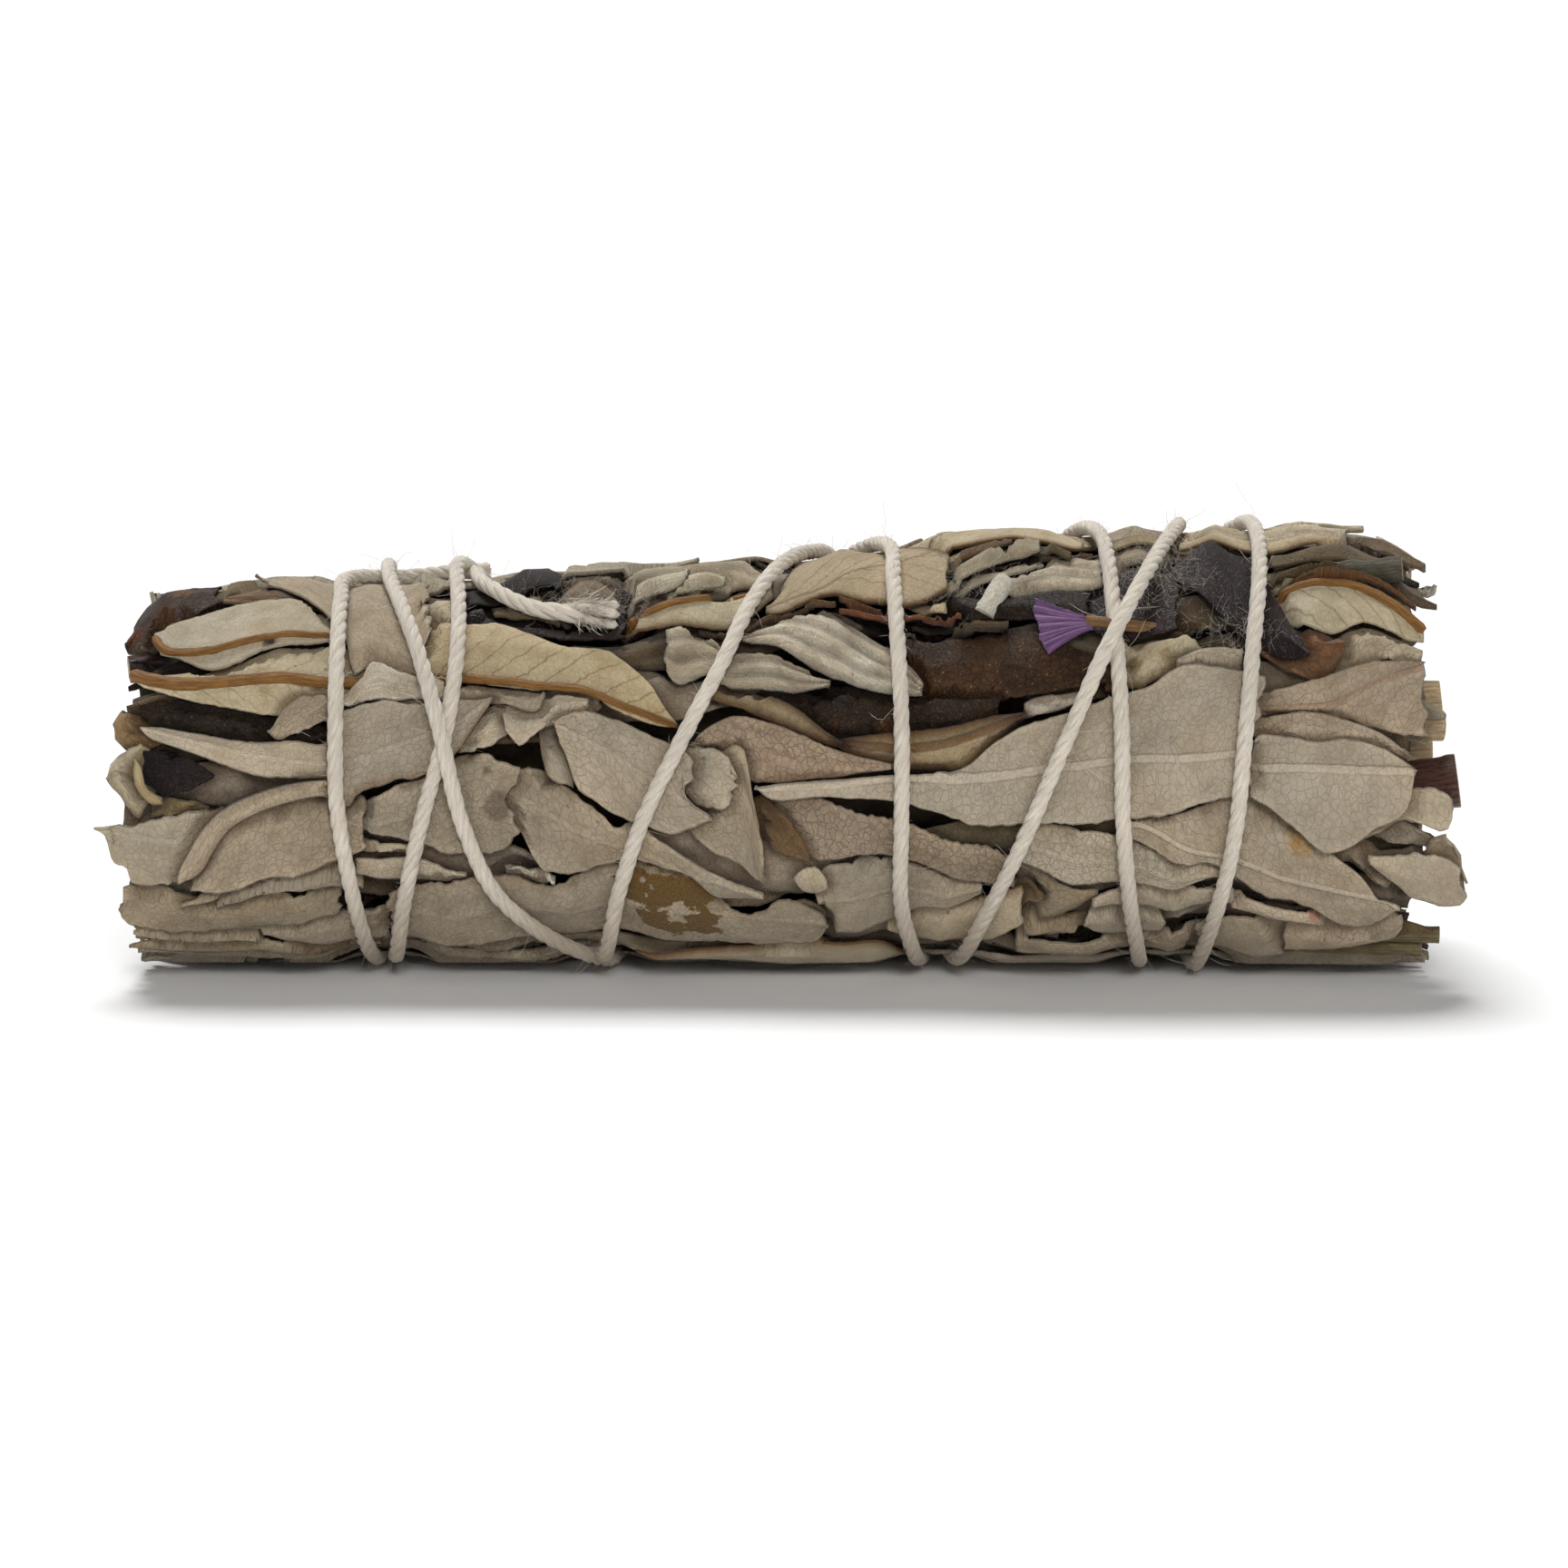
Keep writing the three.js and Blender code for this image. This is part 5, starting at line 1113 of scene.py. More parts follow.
        arch=0.3, torn=0.1),
    seenLeaf("yellow_margin_left", "cream",
        "-48.1,15 -47.5,14 -47.2,12.9 -46,12.1",
        "-48.1,13.2 -47.5,12.2 -46.8,11.6 -46,11.6",
        arch=0.8, depth=0.6, vein=0, lowBrown=0.5, tint=(1, 0.92, 0.7)),
    seenLeaf("purple_leaf_left", "purple",
        "-47.5,15.5 -45.4,15.5 -43,14.3 -42.2,13.8",
        "-47.5,13.2 -47,12.8 -46,12.2 -44,12.7 -42.2,13.5",
        arch=0.5, torn=0.1),
    seenLeaf("cream_lump_left", "cream",
        "-50.1,13.6 -49.6,14.9 -48.7,15.6 -47.5,15.9 -46.4,15.3",
        "-50.1,13.2 -48.7,11.7 -47.9,10.4 -47,11.3 -46.4,12.7",
        arch=0.9, torn=0.3, vein=0.3, ribTan=0.4, lowBrown=0.6,
        spots=[(-48.1, 14, 0.61, (0.5, 0.4, 0.25), 0.6)]),
    seenLeaf("tan_stub_left", "tan",
        "-49.6,17.7 -49.1,18.3 -47.5,18.4 -45.7,17.7",
        "-49.6,16.4 -48.7,15.5 -47.5,15.5 -45.7,16.4",
        arch=0.7, torn=0.3, tint=(1.7, 1.6, 1.45)),
    seenLeaf("stem_bits_left", "olive",
        "-47,11.8 -46,12.1 -44.7,12 -42.7,11.3",
        "-47,10.6 -46,10.7 -44.7,10.7 -42.7,10.6",
        arch=0.5, torn=0.3, tint=(1.3, 1.25, 1.1)),
    seenLeaf("pale_fragment_left", "pale",
        "-42.7,7.9 -41.1,9.2 -39.2,10.4 -38,10.6",
        "-42.7,7.4 -41.1,8.3 -39.2,9.4 -38,9.8",
        arch=0.2, torn=0.2, tint=(0.85, 0.8, 0.72)),
    seenLeaf("rolled_strip_left", "taupe",
        "-42,4.9 -40.2,5.7 -38.9,6.2 -36.9,6.5 -32.7,6.4 -31.2,6.3",
        "-42,4.4 -40.2,4.7 -38.9,5.1 -36.9,5.2 -32.7,5.2 -31.2,5.1",
        arch=0.8, torn=0.25, topPale=0.5),
    seenLeaf("tan_leaf_left_low", "taupe",
        "-49.1,4.6 -48.7,5.6 -47.4,5.6 -43.9,4.9 -42,4.7 -38.6,5 -32.7,5.1",
        "-49.1,3.4 -48.8,2.9 -46.7,2.6 -44.6,2.4 -40.2,2.6 -36.6,3 -32.7,3.2",
        nicks=0.14, arch=0.4, torn=0.25, tint=(0.84, 0.8, 0.72)),
    seenLeaf("notched_leaf_low", "taupe",
        "-41,3.2 -38.6,3.7 -36.3,3.5 -33.7,3.1 -29.2,3.4",
        "-41,2.3 -38.6,2.2 -36.3,1.7 -33.7,1.2 -29.2,1.2",
        arch=0.4, torn=0.15, spots=[(-38, 3.2, 0.54, (0.1, 0.08, 0.06), 1)]),
    seenLeaf("thin_leaf_left_low", "pale",
        "-48.2,2.6 -44.7,2.4 -41.3,2.4 -38.9,2.2",
        "-48.2,2.3 -44.7,1.8 -41.3,1.7 -38.9,1.8",
        arch=0.3, tint=(0.8, 0.76, 0.68)),
    seenLeaf("bottom_leaf_left", "taupe",
        "-48.5,1.8 -44.7,1.9 -38.9,1.8 -35.3,1.5 -29.9,1.5",
        "-48.5,1.6 -45.3,1 -40.6,0.9 -36.3,0.9 -29.9,0.7",
        arch=0.3, lowBrown=0.7, tint=(0.85, 0.8, 0.72)),
    seenLeaf("top_fragment_left", "cream",
        "-28.5,26.2 -27.2,26.9 -25.5,27.1 -24.2,27.1",
        "-28.5,25.2 -27.2,25.3 -25.5,25.4 -24.2,25.6",
        arch=0.3, torn=0.3, tint=(0.95, 0.95, 0.95)),
    seenLeaf("fuzzy_lump_top_left", "woolly",
        "-17,26.8 -15.9,27.5 -14.7,27.9 -13.6,27.8 -12.4,27.1",
        "-17,26.2 -15.9,25.8 -14.7,25.4 -13.6,25.4 -12.4,26",
        cell=0.26, arch=0.8, ridges=(2, 0.2), torn=0.3, tint=(0.42, 0.34, 0.27)),
    seenLeaf("black_leaf_top_left", "dark",
        "-24.5,27.5 -21.8,28.1 -19.7,28.6 -18.4,28.9 -17.4,28.7 -16.6,28.1",
        "-24.5,26.7 -21.8,26.7 -19.7,27.3 -18.4,27.6 -17.4,27.5 -16.6,27.3",
        arch=0.5, torn=0.2, tint=(0.6, 0.55, 0.5)),
    seenLeaf("olive_fuzzy_bits", "olive",
        "-21.8,26.8 -19.8,27.1 -17.8,27.1 -15.7,26.2",
        "-21.8,25.8 -19.8,25.7 -17.8,25.6 -15.7,25.3",
        arch=0.6, torn=0.4, tint=(0.8, 0.72, 0.6)),
    seenLeaf("fuzzy_dark_leaf_top", "purple",
        "-24.5,27.3 -21.8,27.6 -17.8,27.7 -14.4,27.6 -11.7,27.3",
        "-24.5,25.2 -21.8,24.8 -17.8,24 -14.4,23.8 -11.7,24.1",
        arch=0.3, torn=0.3, tint=(1.3, 1.2, 1.1)),
    seenLeaf("white_spindle_top", "woolly",
        "-11.7,27.1 -9.7,27.6 -8,28.1 -7.1,28.3",
        "-11.7,26.5 -9.7,26.8 -8,27.3 -7.1,28",
        cell=0.26, arch=0.9, ridges=(1, 0.1), tint=(1.05, 1.05, 1.02)),
    seenLeaf("white_spindle_low", "woolly",
        "-8.7,27.2 -7,27.8 -5.3,28.1 -4.3,28.1",
        "-8.7,26.8 -7,26.9 -5.3,27.3 -4.3,27.7",
        cell=0.26, arch=0.9, ridges=(1, 0.1), tint=(1, 1, 0.95)),
    seenLeaf("boat_leaf_top", "woolly",
        "-12.4,27.5 -11.1,28.5 -8.3,29.3 -5.7,29.7 -3.5,29.6 -1.6,29.1",
        "-12.4,26 -11.1,26.2 -8.3,27.1 -5.7,27.1 -3.5,27.8 -1.6,28.4",
        cell=0.26, arch=0.4, ridges=(2, 0.25), topCurl=0.3, topBrown=1, lowBrown=0.6,
        tint=(0.78, 0.74, 0.66)),
    seenLeaf("s_curved_leaf", "cream",
        "-12,26.5 -10.2,26.8 -7.9,26.9 -6.1,27.3 -3.5,28.1 -0.9,29.3",
        "-12,24.8 -7.9,24.6 -4.8,24.8 -3.1,25.4 -0.9,27.3",
        rib="-12,25.6 -8.6,26 -6.1,26.4 -3.5,27.4 -0.9,28.5",
        arch=0.4, ribTube=(0.36, 0.26), ribTan=1, ribWide=0.7, ribRise=0.1, topBrown=1, lowBrown=0.8,
        vein=0.3, tint=(0.95, 0.95, 0.9)),
    seenLeaf("cream_leaf_top", "cream",
        "-1.3,27.1 -0.1,28.5 1.5,30.3 3.1,30.7 5.1,31 7.5,31 10,30.8 12.1,29.8",
        "-1.3,26 -0.1,25.8 3,26.8 5.1,26.7 7.5,26.8 8.7,26.5 10.5,26.7 12.1,27.2",
        rib="-1.3,26.4 3,27.5 5.1,28.7 7.5,29.8 12.1,30.3",
        arch=0.5, ribTan=0.5, ribWide=0.35, vein=0.8, topBrown=1, lowBrown=1, tint=(0.85, 0.8, 0.72)),
    seenLeaf("cream_strip_top", "cream",
        "9.7,30.6 11.1,31.1 13.1,31.6 16,31.8 18.3,32 19.9,32.2 22.2,31.4",
        "9.7,29.7 12.1,30.2 15.2,30.7 17.2,31 19.2,30.8 20.9,30.6 22.2,30.8",
        node="cream_leaf_top_right", arch=0.4, topBrown=1, lowBrown=1, vein=0, tint=(1, 0.97, 0.9)),
    seenLeaf("brown_stalk_top", "tan",
        "10,29.1 12.5,29.7 15.2,30.6 16.9,31.1",
        "10,28.3 12.5,29 15.2,29.9 16.9,30.6",
        arch=0.5, tint=(0.8, 0.7, 0.6)),
    seenLeaf("woolly_stalk_top", "woolly",
        "11.2,28.1 13.2,28.6 14.9,29.6 16.2,30.8 17.6,31.3 19,30.8",
        "11.2,27.1 13.2,27.7 15.3,28.7 16.7,29.3 17.9,29.5 19,29.9",
        cell=0.26, arch=0.9, depth=0.6, tint=(0.7, 0.66, 0.58)),
    seenLeaf("cream_strip_second", "cream",
        "9.4,29.3 11.2,30 13.9,30.6 15.9,30.8",
        "9.4,28.8 11.2,29.3 13.9,30.1 15.9,30.4",
        arch=0.4, topBrown=0.6, lowBrown=0.6, vein=0, tint=(1.05, 1.02, 0.95)),
    seenLeaf("short_cream_stub", "cream",
        "8.8,27.6 9.8,27.5 11,26.7 12,26.2",
        "8.8,27.1 9.8,26.5 11,25.7 12,25.4",
        arch=0.4, topBrown=0.5, vein=0, tint=(0.85, 0.8, 0.7)),
    seenLeaf("red_twig", "tan",
        "4.1,25.6 6.5,25.8 9.2,25.8 13.1,25.2",
        "4.1,25.2 6.5,25.3 9.2,25.4 13.1,24.8",
        arch=0.6, depth=0.7, tint=(1, 0.5, 0.38)),
    seenLeaf("dark_band_top", "dark",
        "9.5,26.2 11.8,26.7 15.2,26.4 19.2,27 22.6,27.5",
        "9.5,24.8 11.8,24.6 15.2,25 19.2,25 22.6,24.8",
        arch=0.5, torn=0.1, tint=(0.9, 0.9, 1.1)),
    seenLeaf("rolled_edge_j", "tan",
        "4.1,26.5 6.8,26.2 9.2,25.7 11.8,25.3",
        "4.1,26.1 6.8,25.8 9.2,25.3 11.8,24.9",
        arch=0.7, depth=0.65, puff=0.3, tint=(0.7, 0.45, 0.35)),
    seenLeaf("olive_strip_top_end", "olive",
        "36.1,30.4 38.8,30.2 41.5,30.4 43.5,29.6 45.5,28.9",
        "36.1,29.6 38.8,29.3 41.5,29.3 43.5,28.5 45.5,28",
        arch=0.4, tint=(0.7, 0.65, 0.6)),
    seenLeaf("cream_strip_top_end", "cream",
        "29.3,31.4 32,31.6 35.4,31.5 38.8,31.2 41.3,30.8",
        "29.3,30.8 32,31 35.4,30.7 38.8,30.6 41.3,30.4",
        arch=0.4, lowBrown=0.7, vein=0, tint=(1, 0.95, 0.85)),
    seenLeaf("woolly_strip_top_left", "woolly",
        "-11.7,26.2 -9,27.1 -7,27.6 -4.3,27.9 -2.3,28.1",
        "-11.7,25.2 -9,26 -7,26.5 -4.3,26.8 -2.3,27.3",
        cell=0.26, arch=0.5, ridges=(2, 0.2), tint=(1.15, 1.15, 1.15)),
    seenLeaf("rolled_edge_a", "tan",
        "11.8,30.6 14.5,31.1 17.2,31.5 19.9,31.5",
        "11.8,30.2 14.5,30.7 17.2,31.1 19.9,31.1",
        arch=0.7, depth=0.65, puff=0.3, topBrown=0.5, tint=(0.7, 0.62, 0.5)),
    seenLeaf("rolled_edge_b", "olive",
        "11.2,29.6 13.9,30.3 16.2,30.6 18.6,30.4 21.3,30.2",
        "11.2,29.1 13.9,29.7 16.2,30 18.6,29.9 21.3,29.6",
        arch=0.7, depth=0.65, puff=0.3, tint=(0.6, 0.55, 0.48)),
    seenLeaf("rolled_edge_c", "woolly",
        "10.2,28.1 12.2,28.9 14.5,29.7 16.6,30.2",
        "10.2,27.5 12.2,28.3 14.5,29.1 16.6,29.5",
        arch=0.7, depth=0.65, puff=0.3, cell=0.26, ridges=(1, 0.1), tint=(0.55, 0.5, 0.42)),
    seenLeaf("rolled_edge_k", "olive",
        "8.5,24.8 11.2,24.9 13.9,24.8 16.6,24.9",
        "8.5,24.3 11.2,24.4 13.9,24.3 16.6,24.4",
        arch=0.7, depth=0.65, puff=0.3, tint=(0.5, 0.42, 0.36)),
    seenLeaf("rolled_edge_l", "tan",
        "-6.3,24.8 -3.6,24.9 -0.9,25.7 1.7,26.2 3.8,26.1",
        "-6.3,24.4 -3.6,24.5 -0.9,25.3 1.7,25.8 3.8,25.7",
        arch=0.7, depth=0.65, puff=0.3, tint=(0.55, 0.45, 0.35)),
    seenLeaf("woolly_leaf_top_mid", "woolly",
        "10.5,28.5 12.5,28.9 14.1,29.6 16.4,30.4 17.9,31 19.2,30.8",
        "10.5,26.8 12.5,27.1 14.1,27.5 15.5,28 17.6,28.7 19.2,29.3",
        cell=0.26, arch=0.5, ridges=(2, 0.25), tint=(1.1, 1.08, 1.05)),
    seenLeaf("woolly_leaf_top_right", "woolly",
        "16.2,28.4 19.2,29.6 21.3,30 23.6,30.2",
        "16.2,26.8 19.2,27.1 21.9,27.6 23.6,28.1",
        cell=0.26, arch=0.4, ridges=(3, 0.25), tint=(0.95, 0.92, 0.88),
        spots=[(19.3, 29.1, 0.27, (1, 0.4, 0.3), 0.9)]),
    seenLeaf("rolled_edge_d", "tan",
        "15.9,29.3 18.6,30 21.3,30.4 22.9,30.4",
        "15.9,28.9 18.6,29.5 21.3,29.9 22.9,29.9",
        arch=0.7, depth=0.65, puff=0.3, tint=(0.6, 0.52, 0.42)),
    seenLeaf("rolled_edge_e", "woolly",
        "17.2,28.7 19.9,29.3 22.6,29.7 24.3,29.6",
        "17.2,28 19.9,28.7 22.6,29.1 24.3,28.9",
        arch=0.7, depth=0.65, puff=0.3, cell=0.26, ridges=(1, 0.15), tint=(0.6, 0.56, 0.48)),
    seenLeaf("woolly_leaf_centre", "woolly",
        "-3.1,24.6 -2,25.4 -0.9,25.8 1.7,26 3.6,25.5 5.1,24.6 7.9,23.2 9.3,21.9 10.2,20.6",
        "-3.1,24 -0.9,23.3 2.3,21.5 5.7,20.2 8.2,19.9 10.2,19.8",
        rib="-3.1,24.4 2.4,23.8 6.5,21.9 10.2,20.2",
        cell=0.26, topBrown=0.5, lowBrown=0.3, arch=0.6, ridges=(3.2, 0.3), tint=(1, 1, 1)),
    seenLeaf("woolly_stub_left", "woolly",
        "-8.7,24.1 -6.7,24.5 -5,23.8 -4.3,22.6",
        "-8.7,21.3 -7.8,20.5 -6,21.3 -4.3,22.2",
        cell=0.26, arch=0.8, ridges=(2.5, 0.3), tint=(0.85, 0.8, 0.72)),
    seenLeaf("small_woolly_leaf", "woolly",
        "-5,22.6 -4,23 -0.9,22.5 1.7,21.3 3.4,20.6",
        "-5,20.6 -3.5,20.2 -0.9,19.9 1,19.8 3.4,20.1",
        cell=0.26, topBrown=0.5, lowBrown=0.3, arch=0.4, ridges=(2.4, 0.25), torn=0.15,
        tint=(0.82, 0.8, 0.76)),
    seenLeaf("tan_leaf_centre", "cream",
        "-5.5,20.3 -4.8,20.3 -2.2,19.8 0.4,18.9 3,17 4.2,16.2",
        "-5.5,19.5 -4.1,19 -2.3,18.2 -0.9,17.6 3,16 4.2,15.7",
        arch=0.4, tint=(0.72, 0.66, 0.55), vein=0.2, topBrown=1, lowBrown=1),
    seenLeaf("folded_tan_leaf", "cream",
        "3.6,16.3 6.8,16.8 9.6,17 13.2,17.5 15.9,18.1 17.9,18.3",
        "3.6,16 5.5,14.9 9.3,14.1 11.8,13.9 13.3,13.8 14.7,15.3 17.9,18",
        rib="3.6,16.2 9.2,15.7 13.2,16.4 17.9,18.2",
        arch=0.5, tint=(0.68, 0.6, 0.48), vein=0.2, topBrown=1, lowBrown=1, ribRise=0.3, ribTan=0.8,
        ribWide=0.6),
    seenLeaf("dark_leaf_centre", "dark",
        "-1.2,19.7 0.4,20.3 2.4,20.7 6.5,20.3 9.2,19.8 13.2,19.2 15.9,19.4",
        "-1.2,18.7 0.4,17.4 2.4,16.4 6.5,16 9.2,16.8 13.2,17.4 15.9,17.9",
        arch=0.4, torn=0.1, tint=(1.2, 1.1, 1),
        spots=[(3.7, 17.4, 0.27, (2.5, 2, 1.4), 0.9), (7.5, 17.2, 0.61, (5, 4, 3.2), 0.8),
            (8.5, 16.6, 0.4, (3.5, 3, 2.6), 0.7)]),
    seenLeaf("dark_brown_leaf", "dark",
        "8.9,24 11.2,24.5 13.2,24.6 18.6,24.1 21.3,23.3 23.6,22.7 25.3,21.7",
        "8.9,19.5 10,19.1 14.4,19 17.8,19.5 19.9,19.9 22.4,20.5 25.3,20.7",
        rib="8.9,21.7 15.9,21.7 25.3,21.3",
        arch=0.4, topBrown=0.6, tint=(2.3, 1.9, 1.5), torn=0.15),
    seenLeaf("pale_strip_right", "pale",
        "17.8,19 18.6,19.5 20.6,19.9 22.4,20.3",
        "17.8,18 19.2,18.3 20.9,18.8 22.4,19.5",
        arch=0.2),
    seenLeaf("dark_hairy_leaf", "purple",
        "21,28.1 22.6,28.7 25.3,29.3 27.3,29.1 29,28.1",
        "21,26.2 22.6,24.8 25.3,24.2 27.3,24.1 29,24.5",
        arch=0.5, torn=0.2, tint=(1.3, 1.2, 1.1)),
    seenLeaf("cream_patch_leaf", "cream",
        "24.3,23.1 25.6,24 28.7,24.2 30.7,23.3 32.4,22.6",
        "24.3,20.6 26,20.4 27.7,20.9 29.3,21.5 32.4,21.9",
        arch=0.4, lowBrown=0.8, vein=0.3, torn=0.35,
        spots=[(26, 22.1, 0.47, (0.4, 0.3, 0.2), 0.8), (28.3, 22.4, 0.4, (0.5, 0.4, 0.25), 0.6)],
        tint=(0.9, 0.88, 0.82)),
    seenLeaf("dark_purple_leaf", "purple",
        "28.8,29.3 30.3,30.6 32.4,30.8 34.3,30.6 36.3,27.5 37.4,25.4 38.8,22.6",
        "28.8,28.4 30,27.6 31.6,26.4 33.5,24.6 35.5,23.3 37,22.3 38.8,22.2",
        arch=0.5, torn=0.15, lowBrown=0.5, tint=(1.3, 1.15, 1.15)),
    seenLeaf("cream_green_leaf", "cream",
        "35.4,27.2 36.9,27.7 39.4,27.9 41.8,27.7 43.6,27.1 45.4,26 47,24.8 47.4,24.1",
        "35.4,26.2 37.2,25.3 39.1,24.5 40.6,24 43,24.8 44.8,24.2 46.3,23.6 47.4,23.3",
        rib="35.4,27.1 39.4,27.7 41.8,27.5 43.6,26.9 45.4,25.8 47.4,24",
        arch=0.4, ribTube=(0.26, 0.46), ribTan=0.5, ribWide=0.7, ribRise=0.1, tint=(0.98, 0.98, 0.95)),
    seenLeaf("rolled_edge_i", "dark",
        "36.1,31 38.8,31 41.5,30.8 44.1,30",
        "36.1,30.3 38.8,30.3 41.5,30.2 44.1,29.3",
        arch=0.7, depth=0.65, puff=0.3, tint=(1.6, 1.4, 1.2)),
    seenLeaf("rolled_edge_h", "tan",
        "37.4,28.1 40.1,28.4 42.8,28 45.2,27.1 46.8,26",
        "37.4,27.7 40.1,28 42.8,27.6 45.2,26.7 46.8,25.6",
        arch=0.7, depth=0.65, puff=0.3, tint=(0.7, 0.5, 0.35)),
    seenLeaf("rolled_edge_g", "olive",
        "35.7,28.9 38.1,28.9 40.8,28.8 43.5,28.1 45.5,27.3",
        "35.7,28.4 38.1,28.4 40.8,28.3 43.5,27.6 45.5,26.8",
        arch=0.7, depth=0.65, puff=0.3, tint=(0.5, 0.42, 0.35)),
    seenLeaf("red_brown_leaf", "tan",
        "35.3,24.6 36.4,25 37.4,25.2 39.2,24.6 40.6,23.8 41.5,23.3",
        "35.3,23.3 36.7,22.1 38.2,21.1 40.4,20.6 40.9,21.6 41.5,22.7",
        rib="35.3,24.1 38.1,23.3 41.5,23",
        arch=0.5, ribRise=0.3, ribTan=0.5, tint=(1.15, 0.85, 0.7)),
    seenLeaf("taupe_leaf_right_top", "taupe",
        "40.2,23.7 43.2,24.8 45.4,23.9 47.3,22.7",
        "40.2,21.4 41.5,21.5 43.6,22.1 47.3,22.2",
        arch=0.3, tint=(1.05, 1.02, 0.95)),
    seenLeaf("folded_leaf_end", "pale",
        "42.8,9.4 44.1,10.6 46,12.4 47.9,12.8 49,12.5 49.5,12",
        "42.8,8.7 43.8,9.2 46.1,10.4 48.9,9.7 49.3,10 49.5,10.6",
        arch=0.6, topCurl=0.3, torn=0.15, tint=(0.98, 0.95, 0.88)),
    seenLeaf("folded_leaf_end_low", "pale",
        "43.3,8.1 45.5,8 48.3,8 49.1,7.6 50.3,6.9",
        "43.3,7.5 44.8,6.3 46.4,4.9 48.5,4.4 49.5,4.2 50.3,4.6",
        nicks=0.14, arch=0.6, torn=0.2, topPale=0.6, tint=(0.95, 0.92, 0.86)),
    seenLeaf("rough_end_right", "pale",
        "47.9,8.3 48.7,9.3 49.4,8.7 49.9,7.4 50.5,5.9",
        "47.9,4.9 48.7,4.2 49.4,4 49.9,4.2 50.5,4.9",
        arch=0.8, torn=0.4, tint=(0.8, 0.74, 0.66)),
    seenLeaf("ridge_leaf_right", "taupe",
        "39.8,8.3 42.1,9 43.1,8.6 44.2,8 47.5,8.1",
        "39.8,6.6 41.8,7.1 43,6.3 44.8,5.6 47.5,4.9",
        arch=0.3, tint=(0.7, 0.66, 0.6)),
    seenLeaf("woolly_leaf_top_end", "woolly",
        "29.1,31.5 30.6,32 32.4,32.7 34.4,32.8 38.4,32.6 41.1,32.4 41.7,31.9",
        "29.1,30.8 30.6,30.7 32.4,30.6 35.8,30.6 39.4,30.3 41.1,30.4 41.7,31.1",
        cell=0.26, arch=0.5, ridges=(3, 0.25), tint=(0.95, 0.9, 0.82)),
    seenLeaf("rolled_edge_f", "cream",
        "24.3,31.4 26.7,31.6 29.3,31.8 31.4,31.5",
        "24.3,30.8 26.7,31.1 29.3,31.2 31.4,31",
        arch=0.7, depth=0.65, puff=0.3, topBrown=1, vein=0, tint=(0.6, 0.55, 0.45)),
    seenLeaf("woolly_lump_top", "woolly",
        "23.4,31.5 24.3,32 26.7,32.4 28.8,32.2",
        "23.4,30 24.3,29.5 26.7,30 28.8,30.6",
        cell=0.26, arch=0.6, ridges=(2, 0.2), tint=(0.7, 0.66, 0.6), torn=0.2),
    seenLeaf("olive_woolly_leaf", "woolly",
        "35.1,29.3 36,29.6 38.1,29.7 40.4,29.5",
        "35.1,27.5 36.1,27.9 38.1,28.4 40.4,29.1",
        cell=0.26, arch=0.4, ridges=(2, 0.2), tint=(0.85, 0.85, 0.72)),
]

packed = set(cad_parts)
for leaf in frontLeaves:
    node = leaf.get("node", leaf["name"])
    growLeaf(leaf, node if node in packed else None)
print("front leaves:", len(frontLeaves))


# Leaves round the back and underneath, by x and turn round the bunch
bunchEnd = 47.0  # no leaf reaches past this


def turnedLeaf(name, look, x, turn, length, width, slope=0.0, bow=0.0, cut=0.0, **extras):
    x = np.clip(x, length / 2 - bunchEnd, bunchEnd - length / 2)
    share = np.linspace(0, 1, 7)
    taper = np.clip(share**0.85 * (1 - cut) + cut * share * 0.6, 0.02, 0.99)
    half = width / bunch["turnLength"] / 2 * np.sin(np.pi * taper) ** 0.8
    half = np.maximum(half, 1.0)
    middle = turn + slope * (share - 0.5) * length / bunch["turnLength"] + bow * np.sin(np.pi * share)
    at = x + (share - 0.5) * length
    return dict(
        name=name, look=look, turned=True, rib=list(zip(at, middle)),
        top=list(zip(at, middle + half)), low=list(zip(at, middle - half)), **extras
    )


backLeaves = [
    ("back_leaf_top_left", "taupe", -24, 126, 46, 9.8, 0.02),
    ("back_leaf_top_right", "pale", 24.5, 128, 46, 10.4, -0.02),
    ("back_leaf_middle_left", "pale", -26, 177, 46, 11, 0.03),
    ("back_leaf_middle_right", "taupe", 24, 180, 50, 10.6, -0.03),
    ("back_leaf_low_left", "taupe", -21, 221, 52, 8.4, 0.02),
    ("back_leaf_low_right", "pale", 27, 222, 39, 8, 0.02),
    ("rest_leaf_left", "taupe", -22, -90, 41, 9.8, 0.02),
    ("rest_leaf_right", "pale", 22, -90, 41, 9.8, -0.02),
]


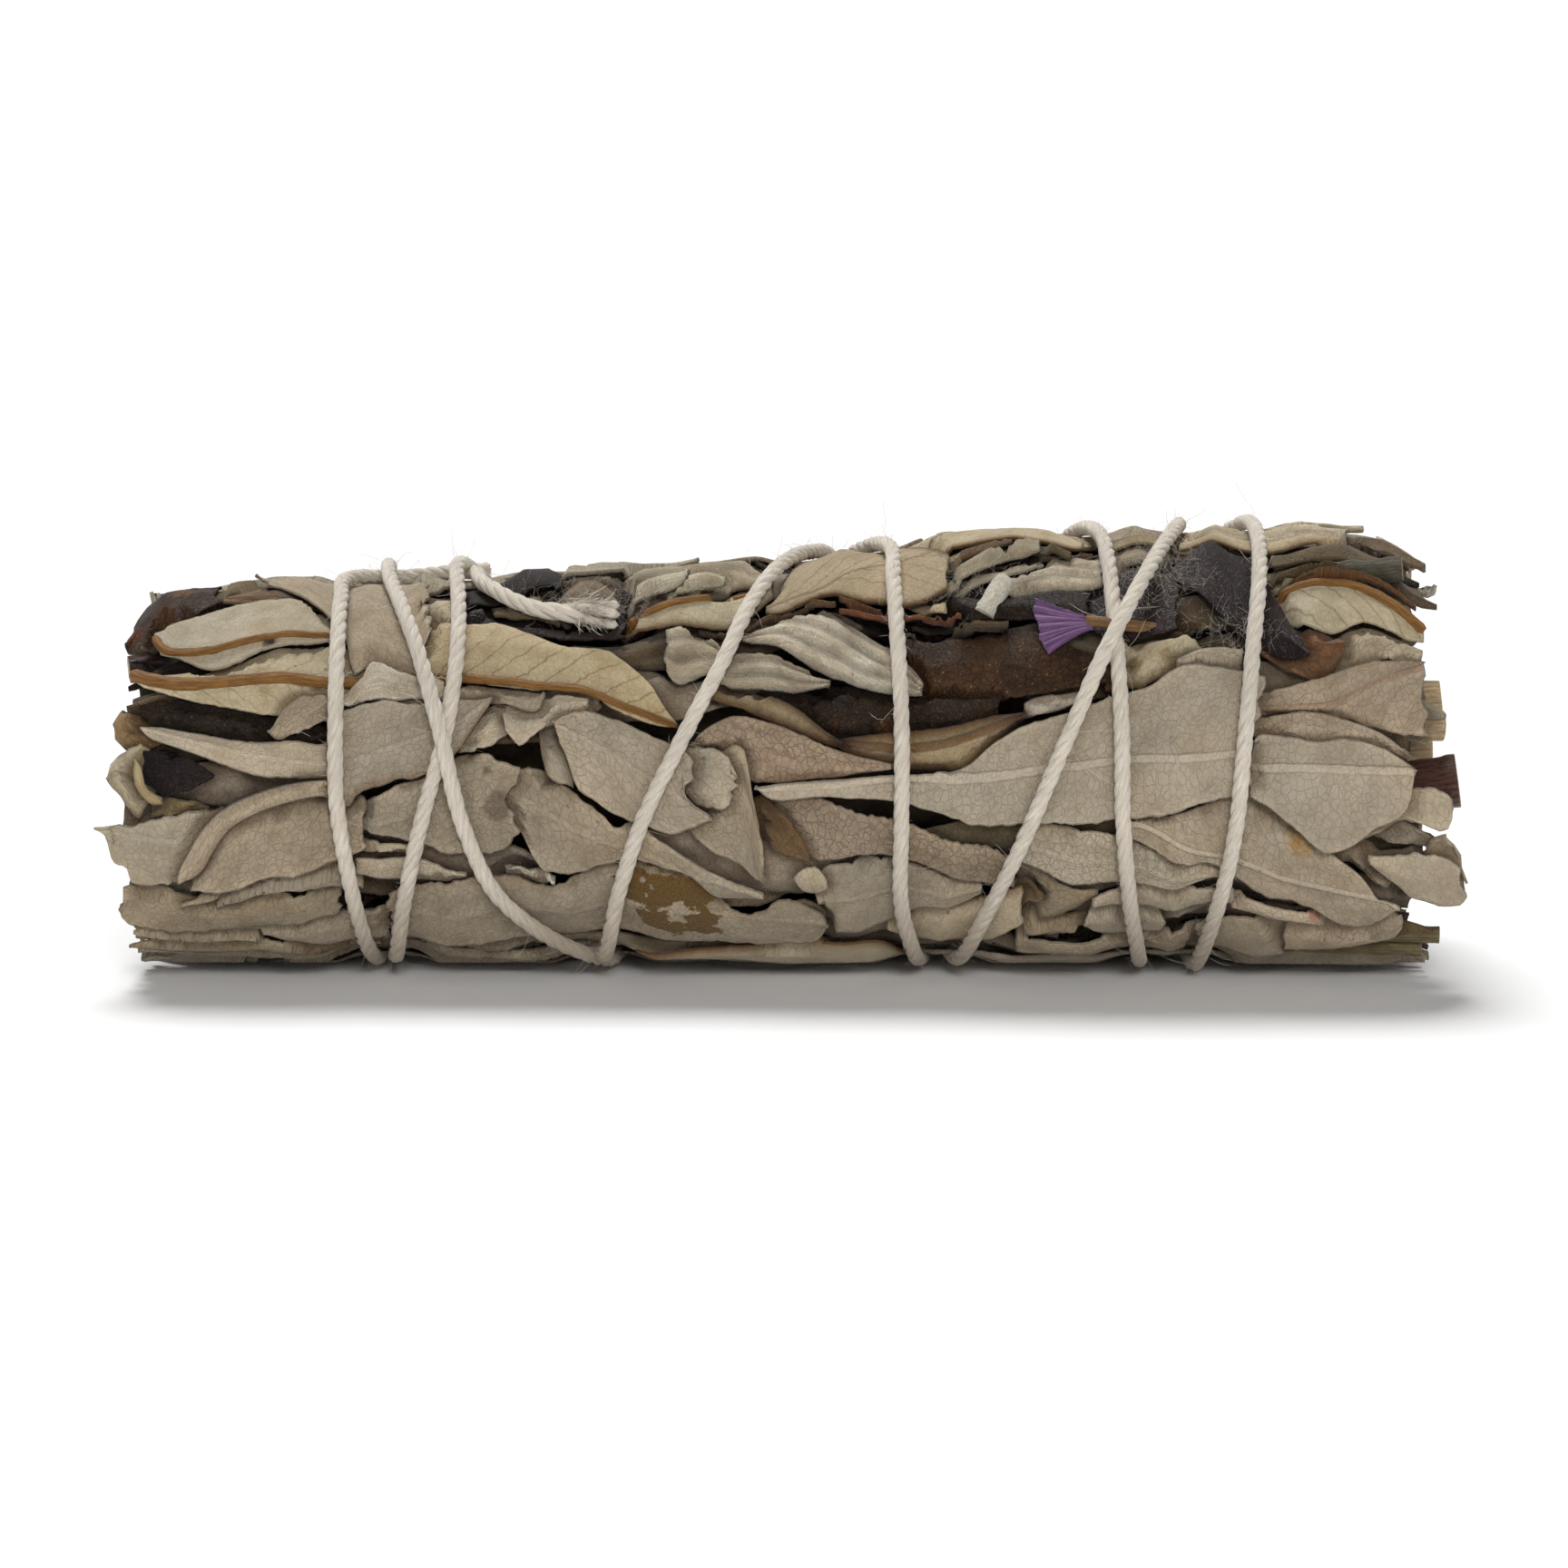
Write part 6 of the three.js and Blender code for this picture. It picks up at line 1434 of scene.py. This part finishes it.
def growBack():
    random = np.random.default_rng(11)
    for name, look, x, turn, length, width, slope in backLeaves:
        bow = 4 * random.uniform(-1, 1)
        growLeaf(turnedLeaf(name, look, x, turn, length, width, slope, bow, folds=0.3, arch=0.5), name)
    batch = {}
    kinds = ["pale"] * 6 + ["taupe"] * 6 + ["cream"] * 2 + ["tan"] * 2 + ["olive", "woolly", "dark"]
    for i in range(64):
        look = kinds[random.integers(len(kinds))]
        narrow = look in ("woolly", "tan", "dark", "olive")
        leaf = turnedLeaf(
            f"backLeaf{i}", look,
            random.uniform(-38, 38), random.uniform(94, 282), random.uniform(18, 42),
            random.uniform(3.5, 6.5) if narrow else random.uniform(6, 10.5),
            random.uniform(-0.12, 0.12), random.uniform(-12, 12), random.choice([0, 0, 0.3]),
            folds=random.uniform(0.2, 0.5), arch=random.uniform(0.2, 0.9), cell=0.45,
            topCurl=random.uniform(0, 0.5), lowCurl=random.uniform(0, 0.5),
            ribTan=1.0 if look == "cream" else 0.0,
            tint=tuple(random.uniform(0.85, 1.1) * np.array([1, 1, random.uniform(0.93, 1.03)])),
            torn=random.choice([0.03, 0.1, 0.2]),
        )
        growLeaf(leaf, deepest=5.0, batch=batch)
    addBatch("backLeaves", batch)


# Leaves that fill the gaps between the others, wherever nothing lies yet
def fillGaps():
    random = np.random.default_rng(23)
    batch = {}
    upper = ["dark", "tan", "olive", "woolly", "dark", "tan", "cream"]
    lower = ["taupe", "taupe", "pale", "tan", "taupe", "olive"]
    xs = cover["x0"] + cover["step"] * (np.arange(cover["count"]) + 0.5)
    turns = -180 + cover["turnStep"] * (np.arange(cover["turns"]) + 0.5)
    inside = np.abs(xs)[:, None] < 46
    for i in range(150):
        bare = (covered < cover["bareUnder"]) & inside
        spots = np.argwhere(bare)
        if len(spots) < 0.012 * inside.sum() * cover["turns"]:
            break
        row, col = spots[random.integers(len(spots))]
        kinds = upper if 35 < turns[col] < 200 else lower
        look = kinds[random.integers(len(kinds))]
        leaf = turnedLeaf(
            f"innerLeaf{i}", look, xs[row] + random.uniform(-4, 4), turns[col], random.uniform(14, 30),
            random.uniform(2.5, 6), random.uniform(-0.15, 0.15), random.uniform(-8, 8),
            folds=0.45, arch=random.uniform(0.3, 1.2), cell=0.45, depth=1.6, torn=0.06,
            tint=tuple(random.uniform(0.55, 0.95) * np.array([1, 0.98, random.uniform(0.88, 1.0)])),
        )
        growLeaf(leaf, batch=batch)
    print("bare cells left:", len(spots), "after", i)
    addBatch("innerLeaves", batch)


# Leaf ends packed inside one another and cut off at both ends of the bunch
def packEnds():
    value = dict(each=104, reach=(46.9, 45.7), uneven=0.8, deep=13.4, deepest=15.2)
    random = np.random.default_rng(31)
    batch = {}
    kinds = ["pale"] * 6 + ["taupe"] * 7 + ["cream"] * 3 + ["tan"] * 3 + ["olive", "dark", "woolly"]
    for side in (-1, 1):
        for i in range(value["each"]):
            depth = 0.9 + value["deep"] * (i / value["each"]) ** 1.05 + random.uniform(-0.4, 0.4)
            reach = value["reach"][side > 0] + value["uneven"] * random.uniform(-1.6, 1) - 0.1 * depth
            length = random.uniform(9, 15)
            share = 1 - min(depth, 10.5) / 14
            look = kinds[random.integers(len(kinds))]
            half = random.uniform(2.6, 6.5) / bunch["turnLength"] / share / 2
            turn = random.uniform(-180, 180)
            lean = random.uniform(-0.2, 0.2) * length / bunch["turnLength"]
            xs = sorted((side * reach, side * (reach - length)))
            ats = np.linspace(xs[0], xs[1], 5)
            middles = turn + lean * (np.linspace(0, 1, 5) if side > 0 else np.linspace(1, 0, 5))
            leaf = dict(
                name=f"endLeaf{side}{i}", look=look, turned=True, rib=list(zip(ats, middles)),
                top=list(zip(ats, middles + half * random.uniform(0.85, 1.05, 5))),
                low=list(zip(ats, middles - half * random.uniform(0.85, 1.05, 5))),
                depth=depth, puff=0.2, arch=random.uniform(-0.6, 1.4), folds=0.7, torn=0.03, cell=0.5,
                topCurl=random.uniform(-0.9, 0.9), lowCurl=random.uniform(-0.9, 0.9),
                ribTan=1.0 if look == "cream" else -0.5, ribWide=0.35,
                tint=tuple(random.uniform(0.55, 0.95) * np.array([1, 0.98, random.uniform(0.85, 0.98)])),
            )
            growLeaf(leaf, deepest=value["deepest"], batch=batch)
    addBatch("endLeaves", batch, 0.22)


growBack()
fillGaps()
packEnds()


# The inside of the bunch, coloured near black as painted shade where the gaps between leaves look in
def growCore():
    value = dict(depth=5.2, ends=39, rows=120, around=72)
    share = np.linspace(-1, 1, value["rows"] + 1)
    turn = np.linspace(0, 360, value["around"] + 1)
    share, turn = np.meshgrid(share, turn, indexing="ij")
    x = value["ends"] * np.sin(share * np.pi / 2)
    close = np.sqrt(np.clip(1 - np.abs(share) ** 14, 0, 1))
    skin = place(x, turn, value["depth"] + 0.7 * roughNoise(x * 0.3, np.abs(turn - 180) * 0.1, 3))
    axis = np.stack([x, x * 0, x * 0 + bunch["axis"]], axis=-1)
    points = axis + (skin - axis) * close[..., None]
    mesh = gridMesh("innerLeaves", points + bunch["shift"])
    across = turn * bunch["turnLength"] / 10
    mapMesh(mesh, x / 10, across, np.ones(x.shape + (3,)), leafRim=1, leafRib=0, leafRibWide=0.03)
    return addPiece("innerLeaves", mergeSeams([mesh], "innerLeaves"), looks["core"], "inner_leaves")


growCore()


# The string: four strands twisted together along its way
stringLook = dict(strands=4, strand=0.34, offset=0.25, pitch=4.7, step=0.3, sides=8, fray=3.4, lowest=0.42)


def cottonLook():
    look, tree, shader = newLook("cottonString")
    leafMap = addNode(tree, "UVMap", uv_map="leafMap").outputs[0]
    fibres = noised(tree, stretched(tree, leafMap, (6, 90, 1)), 1.0, 4, 0.7).outputs["Fac"]
    fuzz = noised(tree, leafMap, 60, 3, 0.6).outputs["Fac"]
    body = mixed(tree, ramped(tree, fibres, 0.3, 0.7), (0.58, 0.5, 0.39), (0.86, 0.79, 0.68))
    body = mixed(tree, ramped(tree, fuzz, 0.5, 0.75, 0, 0.3), body, (0.92, 0.87, 0.78))
    body = mixed(tree, 1.0, body, fact(tree, "leafPaint", "Color"), "MULTIPLY")
    feed(tree, shader.inputs["Base Color"], body)
    setRelief(tree, shader, plus(tree, fibres, times(tree, fuzz, 0.5)), 0.9, 0.00012)
    shader.inputs["Roughness"].default_value = 0.9
    shader.inputs["Specular IOR Level"].default_value = 0.2
    shader.inputs["Sheen Weight"].default_value = 0.4
    shader.inputs["Sheen Roughness"].default_value = 0.6
    return look


def windString():
    value = stringLook
    line = throughPoints(stringAt[::2], 12)
    length = np.linalg.norm(np.diff(line, axis=0), axis=1).sum()
    line = evenly(line, int(length / value["step"])) + bunch["shift"]
    side, up = frames(line)
    far = np.linspace(0, length, len(line))
    loose = 1 + 1.9 * np.exp(-((far / value["fray"]) ** 1.5))
    turned = far + value["fray"] * np.exp(-far / value["fray"])
    shade = 1 + 0.12 * roughNoise(far * 0.25, far * 0, 41)
    # painted shade: the string is darker the lower it runs, down towards the floor
    low = smoothStep(line[:, 2], 0.5, 9)
    paint = shade[:, None] * (np.array([0.62, 0.55, 0.47]) * (1 - low[:, None]) + low[:, None])
    strands = []
    for k in range(value["strands"]):
        angle = 2 * np.pi * (turned / value["pitch"] + k / value["strands"])
        angle = angle + 0.35 * roughNoise(far * 0.2, far * 0, 50 + k)
        reach = value["offset"] * loose
        strand = line + reach[:, None] * (np.cos(angle)[:, None] * side + np.sin(angle)[:, None] * up)
        strand[:, 2] = np.maximum(strand[:, 2], value["lowest"])
        thick = value["strand"] * (1 + 0.1 * roughNoise(far * 0.7, far * 0, 60 + k))
        strands.append(tube("strand", strand, thick, value["sides"], paint))
    mesh = mergeSeams(strands, "string")
    print("string length in mm:", round(float(length), 1), "faces:", len(mesh.polygons))
    return addPiece("string", mesh, looks["cotton"], "string")


looks["cotton"] = cottonLook()
windString()


# Cut stems, the flower and the woolly plug
looks["bark"] = stemLook("paleBark", (0.56, 0.44, 0.27), (0.33, 0.22, 0.11), (0.72, 0.58, 0.36))
looks["darkBark"] = stemLook("redBark", (0.13, 0.05, 0.03), (0.04, 0.016, 0.011), (0.36, 0.28, 0.13), 0.32)
looks["greenBark"] = stemLook("oliveBark", (0.22, 0.18, 0.085), (0.11, 0.085, 0.04), (0.36, 0.29, 0.15))
looks["greyBark"] = stemLook("greyBark", (0.13, 0.115, 0.075), (0.055, 0.045, 0.028), (0.3, 0.24, 0.13))


# A stem along a route in millimetres, cut at both ends
def growStem(name, route, radius, look, replaced=None, sides=22, lumpy=0.08, swell=0.0):
    count = 60
    line = evenly(throughPoints(route, 16), count)
    length = np.linalg.norm(np.diff(line, axis=0), axis=1).sum()
    ends = np.linspace(0, length, count)
    rimAt = np.array([0, 0.01, 0.02, 0.03, 0.06])
    rimWide = np.array([0, 0.35, 0.72, 0.93, 1])
    at = np.concatenate([rimAt, ends[1:-1], length - rimAt[::-1]])
    profile = np.concatenate([rimWide, np.ones(count - 2), rimWide[::-1]])
    line = np.stack([np.interp(at, ends, line[:, k]) for k in range(3)], axis=-1)
    noise = 1 + lumpy * roughNoise(at * 0.8, at * 0, 71) + swell * np.exp(-((at - length) / 1.2) ** 2)
    angle, ring = ringAround(line, sides)
    lap = 3 * np.minimum(angle, 2 * np.pi - angle)[None, :]
    rough = 1 + 0.6 * lumpy * roughNoise(at[:, None] * 0.5, lap, 77)
    points = line[:, None] + ring * (radius * profile * noise)[:, None, None] * rough[..., None]
    mesh = gridMesh(name, points + bunch["shift"])
    grid = points.shape[:2]
    cutEnd = np.broadcast_to((profile < 0.99)[:, None] * 1.0, grid)
    along, across = np.broadcast_to(at[:, None] / 10, grid), np.broadcast_to(angle * radius / 10, grid)
    mapMesh(mesh, along, across, np.ones(grid + (3,)), cutEnd=cutEnd)
    return addPiece(name, mergeSeams([mesh], name), looks[look], replaced)


def seen(a, h, depth=0.8):  # a place on the bunch where the line of sight through a seen point meets it
    x, turn = sight([(a, h)], depth)[0]
    return place(x, turn, depth)


def placeStems():
    twig = [seen(36.5, 28.2, 2.4), seen(41, 28.6, 0.7), seen(45.9, 29.0, -0.7)]
    growStem("cutTwig", twig, 0.95, "greyBark", "cut_twig", lumpy=0.2)
    pale = [(34, -9.6, 18.6), (42, -10.9, 19.8), (47.1, -11.5, 20.4)]
    growStem("paleStem", pale, 1.7, "bark", "pale_stem_end", lumpy=0.12)
    dark = [(34, -9.4, 12.6), (43, -11.2, 14.2), (48.3, -11.9, 15.0)]
    growStem("darkStem", dark, 1.75, "darkBark", "dark_stem_end", swell=0.12)
    growStem("oliveStem", [(37, -9.0, 3.8), (42, -9.8, 3.6), (47.4, -10.4, 3.5)], 0.62, "greenBark")
    growStem("oliveStemLow", [(35, -8.6, 2.6), (41, -9.2, 2.5), (46.2, -9.6, 2.4)], 0.6, "greenBark")
    growStem("leftStub", [(-38, -4, 21.6), (-44, -5.4, 22.6), (-47.6, -6.2, 22.3)], 1.05, "darkBark")
    # guessed stems deep inside, five cut off at the right and two at the left
    random = np.random.default_rng(41)
    for i in range(7):
        side = 1 if i < 5 else -1
        turn, depth = random.uniform(0, 360), random.uniform(5.5, 10.5)
        far = place(47.5, turn, depth)
        near = place(30, turn + random.uniform(-30, 30), depth + 1)
        far[0], near[0] = side * random.uniform(46.5, 48.6), side * 30
        route = [near, (near + far) / 2 + random.uniform(-0.4, 0.4, 3), far]
        radius = random.uniform(0.9, 1.7)
        growStem(f"innerStem{i}", route, radius, random.choice(["bark", "bark", "greenBark"]))
    print("stems placed")


placeStems()


def petalLook():
    look, tree, shader = newLook("purplePaper")
    leafMap = addNode(tree, "UVMap", uv_map="leafMap").outputs[0]
    streaks = noised(tree, stretched(tree, leafMap, (3, 45, 1)), 1.0, 4, 0.6).outputs["Fac"]
    body = mixed(tree, ramped(tree, streaks, 0.35, 0.7), (0.07, 0.022, 0.09), (0.21, 0.085, 0.24))
    feed(tree, shader.inputs["Base Color"], body)
    setRelief(tree, shader, streaks, 0.7, 0.00015)
    shader.inputs["Roughness"].default_value = 0.6
    shader.inputs["Sheen Weight"].default_value = 0.2
    return look


def growFlower():
    value = dict(rows=30, cols=90, pleats=5.5, deep=0.3, lift=0.6, scallop=0.07)
    throat, rimTop, rimMid, rimLow = (22.9, 25.2), (18.65, 26.5), (18.9, 24.6), (19.5, 22.65)
    u, v = np.meshgrid(np.linspace(0, 1, value["rows"]), np.linspace(0, 1, value["cols"]), indexing="ij")
    rimA = np.interp(v, [0, 0.25, 0.5, 0.75, 1], [rimLow[0], 18.95, rimMid[0], 18.45, rimTop[0]])
    rimA = rimA + value["scallop"] * np.cos(2 * np.pi * value["pleats"] * v)
    rimH = np.interp(v, [0, 0.5, 1], [rimLow[1], rimMid[1], rimTop[1]])
    neckH = throat[1] + (v - 0.5) * 0.8
    a = throat[0] + (rimA - throat[0]) * u
    h = neckH + (rimH - neckH) * u**1.25
    pairs = sight(np.stack([a.ravel(), h.ravel()], axis=-1), -0.3).reshape(u.shape + (2,))
    pleat = value["deep"] * np.abs(np.sin(np.pi * value["pleats"] * v)) * (0.3 + 0.7 * u)
    depth = 0.2 - value["lift"] * u - pleat
    mesh = gridMesh("flower", place(pairs[..., 0], pairs[..., 1], depth) + bunch["shift"])
    mapMesh(mesh, u * 0.45, v * 0.4)
    looks["violet"] = petalLook()
    addWall(addPiece("flower", mesh, looks["violet"], "flower"), 0.12)
    route = [seen(22.4, 25.15, 0.1), seen(24, 24.95, 0.0), seen(25.8, 24.75, 0.5), seen(27.9, 24.6, 0.9)]
    growStem("flowerTube", route, 0.42, "tube", "flower_tube", lumpy=0.2)
    print("flower grown")


looks["tube"] = stemLook("brownTube", (0.3, 0.17, 0.07), (0.14, 0.07, 0.03), (0.3, 0.2, 0.1))
growFlower()


def fluffLook():
    look, tree, shader = newLook("whiteWool")
    leafMap = addNode(tree, "UVMap", uv_map="leafMap").outputs[0]
    fluff = noised(tree, leafMap, 45, 4, 0.7).outputs["Fac"]
    body = mixed(tree, ramped(tree, fluff, 0.3, 0.7), (0.5, 0.43, 0.31), (0.85, 0.79, 0.65))
    feed(tree, shader.inputs["Base Color"], body)
    setRelief(tree, shader, fluff, 1.0, 0.0003)
    shader.inputs["Roughness"].default_value = 0.95
    shader.inputs["Sheen Weight"].default_value = 0.5
    return look


looks["fluff"] = fluffLook()
plugRoute = [seen(14.8, 25.5, 0.0), seen(15.5, 26.7, -0.3), seen(16.3, 28.0, -0.1)]
growStem("woollyPlug", plugRoute, 0.78, "fluff", "woolly_plug", lumpy=0.3, sides=30)


# Loose fibres: long ones and short ones on the string, and hairs on the leaves
def growFibre(random, start, way, reach, steps, radius, curl, lowest=0.1):
    bend = random.normal(0, curl, 3)
    line = [start]
    for _ in range(steps):
        way = way + bend + random.normal(0, 0.15, 3)
        way = way / np.linalg.norm(way)
        point = line[-1] + way * reach / steps
        point[2] = max(point[2], lowest)
        line.append(point)
    return tube("fibre", np.array(line) + bunch["shift"], radius, 3)


def growFuzz():
    value = dict(long=300, frayed=260, short=2600, hairs=300, radius=0.015, fine=0.011, hair=0.006, tuft=0.04)
    random = np.random.default_rng(53)
    tailWay = (stringAt[0] - stringAt[4]) / np.linalg.norm(stringAt[0] - stringAt[4])
    fibres = []
    for i in range(value["long"] + value["frayed"] + value["short"]):
        frayed, short = i < value["frayed"], i >= value["frayed"] + value["long"]
        k = random.integers(0, 3) if frayed else random.integers(2, len(stringAt) - 2)
        outward = stringAt[k] - np.array([stringAt[k][0], 0, bunch["axis"]])
        outward /= np.linalg.norm(outward)
        away = random.normal(0, 1, 3) + outward * 0.5
        away /= np.linalg.norm(away)
        ahead = stringAt[k + 1] - stringAt[k]
        start = stringAt[k] + ahead * random.random() + away * (0.45 if short else 0.3)
        ahead /= np.linalg.norm(ahead)
        way = away * (0.8 if short else 0.6) + ahead * random.uniform(-1, 1)
        reach = random.uniform(0.5, 1.3) if short else random.uniform(1.2, 4.2)
        if frayed:  # a brush at the tail instead
            start = stringAt[1] + random.normal(0, 0.35, 3) + tailWay * random.uniform(-0.8, 0.4)
            way = tailWay + random.normal(0, 0.12, 3)
            reach = random.uniform(1.2, 3.0)
        thickness = value["tuft"] if frayed else value["fine" if short else "radius"]
        steps, curl = 3 if short else 6, 0.07 if frayed else 0.25
        fibres.append(growFibre(random, start, way, reach, steps, thickness, curl))
    addPiece("stringFuzz", mergeSeams(fibres, "stringFuzz"), looks["cotton"])
    hairs = []
    for a, h, wide, high, share in hairPatches:
        count = int(value["hairs"] * share)
        spotA, spotH = a + wide * random.normal(0, 0.5, count), h + high * random.normal(0, 0.5, count)
        spots = np.stack([spotA, spotH], axis=-1)
        for x, turn in sight(spots, 0.2):
            start = place(x, turn, random.uniform(-0.35, 0.25))
            outward = place(x, turn, -1) - place(x, turn, 0)
            way = random.normal(0, 1, 3) * (1, 0.35, 1) + outward * 0.1
            hairs.append(growFibre(random, start, way, random.uniform(0.7, 2.2), 7, value["hair"], 0.55))
    addPiece("leafHairs", mergeSeams(hairs, "leafHairs"), looks["cotton"])
    print("fibres:", len(fibres), "hairs:", len(hairs))


# middle and size of each hairy patch in the view, and its share of the hairs
hairPatches = [
    (-14.5, 26.6, 5, 1.4, 0.9),
    (27.5, 28.5, 4.5, 2.6, 1.3),
    (12.5, 27.5, 5, 1.6, 0.5),
    (33, 24, 3.5, 2, 0.4),
]
growFuzz()


# Floor, light and camera
def setStage():
    bm = bmesh.new()
    rim = [bm.verts.new((0, 0, 0))]
    flat = stageLook["flat"]
    for reach in np.linspace(flat, stageLook["dish"], 15):
        rim.append(bm.verts.new((reach, 0, stageLook["slope"] * (reach - flat) ** 2)))
    edges = [bm.edges.new(pair) for pair in zip(rim, rim[1:])]
    around = dict(axis=(0, 0, 1), cent=(0, 0, 0), angle=2 * math.pi, steps=96, use_merge=True)
    bmesh.ops.spin(bm, geom=rim + edges, **around)
    bmesh.ops.remove_doubles(bm, verts=bm.verts, dist=1e-6)
    bmesh.ops.recalc_face_normals(bm, faces=bm.faces)
    mesh = bpy.data.meshes.new("floor")
    bm.to_mesh(mesh)
    bm.free()
    mesh.polygons.foreach_set("use_smooth", np.ones(len(mesh.polygons), dtype=bool))
    floor = bpy.data.objects.new("floor", mesh)
    bpy.context.collection.objects.link(floor)
    look, tree, shader = newLook("paleFloor")
    shader.inputs["Base Color"].default_value = (stageLook["floor"],) * 3 + (1,)
    shader.inputs["Roughness"].default_value = 0.9
    shader.inputs["Specular IOR Level"].default_value = 0
    mesh.materials.append(look)
    world = bpy.data.worlds.new("studio")
    world.use_nodes = True
    world.node_tree.nodes["Background"].inputs["Color"].default_value = (1, 1, 1, 1)
    world.node_tree.nodes["Background"].inputs["Strength"].default_value = stageLook["world"]
    bpy.context.scene.world = world
    for name, (at, spread) in stageLook["lamps"].items():
        lamp = bpy.data.lights.new(name, "SUN")
        lamp.angle = math.radians(spread)
        lamp.energy = stageLook[name]
        holder = bpy.data.objects.new(name, lamp)
        holder.rotation_euler = (-Vector(at)).to_track_quat("-Z", "Y").to_euler()
        bpy.context.collection.objects.link(holder)


def setCamera():
    tilt = math.radians(eye["rise"])
    aim = Vector((bunch["shift"][0], bunch["shift"][1], eye["aim"])) * 0.001
    way = Vector((0, -math.cos(tilt), math.sin(tilt)))
    lens = bpy.data.cameras.new("camera")
    lens.sensor_width = 36
    lens.lens = 36 * eye["distance"] / eye["width"]
    camera = bpy.data.objects.new("camera", lens)
    camera.location = aim + way * eye["distance"] * 0.001
    camera.rotation_euler = (-way).to_track_quat("-Z", "Y").to_euler()
    bpy.context.collection.objects.link(camera)
    bpy.context.scene.camera = camera
    print("stage and camera set")


setStage()
setCamera()
